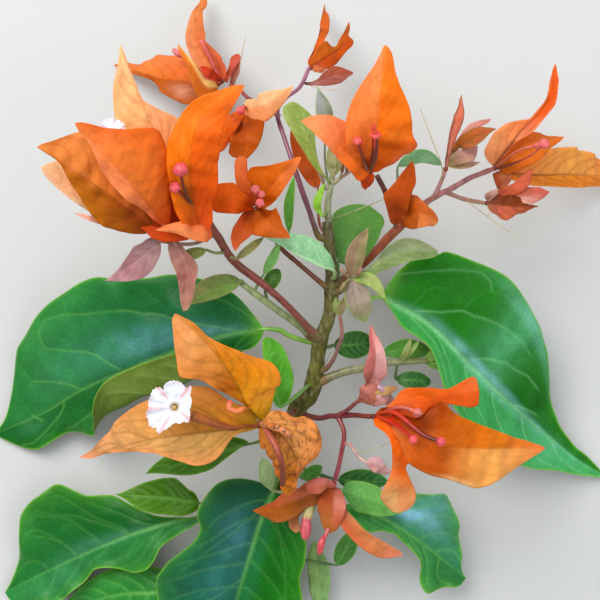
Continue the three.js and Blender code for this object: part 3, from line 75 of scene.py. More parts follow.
LOOKS = {
    # large leaves: left half, right half from the stalk to the tip
    # left_big: the teal stops of the right half and the pale bluish patches are painted sheen
    "left_big": lk(LEAF, [(38, 116, 64), (36, 110, 62), (26, 100, 44)], [(40, 120, 92), (30, 108, 80), (56, 132, 96), (40, 116, 66)],
                   edge=(70, 150, 40), ek=0.35, ep=6, back=(96, 120, 40), fine=0.29, most=330, wave=(0.5, 17.0), crumple=(0.28, 12.0), puff=0.30, root=(120, 190, 70), rootw=0.04, bend={0: (0.27, 0.70)},
                   patches=[(0.22, 0.34, 0.20, 0.16, (120, 186, 200), 0.34), (0.10, 0.14, 0.12, 0.10, (130, 190, 200), 0.34), (0.30, 0.62, 0.22, 0.14, (70, 140, 120), 0.22), (0.7, 0.3, 0.25, 0.2, (14, 88, 14), 0.4),
                            (-0.3, 0.86, 0.3, 0.08, (60, 130, 90), 0.3)]),
    # right_big: the mint stops of the right half and the pale patches are painted sheen; the dark green patches are
    # painted shade
    "right_big": lk(LEAF, [(30, 122, 4), (26, 120, 14), (34, 124, 24)], [(66, 160, 96), (66, 164, 120), (80, 176, 130)],
                    edge=(84, 178, 60), ek=0.35, ep=7, vc="vein_pale", mid=0.75, fine=0.29, most=330, wave=(0.35, 16.0), crumple=(0.2, 12.0), puff=0.30, root=(140, 200, 90), rootw=0.03,
                    patches=[(-0.50, 0.385, 0.50, 0.075, (90, 176, 124), 0.62), (-0.92, 0.42, 0.10, 0.16, (140, 210, 190), 0.5), (-0.07, 0.45, 0.06, 0.30, (150, 214, 226), 0.50), (0.08, 0.5, 0.08, 0.35, (150, 214, 210), 0.25),
                             (-0.40, 0.59, 0.5, 0.10, (8, 84, 0), 0.85), (-0.6, 0.13, 0.4, 0.11, (16, 104, 0), 0.8), (0.4, 0.25, 0.3, 0.12, (30, 130, 40), 0.4), (0.3, 0.75, 0.5, 0.12, (96, 184, 140), 0.4)]),
    # b1: the pale bluish patches are painted sheen
    "b1": lk(dict(LEAF, k1=0.34, vk=0.42), [(52, 126, 78), (42, 120, 72), (56, 140, 90)], [(20, 90, 40), (26, 102, 50), (44, 128, 76)], edge=(110, 176, 70), ek=0.4, ep=6, wave=(0.9, 11.0), patches=[(0.05, 0.4, 0.14, 0.3, (110, 176, 160), 0.22), (-0.4, 0.7, 0.3, 0.2, (90, 166, 130), 0.22)]),
    "b2": lk(LEAF, [(46, 128, 66), (58, 146, 84)], edge=(104, 170, 80), ek=0.4, wave=(0.5, 12.0)),
    # b3: the blue-green stops of the right half and the pale bluish patches are painted sheen
    "b3": lk(dict(LEAF, k1=0.36, vk=0.44), [(30, 104, 44), (24, 112, 28), (34, 116, 34)], [(24, 84, 70), (26, 92, 92), (34, 108, 96)], edge=(96, 176, 50), ek=0.35, ep=7, wave=(0.8, 12.0), mid=0.6, patches=[(0.35, 0.30, 0.3, 0.14, (86, 150, 170), 0.36), (0.3, 0.6, 0.25, 0.16, (70, 140, 150), 0.3), (-0.12, 0.45, 0.14, 0.3, (40, 116, 90), 0.4)]),
    # b6: the pale blue patches are painted highlight and painted sheen; the teal cast of the left-half stops is painted
    # sheen too
    "b6": lk(LEAF, [(50, 126, 116), (72, 146, 140), (62, 140, 120)], [(60, 146, 90), (56, 138, 96), (48, 124, 76)], edge=(120, 190, 90), ek=0.45, ep=5, wave=(0.7, 9.0), patches=[(-0.42, 0.36, 0.17, 0.22, (160, 222, 255), 0.8), (-0.8, 0.5, 0.2, 0.1, (120, 190, 200), 0.5)]),
    "b4": lk(LEAF, ["olive", (84, 124, 30)], [(70, 104, 10), (76, 112, 10)], vk=0.35, rk=0.4, wave=(0.35, 9.0), fine=0.36),
    "b5": lk(LEAF, [(72, 108, 24), (80, 118, 30)], vk=0.35, rk=0.4, wave=(0.3, 9.0), fine=0.36),
    "b7": lk(SMALL, [(104, 170, 92), (124, 184, 92)], [(86, 150, 80), (110, 170, 80)], rk=0.6),
    "b7b": lk(SMALL, [(30, 84, 40), (36, 96, 44)]),
    "b8": lk(SMALL, [(150, 178, 116), (160, 190, 120)], [(132, 164, 104)], vk=0.3),
    "b8c": lk(SMALL, [(64, 124, 52)]),
    "b8b": lk(SMALL, [(60, 112, 50), (72, 124, 52)]),
    "b3b": lk(SMALL, [(150, 162, 122), (160, 176, 128)], vk=0.3, back="sage"),
    "l5": lk(LEAF, [(90, 160, 52), (104, 170, 60)], [(78, 148, 46), (92, 164, 56)], vk=0.35, rk=0.4, wave=(0.25, 10.0), edge="lime", fine=0.36),
    "l3": lk(SMALL, [(160, 212, 170), (190, 232, 196)], [(140, 194, 146), (164, 214, 172)], vc=(196, 232, 180), vk=0.5, rimc=(190, 220, 150), wave=(0.3, 8.0), back="under_pale"),
    "r1": lk(SMALL, [(146, 112, 84), (158, 134, 106)], [(132, 128, 84), (156, 146, 98)], vc=(200, 150, 130), vk=0.5, back="tan", bvc="rose", rimc=(204, 160, 130), mats=("young", "young")),
    "r2": lk(SMALL, [(118, 142, 92), (150, 168, 122), (164, 168, 128)], [(100, 124, 66), (132, 152, 96)], vc=(180, 176, 120), rimc=(176, 190, 120), back="sage", wave=(0.35, 8.0), puff=0.18),
    "r3": lk(SMALL, [(140, 118, 106), (150, 128, 116), (136, 134, 90)], [(128, 108, 96), (142, 124, 108), (126, 130, 80)], vc=(196, 170, 160), vk=0.4, back=(190, 170, 160), bvc="mauve", mats=("young", "young")),
    "r4": lk(SMALL, [(146, 150, 84), (160, 160, 104)], vk=0.3, back="sage"),
    "round": lk(LEAF, [(100, 146, 84), (116, 160, 98)], [(88, 134, 72), (108, 152, 90)], vk=0.18, rk=0.3, back="under_pale", fine=0.38, wave=(0.3, 11.0), mats=("leaf_matt", "leaf_back")),
    "yn": lk(SMALL, [(150, 196, 64)], vk=0.2),
    "kl": lk(SMALL, [(124, 140, 56), (140, 156, 74)], [(104, 122, 46), (126, 144, 60)], vc=(176, 186, 116), rimc=(186, 186, 110), back="sage", wave=(0.25, 8.0)),
    "tip1": lk(SMALL, [(188, 186, 140), (166, 142, 110)], vk=0.2, back="tan", mats=("young", "young")),
    "tip2": lk(SMALL, [(178, 168, 120), (158, 128, 100)], vk=0.2, back="tan", mats=("young", "young")),
    "spike": lk(SMALL, [(140, 126, 128), (156, 146, 162), (182, 176, 192)], [(120, 104, 100), (136, 122, 130)], vk=0.3, back="mauve", mats=("young", "young")),
    "t1": lk(SMALL, [(70, 132, 40), (88, 148, 46)], vk=0.3),
    "gg": lk(SMALL, [(98, 140, 106), (126, 160, 130)], vk=0.3, back="sage"),
    "lb1": lk(SMALL, [(128, 104, 62), (146, 128, 74)], vk=0.2, mats=("young", "young")),
    "lb2": lk(SMALL, [(120, 172, 98), (144, 190, 120)], vk=0.3),
    "lb3": lk(SMALL, [(52, 78, 26), (64, 92, 34)]),
    "lm1": lk(SMALL, [(30, 76, 30), (38, 88, 36)]),
    "gl": lk(SMALL, [(74, 132, 52), (92, 150, 62)]),
    "lm2": lk(SMALL, [(30, 82, 38), (38, 92, 44)]),
    "lg1": lk(SMALL, [(132, 156, 76), (120, 142, 66)], [(110, 132, 58), (134, 144, 84), (176, 140, 110)], vk=0.4, rimc=(196, 160, 120), back="sage", wave=(0.3, 6.0), puff=0.16),
    "nb1": lk(SMALL, [(160, 110, 96), (178, 104, 98), (196, 136, 112)], [(176, 122, 110), (168, 92, 88), (176, 120, 100)], vc=(206, 150, 140), vk=0.5, rimc=(214, 160, 140), back=(176, 124, 116), bvc="rose",
              wave=(0.45, 6.0), mats=("young", "young")),
    "nb2": lk(SMALL, [(156, 116, 110), (172, 112, 122), (186, 130, 140)], [(170, 130, 132), (158, 98, 108), (176, 120, 128)], vc=(206, 160, 166), vk=0.5, rimc=(206, 160, 160), back=(182, 138, 142), bvc="mauve",
              wave=(0.35, 7.0), mats=("young", "young")),
    "nb3": lk(SMALL, [(124, 120, 64), (146, 128, 84)], vk=0.3),
    "sr_a": lk(SMALL, [(120, 150, 76), (140, 164, 92)], vk=0.3, back="sage"),
    "sr_b": lk(SMALL, [(96, 136, 60), (120, 154, 76)], vk=0.3, back="sage"),
    "sr_c": lk(SMALL, [(150, 150, 96), (160, 156, 104)], vk=0.3, back="tan", mats=("young", "young")),
    "sr_d": lk(SMALL, [(140, 150, 86), (150, 160, 96)], vk=0.3, back="tan", mats=("young", "young")),
    "sc_a": lk(SMALL, [(150, 110, 90), (166, 124, 104)], vk=0.3, back="tan", mats=("young", "young")),
    "sc_b": lk(SMALL, [(140, 130, 84), (156, 140, 96)], vk=0.3, back="tan", mats=("young", "young")),
    # blooms
    "a_1": lk(BRACT, [(255, 124, 74), (255, 132, 88), (252, 124, 74)], [(232, 100, 24), (240, 118, 50), (238, 120, 62)], root=(226, 70, 14), rootw=0.2, edges=((255, 140, 100), (232, 88, 6)), gain=(1.14, 1.36, 0.95), vk=0.28),
    # a_2: the dark brown towards the base (root colour and first stops) is painted shadow
    "a_2": lk(BRACT, [(176, 70, 4), (176, 84, 4), (206, 110, 20), (236, 132, 62)], [(226, 100, 30), (236, 126, 58), (240, 138, 74)], root=(140, 52, 4), rootw=0.2, vk=0.55, edges=((206, 112, 14), (238, 130, 66))),
    "a_3": lk(BRACT, [(250, 176, 104), (254, 192, 120), (252, 172, 116)], [(240, 156, 84), (250, 180, 110)], gain=(1.16, 1.24, 0.85), edge=(254, 206, 140), ek=0.4, net=(2.4, (190, 90, 30), 0.10, 0.16, 0.03)),
    "a_4": lk(BRACT, [(240, 120, 50), (250, 146, 76), (250, 152, 88)], [(236, 112, 50), (248, 140, 76), (248, 150, 84)], root="orange_deep", gain=(1.14, 1.34, 0.9), vk=0.5, net=(2.4, (190, 80, 20), 0.16, 0.18, 0.03)),
    # a_5: the dark brown patch near the base is painted shade inside the cup
    "a_5": lk(BRACT, [(214, 70, 6), (236, 112, 10), (246, 120, 10), (250, 124, 26), (240, 124, 44)], [(246, 96, 20), (246, 92, 8), (250, 104, 16), (240, 104, 20), (240, 120, 44)], root=(240, 92, 40), rootw=0.10, wave=(0.6, 12.0),
              patches=[(-0.25, 0.27, 0.35, 0.12, (120, 40, 4), 0.55), (-0.35, 0.40, 0.3, 0.10, (250, 150, 40), 0.5)]),
    "a_6": lk(BRACT, [(250, 112, 60), (255, 134, 92)], [(252, 116, 66), (252, 124, 80)], root=(244, 96, 40), gain=(1.14, 1.42, 1.0), vk=0.2),
    "a_7": lk(TINY, [(190, 120, 96), (226, 156, 146)], mats=("young", "young")),
    "a_8": lk(BRACT, [(120, 30, 4), (190, 60, 6), (206, 66, 10)], [(110, 28, 4), (206, 70, 4), (226, 90, 10)], vk=0.5),
    "a_9": lk(BRACT, [(196, 66, 10), (222, 76, 14), (206, 70, 16)], [(206, 66, 10), (226, 76, 14)]),
    "b_1": lk(BRACT, [(232, 96, 50), (240, 112, 62), (242, 120, 66)], [(214, 70, 40), (224, 84, 46), (236, 110, 56), (238, 116, 56)], edges=((246, 136, 96), (226, 90, 50)), ek2=0.5, gain=(1.14, 1.30, 0.85)),
    "b_2": lk(TINY, [(216, 60, 30), (226, 66, 34)]),
    "b_3": lk(TINY, [(204, 76, 54), (216, 92, 70)], [(220, 100, 84), (214, 90, 76)]),
    "b_6": lk(TINY, [(206, 120, 110), (214, 120, 110)]),
    # b_4: the pale pink patch near the base is a painted highlight
    "b_4": lk(BRACT, [(150, 60, 10), (190, 84, 14), (206, 92, 24), (232, 112, 52)], [(214, 90, 30), (236, 108, 40), (242, 124, 60), (232, 104, 40)], edges=((206, 92, 20), (250, 136, 100)), ek2=0.6,
              patches=[(-0.45, 0.24, 0.3, 0.10, (250, 180, 150), 0.75)]),
    "b_5": lk(BRACT, [(170, 66, 14), (190, 80, 16), (216, 100, 30)], [(246, 150, 84), (250, 156, 88), (244, 140, 70)], gain=(1.14, 1.32, 0.8)),
    "c_1": lk(BRACT, [(216, 88, 30), (232, 104, 44)], [(226, 96, 26), (224, 96, 26)], edges=((240, 130, 80), (222, 92, 20)), ek2=0.5),
    # c_2: the dark line along the fold is painted shade in the crease
    "c_2": lk(BRACT, [(214, 92, 16), (222, 104, 20), (224, 104, 36), (240, 130, 80)], [(206, 70, 12), (214, 80, 14), (206, 84, 20)], creases=[([(0.0, 0.05), (0.0, 0.6)], (130, 40, 6), 0.22, 0.7)]),
    "c_3": lk(TINY, [(150, 84, 84), (176, 84, 62), (190, 84, 62)], [(170, 110, 120), (160, 76, 70), (186, 96, 84)], vc=(206, 140, 140), vk=0.5),
    "c_4": lk(TINY, [(226, 130, 100), (230, 120, 86)]),
    "d_1": lk(BRACT, [(236, 104, 30), (240, 110, 36), (246, 130, 64), (248, 138, 80), (246, 134, 80)], [(214, 84, 10), (228, 98, 8), (240, 112, 10), (244, 118, 20), (240, 120, 44)], vk=0.25, wave=(0.35, 14.0),
              edges=((250, 132, 76), (240, 112, 20)), ek2=0.35, patches=[(0.95, 0.18, 0.25, 0.10, (255, 126, 84), 0.9), (0.55, 0.36, 0.4, 0.03, (250, 140, 50), 0.6), (0.6, 0.28, 0.4, 0.04, (216, 84, 6), 0.5)]),
    "d_2": lk(BRACT, [(238, 100, 20), (246, 112, 30), (252, 128, 80), (255, 150, 104)], [(240, 104, 16), (250, 124, 50), (254, 124, 78), (250, 140, 96)], gain=(1.14, 1.36, 0.9), vk=0.25),
    "d_4": lk(TINY, [(226, 84, 30), (226, 88, 40)]),
    # e_1 and e_2: the dark rust stops stand for the shade this bloom lies in: painted shade
    "e_1": lk(BRACT, [(186, 60, 12), (206, 74, 16), (206, 76, 24)], [(196, 72, 30), (206, 76, 14), (208, 80, 30)], edges=((206, 90, 40), (214, 84, 14)), ek2=0.4),
    "e_2": lk(BRACT, [(190, 72, 20), (210, 84, 12), (226, 104, 50)], [(196, 80, 14), (222, 100, 30), (240, 132, 90)], edge=(236, 120, 70), ek=0.5),
    "f_1": lk(BRACT, [(220, 92, 20), (222, 96, 4), (232, 104, 10), (244, 124, 70)], [(228, 96, 12), (238, 104, 10), (248, 124, 70), (252, 130, 90)]),
    "f_2": lk(BRACT, [(226, 76, 20), (240, 92, 10), (238, 88, 8)], [(230, 80, 30), (240, 100, 20), (240, 92, 10)]),
    "f_3": lk(BRACT, [(220, 84, 44), (226, 96, 50), (232, 110, 70)], vk=0.2),
    "f_4": lk(BRACT, [(206, 90, 10), (214, 92, 6), (226, 100, 40)], [(200, 96, 50), (222, 100, 30), (232, 104, 60)]),
    "f_5": lk(BRACT, [(176, 76, 44), (214, 90, 30), (226, 100, 66)], [(150, 60, 40), (206, 80, 40), (226, 96, 60)]),
    "g_1": lk(BRACT, [(250, 150, 90), (254, 168, 106), (252, 164, 100)], [(244, 130, 70), (246, 136, 74), (250, 150, 90)], gain=(1.12, 1.30, 0.85), vk=0.22),
    # g_2: its dark orange stops are painted shade
    "g_2": lk(BRACT, [(196, 76, 6), (206, 84, 4), (214, 94, 16)], [(190, 70, 6), (196, 78, 4), (206, 86, 8)], edge=(236, 120, 60), ek=0.3, ep=9, vk=0.3),
    "g_3": lk(BRACT, [(226, 90, 14), (226, 88, 8), (196, 66, 4)], [(230, 96, 20), (232, 94, 10)], vk=0.2, edges=((120, 36, 4), (236, 100, 16)), ep2=5.0),
    "h_1": lk(BRACT, [(255, 150, 116), (250, 140, 104), (244, 116, 66), (232, 100, 34), (228, 88, 20), (236, 100, 50)], [(226, 96, 60), (240, 140, 120), (226, 86, 30), (224, 80, 10), (232, 96, 40)], mid=0.34, vc=(104, 40, 10), vk=0.8, k1=0.4, k2=0.3,
              edges=((255, 170, 140), (250, 150, 110)), ek2=0.35, ep2=3.0, gain=(1.12, 1.34, 0.95), fine=0.30, net=(2.2, (120, 50, 20), 0.14, 0.14, 0.03)),
    "h_2": lk(BRACT, [(232, 104, 26), (238, 116, 50), (240, 120, 70)], [(228, 104, 26), (240, 116, 44)]),
    "h_3": lk(BRACT, [(236, 110, 60), (250, 140, 60), (250, 150, 66), (244, 124, 50)], [(236, 120, 40), (246, 130, 30), (240, 120, 44)], vc=(130, 50, 10), vk=0.7, k1=0.6, k2=0.22, mid=0.3, vw=0.09, gain=(1.14, 1.32, 0.7), fine=0.27, most=330, net=(2.8, (130, 56, 10), 0.12, 0.14, 0.03)),
    "h_4": lk(TINY, [(226, 130, 90), (236, 140, 104)], [(206, 100, 66)]),
    "i_1": lk(TINY, [(160, 84, 64), (190, 84, 56), (214, 104, 76)], [(196, 84, 60), (206, 88, 54), (224, 120, 92)], vc=(236, 160, 140), vk=0.7, mid=0.3, edges=((120, 60, 30), (150, 70, 40)), ep2=6.0, ek2=0.7, rimc=(130, 80, 60), rk=0.6),
    "i_2": lk(TINY, [(222, 150, 156), (232, 172, 176), (214, 130, 130)], [(206, 120, 116), (216, 136, 130)]),
    "i_3": lk(TINY, [(176, 84, 50), (196, 96, 40), (206, 92, 62)], [(166, 76, 50), (190, 92, 50), (200, 90, 60)], vc=(130, 110, 50), vk=0.7, mid=0.25, rimc=(140, 120, 60), rk=0.6),
    "i_4": lk(TINY, [(170, 170, 110), (206, 150, 150), (214, 160, 166)], [(180, 150, 120), (206, 140, 150)], vc=(160, 90, 80), vk=0.5),
    "i_5": lk(TINY, [(176, 176, 110), (206, 170, 160), (210, 150, 160)], [(170, 170, 110), (200, 150, 150)]),
    "j_1": lk(TINY, [(196, 90, 76), (214, 100, 70), (226, 110, 96)], [(206, 110, 96), (214, 96, 66), (214, 96, 80)], vc=(150, 60, 50), vk=0.5),
    # j_2: the pale pink stops of the right half are a painted highlight
    "j_2": lk(TINY, [(206, 110, 100), (222, 120, 104), (214, 90, 84)], [(226, 150, 140), (240, 180, 176), (206, 80, 76)], vc=(170, 60, 60), vk=0.6),
    # j_3: the pink first stop of the right half is a painted highlight
    "j_3": lk(TINY, [(176, 96, 80), (134, 56, 16), (150, 64, 20), (190, 80, 50)], [(200, 120, 110), (214, 104, 84), (206, 96, 54), (196, 84, 60)], vc=(110, 50, 20), vk=0.6, edges=((104, 40, 10), (220, 112, 84)), ek2=0.5, fine=0.26),
    "j_4": lk(TINY, [(220, 170, 170), (226, 176, 180)]),
    "k_1": lk(BRACT, [(206, 130, 14), (206, 112, 10), (198, 96, 14), (216, 118, 56), (230, 136, 90), (232, 130, 88)], [(232, 160, 20), (246, 150, 40), (230, 122, 6), (226, 116, 20), (222, 120, 50), (234, 130, 76)], vc=(110, 74, 8), vk=0.6, mid=0.34, k2=0.3,
              edges=((238, 122, 66), (236, 120, 50)), ek2=0.55, ep2=2.6, root=(206, 150, 14), rootw=0.10, wave=(0.5, 12.0), patches=[(0.55, 0.16, 0.3, 0.10, (252, 168, 70), 0.7), (-0.35, 0.42, 0.5, 0.05, (196, 92, 14), 0.5)], fine=0.32, most=300, net=(3.2, (130, 80, 12), 0.15, 0.15, 0.03)),
    "k_2": lk(BRACT, [(206, 122, 30), (222, 140, 66), (222, 140, 72), (226, 132, 72), (236, 128, 80)], [(190, 96, 16), (206, 108, 20), (214, 120, 44), (224, 134, 66), (226, 138, 80), (236, 132, 90)], vc=(120, 74, 20), vk=0.62, mid=0.30, k2=0.3,
              edges=((242, 122, 64), (226, 120, 56)), ek2=0.7, ep2=3.2, tip=(240, 128, 96), tipv=0.86, root=(196, 130, 24), rootw=0.10, fine=0.32, most=300, net=(3.2, (130, 82, 24), 0.17, 0.15, 0.03)),
    "k_3": lk(BRACT, [(226, 140, 90), (226, 132, 84), (232, 130, 84), (226, 110, 56), (226, 112, 40)], [(220, 110, 40), (206, 110, 60), (214, 116, 60), (206, 96, 30), (214, 110, 30)], vc=(86, 44, 14), vk=0.66, k1=0.5, k2=0.34, mid=0.30, bvc=(86, 40, 16), bvk=0.7,
              edges=((240, 116, 66), (222, 100, 42)), ek2=0.6, ep2=3.0, crinkle=(0.10, 2.4), crumple=(0.35, 6.0), puff=0.30, groove=0.12, spots=((96, 46, 16), 4.0, 0.26), fine=0.28, gain=(1.14, 1.30, 0.8), net=(1.9, (78, 36, 12), 0.62, 0.10, 0.16)),
    # l_1: the dark patch where it meets l_2 is painted shade; the pale yellow patch at the right edge is a painted
    # highlight
    "l_1": lk(BRACT, [(214, 66, 8), (206, 70, 8), (170, 64, 4), (214, 98, 4), (230, 112, 4), (236, 122, 10), (246, 130, 44), (248, 120, 70)],
              [(214, 70, 12), (240, 124, 78), (214, 92, 10), (206, 88, 6), (246, 156, 84), (252, 172, 104), (252, 160, 96), (250, 130, 84)], vk=0.25, wave=(0.45, 13.0), gain=(1.14, 1.30, 0.75),
              patches=[(-0.9, 0.36, 0.3, 0.07, (170, 60, 4), 0.7), (0.95, 0.52, 0.08, 0.08, (255, 220, 160), 0.6)]),
    "l_2": lk(BRACT, [(214, 70, 24), (252, 118, 60), (236, 96, 20), (230, 92, 20), (236, 110, 60)], [(200, 60, 30), (246, 110, 70), (226, 86, 14), (222, 82, 12), (226, 88, 20)], gain=(1.14, 1.30, 0.8), vk=0.22),
    # l_3: the dark red patch is painted shade in the throat of the bloom
    "l_3": lk(BRACT, [(206, 60, 6), (206, 40, 4), (226, 80, 8), (232, 96, 20), (252, 136, 80), (254, 142, 90)], [(214, 84, 8), (226, 92, 8), (232, 90, 10), (240, 110, 50), (255, 156, 96), (255, 154, 100)], gain=(1.14, 1.32, 0.85), vk=0.2,
              patches=[(-0.1, 0.27, 0.5, 0.06, (190, 20, 2), 0.7)]),
    "m_1": lk(BRACT, [(176, 84, 50), (190, 90, 40), (160, 76, 10), (180, 90, 16), (214, 100, 20), (232, 104, 20)], [(200, 110, 90), (226, 116, 96), (222, 104, 70), (214, 90, 50), (226, 100, 40)],
              edges=((216, 116, 70), (232, 104, 80)), ek2=0.7, ep2=2.4, gain=(1.12, 1.24, 0.9)),
    "m_2": lk(BRACT, [(206, 100, 84), (236, 136, 128), (226, 104, 76), (214, 110, 44)], [(196, 84, 50), (196, 84, 44), (206, 110, 60), (214, 116, 50)], gain=(1.12, 1.22, 0.9), vk=0.25),
    "m_3": lk(BRACT, [(232, 124, 104), (236, 130, 84), (240, 140, 92), (246, 140, 104)], [(226, 110, 90), (230, 104, 66), (238, 132, 84), (246, 130, 120)], gain=(1.12, 1.22, 0.9), vk=0.22),
    "m_4": lk(TINY, [(226, 130, 80), (240, 160, 110)]),
    "m_5": lk(BRACT, [(206, 104, 84), (226, 116, 96), (214, 100, 76)], [(214, 110, 100), (240, 130, 124), (232, 120, 100)], gain=(1.12, 1.18, 0.95), vk=0.2),
    "n_1": lk(BRACT, [(206, 100, 84), (186, 90, 76), (214, 112, 100), (214, 104, 90)], [(214, 110, 96), (226, 140, 130), (240, 166, 156), (226, 120, 104)], vc=(244, 190, 180), vk=0.4, k1=0.2, k2=0.1, gain=(1.05, 1.04, 0.95)),
    "n_2": lk(TINY, [(196, 96, 84), (214, 110, 90), (206, 104, 90)], [(206, 100, 80), (214, 112, 84)], vc=(170, 70, 60), vk=0.5),
    "n_3": lk(TINY, [(200, 150, 156), (216, 166, 184)], [(190, 120, 120), (206, 150, 160)]),
    "n_4": lk(TINY, [(190, 140, 100), (206, 186, 110), (196, 130, 120)], [(180, 120, 90), (200, 160, 110)]),
    "o": lk(BRACT, [(190, 76, 20), (206, 90, 36)], vk=0.3),
    "n2": lk(TINY, [(222, 170, 186), (214, 176, 210)], [(206, 140, 150), (226, 180, 200)], vk=0.2),
    "i_6": lk(TINY, [(196, 140, 140), (200, 150, 160)]),
    "n_5": lk(TINY, [(196, 130, 130), (206, 150, 166)], [(180, 110, 110)]),
}

# stems and stalks: colour stops from the start to the end of each axis
WOOD = {
    "side": [(150, 152, 112), (166, 172, 130), (172, 180, 140)], "sideb": [(156, 150, 112), (160, 130, 104)],
    "pa": [(134, 72, 62), (136, 64, 56), (126, 54, 42), (132, 62, 44)], "sg": [(138, 148, 96), (150, 166, 112), (156, 172, 112)],
    "pt": [(104, 66, 60), (122, 66, 84), (128, 60, 84), (140, 76, 100), (150, 96, 116)], "ptb": [(128, 58, 70), (140, 52, 44)],
    "pe": [(120, 84, 44), (132, 62, 26), (138, 62, 30), (150, 84, 72), (160, 104, 104), (156, 88, 84)], "ped": [(120, 66, 36), (92, 44, 34)],
    "pei": [(160, 104, 104), (166, 110, 104)], "pej": [(160, 104, 96), (176, 130, 104)],
    "sr": [(122, 118, 78), (136, 134, 96), (138, 138, 98), (122, 134, 70)], "sc": [(120, 84, 66), (140, 96, 86), (150, 106, 96)],
    "sb": [(112, 62, 40), (118, 58, 34), (132, 66, 34)], "pl": [(112, 60, 44), (104, 28, 30), (110, 30, 36), (124, 44, 28)],
    "pln": [(116, 34, 34), (132, 62, 60)], "plm": [(124, 40, 32), (150, 56, 62), (160, 72, 84)], "pk": [(120, 60, 44), (150, 92, 84)],
    "rt": [(140, 144, 84), (150, 150, 96)],
}
# the e tone darkens the bracts of the small right bloom, which lies in shade: painted shade
TONE = {"a": (0.98, 0.88, 1.05), "b": (0.93, 0.96, 1.05), "c": (0.90, 0.92, 0.8), "d": (0.98, 0.90, 1.1), "e": (0.78, 0.84, 0.8), "f": (0.89, 0.92, 0.8), "g": (0.90, 0.88, 1.0), "h": (1.0, 1.0, 1.0), "k": (0.92, 1.12, 1.15),
        "l": (0.95, 0.90, 1.0), "m": (0.86, 0.92, 1.0)}
# OWN gains: g_2's darkening is painted shade; the brightening of h_3 and l_3 is painted light that makes up for the
# shade the lamps leave on them
OWN = {"a_1": (0.91, 0.97, 0.85), "a_2": (0.86, 0.95, 0.8), "a_3": (1.0, 1.12, 2.0), "a_4": (1.06, 1.52, 2.8), "a_6": (1.06, 1.12, 1.1), "b_1": (0.90, 1.22, 1.7), "b_4": (0.92, 0.92, 0.9), "b_5": (1.3, 1.66, 2.4),
       "c_2": (0.86, 0.86, 0.8), "g_1": (1.06, 1.40, 2.5), "g_2": (0.82, 0.84, 0.4), "h_1": (1.12, 0.98, 0.9), "h_3": (1.50, 1.10, 2.2), "k_2": (1.08, 1.18, 2.0), "k_3": (0.98, 1.0, 1.0), "l_1": (0.90, 0.88, 0.9),
       "l_3": (1.34, 1.30, 1.7), "m_1": (0.82, 0.84, 0.8), "n_1": (0.86, 1.02, 1.2), "n_2": (0.84, 1.2, 1.6), "h_2": (0.95, 1.0, 0.9), "d_1": (0.99, 1.03, 1.0)}
for _key, _look in LOOKS.items():
    _g = TONE[_key[0]] if _look["mats"][0] == "bract" and _key[0] in TONE and _key[1:2] == "_" else (1, 1, 1)
    _look["gain"] = tuple(g * f * m for g, f, m in zip(_look["gain"], _g, OWN.get(_key, (1, 1, 1))))
STALK_OF = {
    "left_big": [(126, 176, 60), (130, 186, 66)], "right_big": [(120, 150, 70), (150, 196, 90)], "b1": [(110, 150, 70), (110, 170, 80)],
    "b2": [(110, 150, 70), (100, 160, 80)], "b3": [(120, 150, 70), (110, 170, 60)], "b4": [(110, 140, 60), (90, 130, 40)],
    "nb1": [(150, 110, 84), (176, 150, 120)], "nb2": [(140, 104, 84), (160, 120, 110)], "r2": [(140, 150, 90)], "l3": [(150, 170, 110), (170, 205, 140)],
    "n2": [(190, 140, 130), (206, 160, 150)], "o": [(150, 80, 50)],
}
HEADS = {
    "a_t1": [(150, 90, 20), (96, 60, 14), (130, 36, 30), (226, 80, 90)], "a_t2": [(150, 80, 20), (110, 50, 20), (150, 40, 40), (230, 84, 92)],
    "b_t1": [(190, 60, 50), (216, 96, 90), (232, 110, 110)], "b_t2": [(180, 56, 50), (206, 84, 80), (226, 100, 104)],
    "d_t1": [(150, 90, 70), (130, 50, 20), (170, 50, 30), (232, 84, 78)], "d_t2": [(130, 70, 50), (110, 30, 6), (120, 26, 6), (236, 80, 72)], "d_t3": [(130, 40, 20), (170, 50, 20), (220, 70, 30), (232, 76, 40)],
    "f_t1": [(190, 80, 60), (206, 84, 70), (232, 110, 104)], "f_t2": [(190, 80, 60), (206, 84, 70), (230, 112, 110)], "f_t3": [(180, 80, 60), (206, 84, 70), (240, 108, 112)], "k_t4": [(206, 150, 110), (222, 140, 80), (206, 120, 60), (214, 130, 80)], "g_t1": [(196, 60, 30), (196, 60, 40), (236, 84, 84)],
    "h_t1": [(150, 70, 40), (206, 100, 60), (206, 96, 70), (206, 90, 76)], "h_t2": [(110, 46, 20), (150, 60, 30), (206, 90, 70), (226, 96, 96)],
    "k_t1": [(190, 110, 80), (156, 80, 16), (140, 66, 6), (150, 76, 16), (176, 96, 30)], "k_t2": [(206, 130, 60), (232, 126, 70), (236, 130, 90), (222, 80, 60)],
    "k_t3": [(180, 100, 80), (186, 96, 76), (140, 56, 30), (110, 40, 10), (104, 40, 10)],
    "l_t1": [(214, 70, 14), (214, 60, 10), (200, 46, 8), (140, 20, 6), (100, 10, 6), (240, 80, 92)], "l_t2": [(206, 60, 10), (206, 30, 4), (190, 20, 4), (244, 90, 92)], "l_t3": [(150, 50, 30), (206, 90, 70), (214, 110, 96), (206, 104, 96)],
    "m_t1": [(170, 130, 70), (196, 190, 116), (190, 170, 104), (204, 84, 92)], "m_t2": [(150, 110, 70), (180, 110, 90), (206, 84, 84), (210, 70, 78)],
}
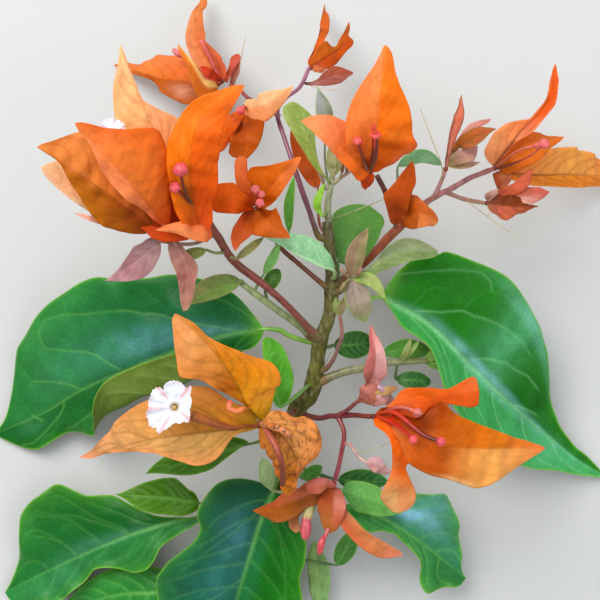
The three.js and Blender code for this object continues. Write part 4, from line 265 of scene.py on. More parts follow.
LONG = {"d_t3": (6.0, 0.6), "d_t2": (1.3, 1.1), "d_t1": (1.5, 0.9), "k_t2": (1.2, 1.0), "k_t3": (2.0, 1.0), "k_t4": (2.4, 1.0), "a_t1": (1.9, 0.7), "a_t2": (2.0, 0.7), "l_t1": (2.0, 0.9), "l_t2": (2.0, 0.8), "m_t1": (4.2, 1.0), "m_t2": (5.5, 0.6), "h_t1": (3.4, 0.6), "b_t1": (4.0, 0.9), "b_t2": (3.0, 0.8), "l_t3": (2.2, 0.8)}

# Axes: centre line in mm and radii from its start to its end.
AXES = {
    'main': {'node': 'stem_main', 'path': [(-8.49, -80.02, 2.18), (-7.12, -58.75, 8.03), (-4.58, -38.1, 14.53), (-1.9, -21.46, 19.53), (1.42, -17.08, 21.03), (2.81, -11.07, 22.53), (3.74, -3.95, 24.03), (5.59, 0.75, 25.03), (6.28, 5.43, 26.03), (6.24, 13.55, 27.53), (5.28, 23.43, 29.03)], 'r': [2.26, 2.22, 2.18, 2.14, 2.06, 2.03, 2.04, 1.68, 1.54, 1.3, 1.06]},
    'side': {'node': 'shoot_top', 'path': [(5.5, 24.55, 29.53), (5.46, 27.89, 31.03), (6.1, 31.84, 33.03), (6.31, 33.4, 33.53)], 'r': [0.83, 0.78, 0.73, 0.59]},
    'sideb': {'node': 'shoot_top', 'path': [(5.88, 31.42, 32.63), (7.69, 32.73, 33.43), (9.28, 33.86, 33.43), (10.65, 34.8, 33.03)], 'r': [0.55, 0.41, 0.36, 0.3]},
    'pa': {'node': 'stalk_upper_left', 'path': [(3.9, -3.9, 24.4), (1.9, -2.1, 26.5), (-0.9, 1.05, 30), (-5.71, 5.88, 34.53), (-10.13, 9.68, 38.03), (-14.47, 12.96, 41.03), (-16.77, 15.54, 43.53), (-18.8, 19.16, 46.03), (-19.98, 20.79, 48.03), (-20.7, 22.17, 50.03)], 'r': [1.25, 0.98, 0.78, 0.77, 0.81, 0.89, 0.92, 0.91, 0.91, 0.9]},
    'sg': {'node': 'shoot_left', 'path': [(3.96, -3.48, 24.13), (1.62, -3.01, 23.93), (-0.95, -0.62, 25.83), (-5.8, 2.89, 29.03), (-11.7, 7.26, 32.03), (-14.38, 9.3, 33.03)], 'r': [0.94, 0.94, 0.89, 0.83, 0.78, 0.64]},
    'pt': {'node': 'stalk_top', 'path': [(5.53, 19.32, 28.33), (3.21, 20.45, 28.63), (1.11, 26.13, 30.03), (-1.19, 32.48, 31.03), (-3.25, 38.73, 30.53), (-4.42, 42.3, 29.53), (-6.29, 49.11, 27.03), (-4.22, 52.66, 25.03), (-0.95, 55.57, 23.03), (1.19, 60.48, 20.53)], 'r': [0.62, 0.62, 0.62, 0.6, 0.57, 0.53, 0.56, 0.49, 0.49, 0.5]},
    'ptb': {'node': 'stalk_top', 'path': [(-5.83, 48.14, 27.33), (-9.86, 51.11, 24.53), (-13.21, 53.05, 22.53), (-15.17, 55.19, 21.03), (-17.57, 56.61, 20.33)], 'r': [0.51, 0.49, 0.47, 0.47, 0.47]},
    'pe': {'node': 'stalk_right', 'path': [(6.25, 8.46, 26.63), (8.08, 9.61, 27.63), (11.01, 11.88, 30.03), (14.03, 14.05, 34.03), (19.16, 19.73, 38.53), (21.65, 22.05, 41.03), (24.09, 24.71, 41.03), (26.62, 26.77, 40.03), (29.44, 28.67, 38.53), (33.25, 30.63, 36.53), (37.69, 33.16, 33.53), (43.37, 35.52, 30.53)], 'r': [0.77, 0.77, 0.81, 0.89, 1.03, 1.02, 0.75, 0.67, 0.65, 0.63, 0.61, 0.57]},
    'ped': {'node': 'stalk_right', 'path': [(20.81, 21.2, 40.43), (19.04, 26.3, 43.53), (17.37, 29.64, 45.53), (15.72, 32.3, 47.53)], 'r': [0.8, 0.66, 0.61, 0.56]},
    'pei': {'node': 'stalk_right', 'path': [(28.99, 28.45, 38.63), (30.39, 31.4, 38.03), (31.58, 34.15, 37.43)], 'r': [0.58, 0.51, 0.47]},
    'pej': {'node': 'stalk_right', 'path': [(31.62, 29.7, 37.03), (36.39, 28.43, 33.03), (41.43, 27.77, 29.63)], 'r': [0.54, 0.5, 0.46]},
    'sr': {'node': 'shoot_right', 'path': [(2.11, -13.95, 21.83), (4.56, -13.44, 22.43), (6.1, -12.69, 23.03), (10.3, -11.23, 24.03), (14.29, -10.52, 24.03), (20.7, -9.16, 23.03), (29.14, -9.02, 21.03)], 'r': [1.02, 1.01, 0.99, 0.94, 0.89, 0.8, 0.62]},
    'sc': {'node': 'stalk_short', 'path': [(2.81, -11.3, 22.53), (4.92, -10.76, 24.03), (6.72, -8.53, 26.53), (8.04, -4.95, 29.03), (8.69, -2.38, 30.53), (8.19, 2, 32.03)], 'r': [0.57, 0.56, 0.51, 0.48, 0.46, 0.41]},
    'sb': {'node': 'stalk_middle', 'path': [(6.25, 7.76, 26.53), (4.25, 9.13, 28.63), (-0.95, 13.46, 30.83), (-5.5, 17.5, 33.03), (-8.38, 22.31, 36.53), (-10.05, 25.63, 40.53)], 'r': [0.58, 0.58, 0.55, 0.55, 0.52, 0.49]},
    'pl': {'node': 'stalk_lower_right', 'path': [(-1.9, -21.21, 19.63), (0.92, -21.78, 24.03), (3.68, -21.94, 27.53), (5.95, -21.25, 30.03), (7.52, -21.12, 31.53), (10.82, -20.62, 34.53), (14.91, -20.61, 38.43)], 'r': [0.67, 0.66, 0.65, 0.6, 0.64, 0.57, 0.56]},
    'pln': {'node': 'stalk_lower_right', 'path': [(7.52, -21.12, 31.53), (9.68, -19.45, 35.03), (11.78, -17.34, 38.83)], 'r': [0.55, 0.5, 0.47]},
    'plm': {'node': 'stalk_lower_right', 'path': [(7.52, -20.89, 31.43), (8.86, -23.77, 32.43), (9.07, -26.26, 32.63), (8.63, -29.04, 32.23), (7.76, -33.27, 31.23), (6.85, -36.62, 30.23)], 'r': [0.57, 0.55, 0.55, 0.55, 0.55, 0.55]},
    'pk': {'node': 'stalk_lower_left', 'path': [(-1.19, -20.25, 19.83), (-3.06, -20.99, 25.03), (-6.21, -22.03, 31.53), (-9.54, -22.92, 35.43)], 'r': [0.67, 0.61, 0.57, 0.54]},
    'rt': {'node': 'rosette', 'path': [(6.26, 6.83, 26.33), (8.29, 7.51, 28.63), (9.58, 8.64, 31.03), (10.82, 10.54, 34.63)], 'r': [0.65, 0.65, 0.64, 0.59]},
}

# Flower tubes of the blooms, from the seat to the head.
TUBES = {
    'a_t1': {'node': 'bloom_front_left', 'path': [(-21.34, 22, 53.03), (-23.31, 25.31, 60.03), (-24.43, 28.1, 66.03), (-24.73, 31.5, 70.53)], 'r': [0.5, 0.5, 0.5, 1.45]},
    'a_t2': {'node': 'bloom_front_left', 'path': [(-21.55, 22, 53.03), (-23.19, 24.76, 59.03), (-24.7, 26.72, 63.03), (-26.21, 28.18, 67.53)], 'r': [0.5, 0.5, 0.45, 1.1]},
    'b_t1': {'node': 'bloom_top_left', 'path': [(-21.43, 56.14, 19.53), (-25.91, 61.11, 17.03), (-31, 65.28, 16.53)], 'r': [0.45, 0.5, 0.75]},
    'b_t2': {'node': 'bloom_top_left', 'path': [(-19.88, 57.47, 21.53), (-22.07, 62.38, 20.53), (-24.47, 67.35, 17.03)], 'r': [0.4, 0.5, 0.5]},
    'd_t1': {'node': 'bloom_top_right', 'path': [(13.45, 33.39, 49.53), (12.12, 36.01, 55.03), (11.01, 38.53, 58.53)], 'r': [0.5, 0.45, 1]},
    'd_t2': {'node': 'bloom_top_right', 'path': [(14.31, 33.39, 49.53), (14.69, 36.31, 56.03), (14.67, 39.49, 60.03)], 'r': [0.5, 0.7, 1.15]},
    'd_t3': {'node': 'bloom_top_right', 'path': [(14.5, 33.77, 50.03), (14.58, 37.13, 58.03), (14.15, 41.19, 62.03)], 'r': [0.45, 0.4, 0.5]},
    'f_t1': {'node': 'bloom_middle', 'path': [(-10.42, 26.12, 43.03), (-10.45, 27.45, 48.53), (-10.44, 29.09, 52.03)], 'r': [0.45, 0.45, 0.95]},
    'f_t2': {'node': 'bloom_middle', 'path': [(-10.2, 26.12, 43.03), (-9.59, 27.02, 48.53), (-9.18, 28.07, 51.53)], 'r': [0.45, 0.45, 0.8]},
    'g_t1': {'node': 'bloom_back_left', 'path': [(-13.73, 50.39, 27.03), (-13.86, 49.19, 32.03), (-14.34, 48.08, 36.53)], 'r': [0.45, 0.5, 1.05]},
    'h_t1': {'node': 'bloom_far_right', 'path': [(44.2, 35.92, 31.03), (47.96, 38.91, 36.03), (53, 40.25, 38.03)], 'r': [0.45, 0.55, 0.75]},
    'h_t2': {'node': 'bloom_far_right', 'path': [(44.43, 35.46, 31.03), (50.52, 37.72, 35.53), (53.8, 40.52, 38.53)], 'r': [0.4, 0.45, 1.15]},
    'k_t1': {'node': 'bloom_lower_left', 'path': [(-10.15, -22.82, 37.53), (-13.08, -22.34, 42.53), (-15.81, -22.53, 45.03), (-20.03, -21.12, 47.33), (-24.3, -19.54, 48.03)], 'r': [0.45, 0.42, 0.6, 0.95, 1.05]},
    'k_t2': {'node': 'bloom_lower_left', 'path': [(-12.24, -18.45, 41.53), (-13.43, -18.42, 44.53), (-14.89, -18.73, 46.03), (-16.39, -18.04, 46.53), (-16.17, -16.84, 46.53)], 'r': [0.3, 0.45, 0.62, 0.6, 0.62]},
    'k_t3': {'node': 'bloom_lower_left', 'path': [(-9.21, -22.9, 39.03), (-7.69, -23.91, 46.53), (-5.69, -27.1, 49.03), (-4.84, -30.39, 48.53), (-4.77, -34.7, 45.53)], 'r': [0.5, 0.65, 0.7, 0.62, 0.5]},
    'l_t1': {'node': 'bloom_lower_right', 'path': [(16.36, -19.65, 40.53), (19.51, -18.95, 46.03), (22.7, -21.23, 49.53), (25.52, -23.39, 51.53), (29.2, -24.72, 53.03)], 'r': [0.45, 0.45, 0.5, 0.6, 1]},
    'l_t2': {'node': 'bloom_lower_right', 'path': [(16.36, -20.31, 40.53), (20.31, -21.9, 47.03), (23.47, -24.56, 50.53)], 'r': [0.45, 0.5, 0.95]},
    'l_t3': {'node': 'bloom_lower_right', 'path': [(16.8, -19.65, 40.53), (20.63, -17.66, 48.53), (24.45, -18.69, 51.53)], 'r': [0.45, 0.55, 1]},
    'm_t1': {'node': 'bloom_bottom', 'path': [(5.47, -39.11, 30.53), (2.03, -40.95, 30.53), (0.65, -44.23, 31.53), (0.3, -48.57, 31.53)], 'r': [0.5, 0.95, 1.3, 1.25]},
    'm_t2': {'node': 'bloom_bottom', 'path': [(6.41, -43.33, 30.03), (5.22, -47.66, 31.53), (4.06, -49.53, 32.53), (3.49, -52.04, 32.53)], 'r': [0.4, 0.6, 0.85, 0.8]},
    'f_t3': {'node': 'bloom_middle', 'path': [(-10.2, 25.9, 43.03), (-9.6, 25.54, 48.03), (-9.5, 26.25, 51.53)], 'r': [0.45, 0.45, 0.95]},
    'k_t4': {'node': 'bloom_lower_left', 'path': [(-9.67, -22.28, 38.53), (-7.04, -22.06, 46.53), (-4.41, -22.84, 48.53), (-2.68, -24.13, 48.53)], 'r': [0.5, 0.7, 0.8, 0.6]},
}

# Blades: midrib in mm from base to tip, half widths (greatest, rise, fall), fold and curl in degrees of the
# left and right halves, and q: how much wider or narrower the outline is at places along it.
BLADES = {
    'left_big': {'node': 'leaf_left', 'kind': 'leaf', 'spine': [(-9.4, -1.37, 24.03), (-21.26, -3.54, 22.03), (-37.66, -9.21, 17.03), (-54.2, -16.39, 10.03), (-64.59, -22.52, 4.53), (-78.23, -28.41, 0.63)],
        'left': [20.66, 0.75, 0.95], 'right': [23.65, 0.9, 1], 'fold': [[-14, -16, -14, -8, 0, 0, 0], [4, 6, 6, 2, 0]], 'curl': [[50, 150, 182, 182, 170, 60, 0, 0, 0], [-6, -10, -16, -14, 0]], 'stalk': [(3.74, -4.42, 24.03), (1.17, -4.49, 22.03), (-3.31, -3.04, 23.03), (-5.88, -1.61, 24.03), (-9.17, -1.37, 24.03)], 'stalk_r': 0.61,
        'q': [[(0.1, 1), (0.3, 0.92), (0.5, 0.86), (0.62, 0.78), (0.7, 0.62), (0.78, 0.52), (0.84, 0.72), (0.88, 0.98), (0.94, 1.15)], [(0.06, 1.23), (0.1, 1.12), (0.22, 0.99), (0.29, 0.89), (0.39, 0.92), (0.44, 1), (0.51, 1.02), (0.59, 1.02), (0.64, 1.05), (0.7, 1.05), (0.83, 1.17), (0.89, 0.94), (0.95, 0.45)]]},
    'right_big': {'node': 'leaf_right', 'kind': 'leaf', 'spine': [(17.62, 6.13, 27.03), (23.91, 2.87, 27.03), (30.38, -1.35, 25.03), (44.73, -15.14, 18.03), (65.61, -32.57, 6.03), (77.84, -40.02, 0.63)],
        'left': [20.39, 0.5, 1.7], 'right': [10.79, 1.4, 1.3], 'fold': [2, 12], 'curl': [-8, 8], 'stalk': [(6.04, 4.73, 25.93), (9.52, 4.73, 26.53), (12.98, 5.43, 27.03), (17.17, 6.13, 27.03)], 'stalk_r': 0.61,
        'q': [[(0.05, 0.95), (0.07, 0.91), (0.15, 0.91), (0.23, 1.02), (0.32, 1.05), (0.43, 1.12), (0.53, 1.12), (0.63, 0.84), (0.72, 0.62), (0.83, 0.72), (0.94, 1.9)], [(0.03, 1.9), (0.08, 1.9), (0.15, 0.99), (0.2, 0.73), (0.26, 0.79), (0.36, 1.03), (0.54, 1.11), (0.73, 1.08), (0.81, 0.86), (0.88, 0.84)]]},
    'b1': {'node': 'leaf_low_left', 'kind': 'leaf', 'spine': [(-25.38, -47.3, 11.53), (-36.84, -49.99, 11.53), (-49.68, -55.1, 9.03), (-62.99, -61.59, 5.03), (-75.41, -68.27, 0.83)],
        'left': [7.13, 0.4, 0.4], 'right': [16.93, 1.8, 1.2], 'fold': [6, 3], 'curl': [4, -8], 'stalk': [(-5.33, -43.17, 13.03), (-10.28, -45.07, 10.23), (-15.64, -45.98, 10.63), (-25.12, -47.3, 11.53)], 'stalk_r': 0.56,
        'q': [[(0.09, 0.64), (0.2, 0.85), (0.24, 1.25), (0.3, 1.42), (0.37, 1.32), (0.43, 0.91), (0.49, 0.69), (0.54, 0.63), (0.62, 0.93), (0.76, 1.29)], [(0.17, 0.51), (0.26, 0.74), (0.32, 1), (0.43, 0.89), (0.47, 0.97), (0.52, 1.12), (0.55, 1.12), (0.62, 1.04), (0.72, 1.09), (0.77, 1.05), (0.78, 0.9), (0.85, 0.69), (0.95, 0.45)]]},
    'b2': {'node': 'leaf_low_left_under', 'kind': 'leaf', 'spine': [(-28.11, -65.66, 8.03), (-37.35, -66.88, 7.03), (-48.05, -68.31, 5.03), (-61.02, -73.3, 0.83)],
        'left': [6.72, 0.6, 0.8], 'right': [6.72, 0.6, 0.8], 'curl': [-8, -8], 'stalk': [(-7.54, -66.11, 6.03), (-13.43, -66.86, 4.83), (-19.59, -66.64, 5.83), (-27.61, -65.66, 8.03)], 'stalk_r': 0.51},
    'b3': {'node': 'leaf_low_middle', 'kind': 'leaf', 'spine': [(-6.9, -39.24, 20.03), (-10.27, -47.1, 18.53), (-14.51, -61.08, 14.53), (-16.29, -67.34, 12.53), (-19.58, -81.5, 6.03)],
        'left': [14.75, 0.6, 0.5], 'right': [18.43, 0.4, 0.3], 'fold': [6, 2], 'curl': [-6, -12], 'stalk': [(-3.6, -31.91, 15.83), (-5.49, -34.62, 19.03), (-6.9, -39, 20.03)], 'stalk_r': 0.56,
        'q': [[(0.05, 0.86), (0.17, 1.01), (0.22, 1.06), (0.3, 1.01), (0.42, 0.91), (0.48, 0.94), (0.55, 1.05), (0.78, 1.13), (0.93, 0.88)], [(0.1, 1.11), (0.17, 1.04), (0.25, 0.97), (0.34, 0.77), (0.42, 0.78), (0.51, 0.9), (0.59, 1.03), (0.67, 1.13), (0.75, 1.15), (0.92, 1.14)]]},
    'b3b': {'node': 'leaf_small_pale', 'kind': 'leaf', 'spine': [(-7.75, -39.13, 24.03), (-8.89, -35.18, 25.53), (-9.81, -31.39, 26.03)],
        'left': [1.87, 0.7, 0.8], 'right': [2.1, 0.7, 0.8], 'curl': [-30, -30], 'stalk': [(-4.71, -38.61, 14.33), (-4.05, -39.16, 19.03), (-5.44, -39.81, 22.63), (-7.53, -39.38, 24.03)], 'stalk_r': 0.37},
    'b4': {'node': 'leaf_olive_left', 'kind': 'leaf', 'spine': [(-25.14, -43.66, 14.53), (-34.46, -41.71, 17.83), (-45.49, -41.27, 16.03)],
        'left': [4.35, 0.4, 0.9], 'right': [4.67, 1, 1.5], 'fold': [8, 8], 'curl': [-10, -10], 'stalk': [(-5.08, -41.63, 13.53), (-10.19, -42.41, 13.23), (-15.51, -43.07, 13.63), (-24.9, -43.66, 14.53)], 'stalk_r': 0.44,
        'q': [[(0.31, 0.9), (0.54, 1.11), (0.76, 1.07), (0.93, 0.71)], [(0.07, 1.17), (0.18, 0.84), (0.34, 1.09), (0.57, 0.96), (0.78, 0.96)]]},
    'b5': {'node': 'leaf_olive_under', 'kind': 'leaf', 'spine': [(-12.61, -28.13, 26.03), (-24.33, -31.52, 25.03), (-37.43, -35.78, 21.03)],
        'left': [3.52, 1.8, 1.8], 'right': [3.99, 0.6, 0.8], 'curl': [-8, -8], 'stalk': [(-3, -26.42, 17.63), (-6.15, -26.86, 22.53), (-9.85, -27.54, 25.03), (-12.61, -28.13, 26.03)], 'stalk_r': 0.47,
        'q': [[(0.21, 0.84), (0.38, 1.06), (0.52, 0.99), (0.81, 0.94)], []]},
    'b6': {'node': 'leaf_low_right', 'kind': 'leaf', 'spine': [(8.64, -43.52, 17.03), (18.79, -47.04, 16.03), (27.97, -53.13, 13.03), (40.27, -63.62, 6.03)],
        'left': [11.79, 1.8, 1.7], 'right': [6.16, 1, 0.3], 'fold': [4, 8], 'curl': [-8, 12], 'stalk': [(-5.08, -42.41, 13.23), (-1.44, -43.62, 13.23), (2.67, -43.62, 14.83), (8.64, -43.52, 17.03)], 'stalk_r': 0.51,
        'q': [[(0.13, 1.22), (0.26, 0.87), (0.37, 0.9), (0.45, 0.99), (0.49, 1.12), (0.62, 1.01), (0.76, 0.98), (0.86, 1.02)], [(0.18, 1.9), (0.24, 1.56), (0.28, 0.99), (0.38, 0.52), (0.51, 0.5), (0.62, 0.65), (0.72, 1.19), (0.8, 1.56), (0.92, 0.83)]]},
    'b7': {'node': 'leaf_light_right', 'kind': 'leaf', 'spine': [(8.94, -39.28, 23.03), (15.99, -41.41, 23.03), (23.29, -45.18, 20.03)],
        'left': [3.18, 0.3, 0.7], 'right': [3.89, 0.7, 1], 'fold': [6, 4], 'curl': [-10, -10], 'stalk': [(-4.09, -35.62, 15.03), (-0.95, -36.84, 18.53), (3.31, -37.95, 20.83), (8.94, -39.28, 23.03)], 'stalk_r': 0.44,
        'q': [[(0.17, 0.99), (0.46, 1.09), (0.57, 0.92)], [(0.07, 0.78), (0.21, 1.06), (0.53, 0.99), (0.83, 1.07)]]},
    'b7b': {'node': 'leaf_dark_right', 'kind': 'leaf', 'spine': [(8.07, -37.34, 20.03), (13.79, -37.59, 20.03), (20.1, -38.09, 18.03)],
        'left': [2.86, 0.6, 0.7], 'right': [2.38, 0.6, 0.7], 'stalk': [(-3.6, -33.11, 15.73), (-0.47, -34.88, 17.03), (3.34, -36.1, 18.63), (8.07, -37.34, 20.03)], 'stalk_r': 0.42},
    'b8': {'node': 'leaf_pale_low', 'kind': 'leaf', 'spine': [(4.01, -71.08, 6.03), (3.75, -63.25, 6.63), (2.52, -54.24, 7.03)],
        'left': [2.73, 0.6, 0.7], 'right': [2.73, 0.6, 0.7], 'curl': [-14, -14], 'stalk': [(-7.69, -69.31, 5.03), (-2.21, -71.27, 5.23), (4.01, -71.33, 6.03)], 'stalk_r': 0.42},
    'b8c': {'node': 'leaf_small_low', 'kind': 'leaf', 'spine': [(-0.24, -36.59, 22.03), (1.86, -35.28, 23.03), (4.24, -33.7, 22.53)],
        'left': [1.65, 0.6, 0.7], 'right': [1.65, 0.6, 0.7], 'stalk': [(-3.35, -30.38, 16.53), (-1.67, -33.06, 20.03), (-0.24, -36.59, 22.03)], 'stalk_r': 0.37},
    'b8b': {'node': 'leaf_low_edge', 'kind': 'leaf', 'spine': [(8.13, -59.66, 9.63), (10.3, -55.53, 10.63), (12.8, -50.84, 9.53)],
        'left': [2.45, 0.6, 0.7], 'right': [2.45, 0.6, 0.7], 'stalk': [(-7.12, -58.75, 8.03), (-0.21, -58.52, 9.23), (8.13, -59.66, 9.63)], 'stalk_r': 0.4},
    'l5': {'node': 'leaf_bright_middle', 'kind': 'leaf', 'spine': [(-5.55, -19.18, 30.03), (-7.4, -10.67, 30.03), (-8.57, -3.1, 29.03)],
        'left': [1.81, 0.3, 0.3], 'right': [4.55, 0.5, 0.6], 'fold': [10, 4], 'curl': [6, -14], 'stalk': [(2.11, -13.95, 21.83), (-0.26, -15.51, 26.53), (-3.25, -17.83, 29.63), (-5.33, -19.18, 30.03)], 'stalk_r': 0.47,
        'q': [[(0.34, 0.93), (0.71, 0.96), (0.89, 1.07)], [(0.12, 0.9), (0.37, 1.04), (0.61, 0.98), (0.89, 1.06)]]},
    'l3': {'node': 'leaf_mint', 'kind': 'leaf', 'spine': [(6.79, 12.04, 33.03), (-0.95, 15.54, 37.03), (-9.42, 19.68, 39.53)],
        'left': [0.65, 0.3, 2], 'right': [4.53, 0.6, 0.8], 'fold': [4, 6], 'curl': [-8, -8], 'stalk': [(6.37, 10.31, 27.13), (6.96, 10.7, 31.03), (6.79, 12.04, 33.03)], 'stalk_r': 0.51,
        'q': [[(0.17, 0.51), (0.42, 1.51), (0.67, 0.45)], [(0.09, 0.87), (0.3, 1.02), (0.56, 1.02), (0.71, 0.98)]]},
    'r1': {'node': 'rosette', 'kind': 'leaf', 'spine': [(10.8, 10.52, 34.93), (11.8, 16.18, 38.03), (14.12, 21.38, 41.03)],
        'left': [2.24, 0.6, 0.9], 'right': [2.02, 0.6, 0.9], 'fold': [10, 10]},
    'r2': {'node': 'rosette', 'kind': 'leaf', 'spine': [(10.8, 10.52, 34.93), (21.71, 15.86, 34.53), (30.26, 16.52, 35.03)],
        'left': [2.94, 1.8, 0.9], 'right': [2.19, 0.3, 0.3], 'fold': [5, 5], 'curl': [-6, -6],
        'q': [[(0.27, 0.45), (0.46, 0.99), (0.62, 1.13), (0.76, 1.01), (0.93, 0.86)], [(0.25, 0.91), (0.49, 1.02), (0.79, 1.03)]]},
    'r3': {'node': 'rosette', 'kind': 'leaf', 'spine': [(10.8, 10.52, 34.93), (12.32, 4.75, 36.53), (13.7, 0.47, 36.03)],
        'left': [2.93, 0.6, 0.7], 'right': [2.93, 0.6, 0.7], 'fold': [5, 5], 'curl': [-8, -8]},
    'r4': {'node': 'rosette', 'kind': 'leaf', 'spine': [(10.8, 10.52, 34.93), (15.03, 9.71, 36.53), (18.21, 5.88, 36.03)],
        'left': [1.58, 0.6, 0.8], 'right': [1.35, 0.6, 0.8], 'fold': [10, 10]},
    'round': {'node': 'leaf_round_back', 'kind': 'leaf', 'spine': [(7.97, 14.36, 23.53), (11.29, 20.73, 23.03), (15.69, 27.77, 20.03)],
        'left': [6.1, 1.1, 0.8], 'right': [6.17, 0.3, 0.3], 'fold': [3, 3], 'curl': [-8, -8], 'stalk': [(6.26, 7.06, 26.23), (8.21, 9.2, 23.53), (7.97, 14.12, 23.53)], 'stalk_r': 0.47,
        'q': [[(0.18, 1.05), (0.43, 0.94), (0.57, 1.05), (0.78, 0.99)], [(0.18, 1.08), (0.5, 0.95), (0.77, 0.94), (0.94, 1.14)]]},
    'yn': {'node': 'shoot_top', 'kind': 'leaf', 'spine': [(4.06, 24.59, 32.53), (2.9, 27.45, 34.03), (4.71, 31.95, 34.53)],
        'left': [0.91, 0.6, 0.8], 'right': [0.91, 0.6, 0.8], 'stalk': [(5.49, 25.66, 30.23), (4.06, 24.59, 32.53)], 'stalk_r': 0.33},
    'kl': {'node': 'leaf_olive_top', 'kind': 'leaf', 'spine': [(4.68, 33.2, 35.53), (0.85, 41.38, 37.03), (-3.21, 50.07, 36.03)],
        'left': [2.74, 0.8, 0.3], 'right': [2.68, 1.8, 0.6], 'fold': [6, 6], 'curl': [-10, -10], 'stalk': [(6.1, 31.83, 33.13), (5.5, 32.34, 35.03), (4.68, 33.2, 35.53)], 'stalk_r': 0.3,
        'q': [[(0.09, 1.3), (0.34, 0.95), (0.69, 0.92), (0.89, 1.1)], [(0.25, 0.45), (0.51, 0.96), (0.73, 1.17), (0.9, 0.85)]]},
    'tip1': {'node': 'shoot_top', 'kind': 'leaf', 'spine': [(6.31, 33.83, 33.83), (6.04, 36.99, 36.03), (5.58, 40.09, 36.53)],
        'left': [1.13, 0.6, 0.8], 'right': [1.13, 0.6, 0.8], 'stalk': [(6.1, 32.06, 33.13), (6.31, 33.83, 33.83)], 'stalk_r': 0.51},
    'tip2': {'node': 'shoot_top', 'kind': 'leaf', 'spine': [(6.54, 33.83, 33.83), (7.62, 36.31, 36.03), (8.72, 39.19, 36.53)],
        'left': [1.13, 0.6, 0.8], 'right': [1.13, 0.6, 0.8], 'stalk': [(6.1, 32.06, 33.13), (6.54, 33.83, 33.83)], 'stalk_r': 0.51},
    'spike': {'node': 'leaf_lilac_top', 'kind': 'leaf', 'spine': [(5, 46.23, 31.03), (4.76, 48.46, 31.53), (2.96, 54.66, 30.03)],
        'left': [2.06, 0.5, 1.3], 'right': [1.83, 0.5, 1.3], 'fold': [10, 10], 'stalk': [(5.89, 30.11, 32.13), (4.78, 37.53, 31.03), (5, 46.23, 31.03)], 'stalk_r': 0.28},
    't1': {'node': 'leaf_narrow', 'kind': 'leaf', 'spine': [(-3.44, 20.77, 36.03), (-3.43, 26.77, 37.03), (-2.31, 33.44, 35.53)],
        'left': [1.13, 0.6, 0.8], 'right': [1.13, 0.6, 0.8], 'fold': [10, 0], 'stalk': [(6.24, 14.25, 27.63), (2.71, 14.36, 31.63), (-0.95, 17.25, 33.43), (-3.44, 20.54, 36.03)], 'stalk_r': 0.3},
    'gg': {'node': 'leaf_grey_right', 'kind': 'leaf', 'spine': [(21.03, 35.48, 37.53), (26.41, 37.27, 37.53), (31.11, 35.91, 35.53)],
        'left': [2.02, 0.6, 0.7], 'right': [1.12, 0.6, 0.7], 'stalk': [(25.23, 25.62, 40.63), (22.32, 28.7, 38.23), (21.03, 32.34, 37.53), (21.03, 35.27, 37.53)], 'stalk_r': 0.35},
    'lb1': {'node': 'leaf_brown_left', 'kind': 'leaf', 'spine': [(-14.94, 14.39, 45.03), (-11.88, 16.79, 45.03), (-8.89, 19.32, 42.53)],
        'left': [0.88, 0.6, 0.8], 'right': [0.99, 0.6, 0.8], 'stalk': [(-16.56, 15.11, 43.33), (-14.94, 14.39, 45.03)], 'stalk_r': 0.35},
    'lb2': {'node': 'leaf_mint_small', 'kind': 'leaf', 'spine': [(-9.12, 11.32, 34.53), (-7.04, 14.91, 36.03), (-5.45, 18.68, 37.03)],
        'left': [1.13, 0.6, 0.8], 'right': [1.13, 0.6, 0.8], 'stalk': [(-11.46, 7.14, 31.93), (-10.29, 9.54, 33.03), (-9.12, 11.32, 34.53)], 'stalk_r': 0.35},
    'lb3': {'node': 'leaf_dark_small', 'kind': 'leaf', 'spine': [(-8.96, 7.72, 31.53), (-7.34, 9.99, 32.53), (-5.75, 12.52, 32.03)],
        'left': [1.83, 0.6, 0.6], 'right': [1.83, 0.6, 0.6], 'stalk': [(-8.31, 4.74, 30.23), (-8.96, 7.72, 31.53)], 'stalk_r': 0.35},
    'lm1': {'node': 'leaf_dark_middle', 'kind': 'leaf', 'spine': [(7.12, -5.26, 20.03), (11.45, -5.3, 19.03), (16.81, -4.65, 17.03)],
        'left': [3.34, 0.6, 0.6], 'right': [3.34, 0.6, 0.6], 'stalk': [(3.28, -6.08, 23.53), (5.67, -5.68, 21.43), (7.37, -5.26, 20.03)], 'stalk_r': 0.47},
    'gl': {'node': 'leaf_green_right', 'kind': 'leaf', 'spine': [(18.74, -7.15, 20.53), (23.92, -6.17, 21.03), (30.23, -6.95, 19.53)],
        'left': [2.37, 0.6, 0.6], 'right': [2.14, 0.6, 0.6], 'stalk': [(18.81, -9.5, 23.23), (18.74, -7.15, 20.53)], 'stalk_r': 0.37},
    'lm2': {'node': 'leaf_dark_lower', 'kind': 'leaf', 'spine': [(21.9, -13.38, 19.53), (25.71, -13.61, 19.53), (30.39, -14.18, 18.03)],
        'left': [2.15, 0.6, 0.6], 'right': [2.15, 0.6, 0.6], 'stalk': [(22.14, -9.12, 22.73), (21.82, -11.64, 20.63), (21.9, -13.38, 19.53)], 'stalk_r': 0.37},
    'lg1': {'node': 'leaf_young_left', 'kind': 'leaf', 'spine': [(-14.32, 9.73, 34.53), (-22.25, 7.02, 34.53), (-26.77, 4.52, 32.03)],
        'left': [2.04, 0.6, 0.8], 'right': [3.18, 0.6, 0.8], 'fold': [8, 8], 'curl': [-8, -8], 'stalk': [(-13.94, 9.07, 32.93), (-14.32, 9.73, 34.53)], 'stalk_r': 0.47},
    'nb1': {'node': 'leaf_young_rose', 'kind': 'leaf', 'spine': [(-28, 18.32, 50.03), (-25.29, 11.89, 49.03), (-26.42, 3.03, 46.03)],
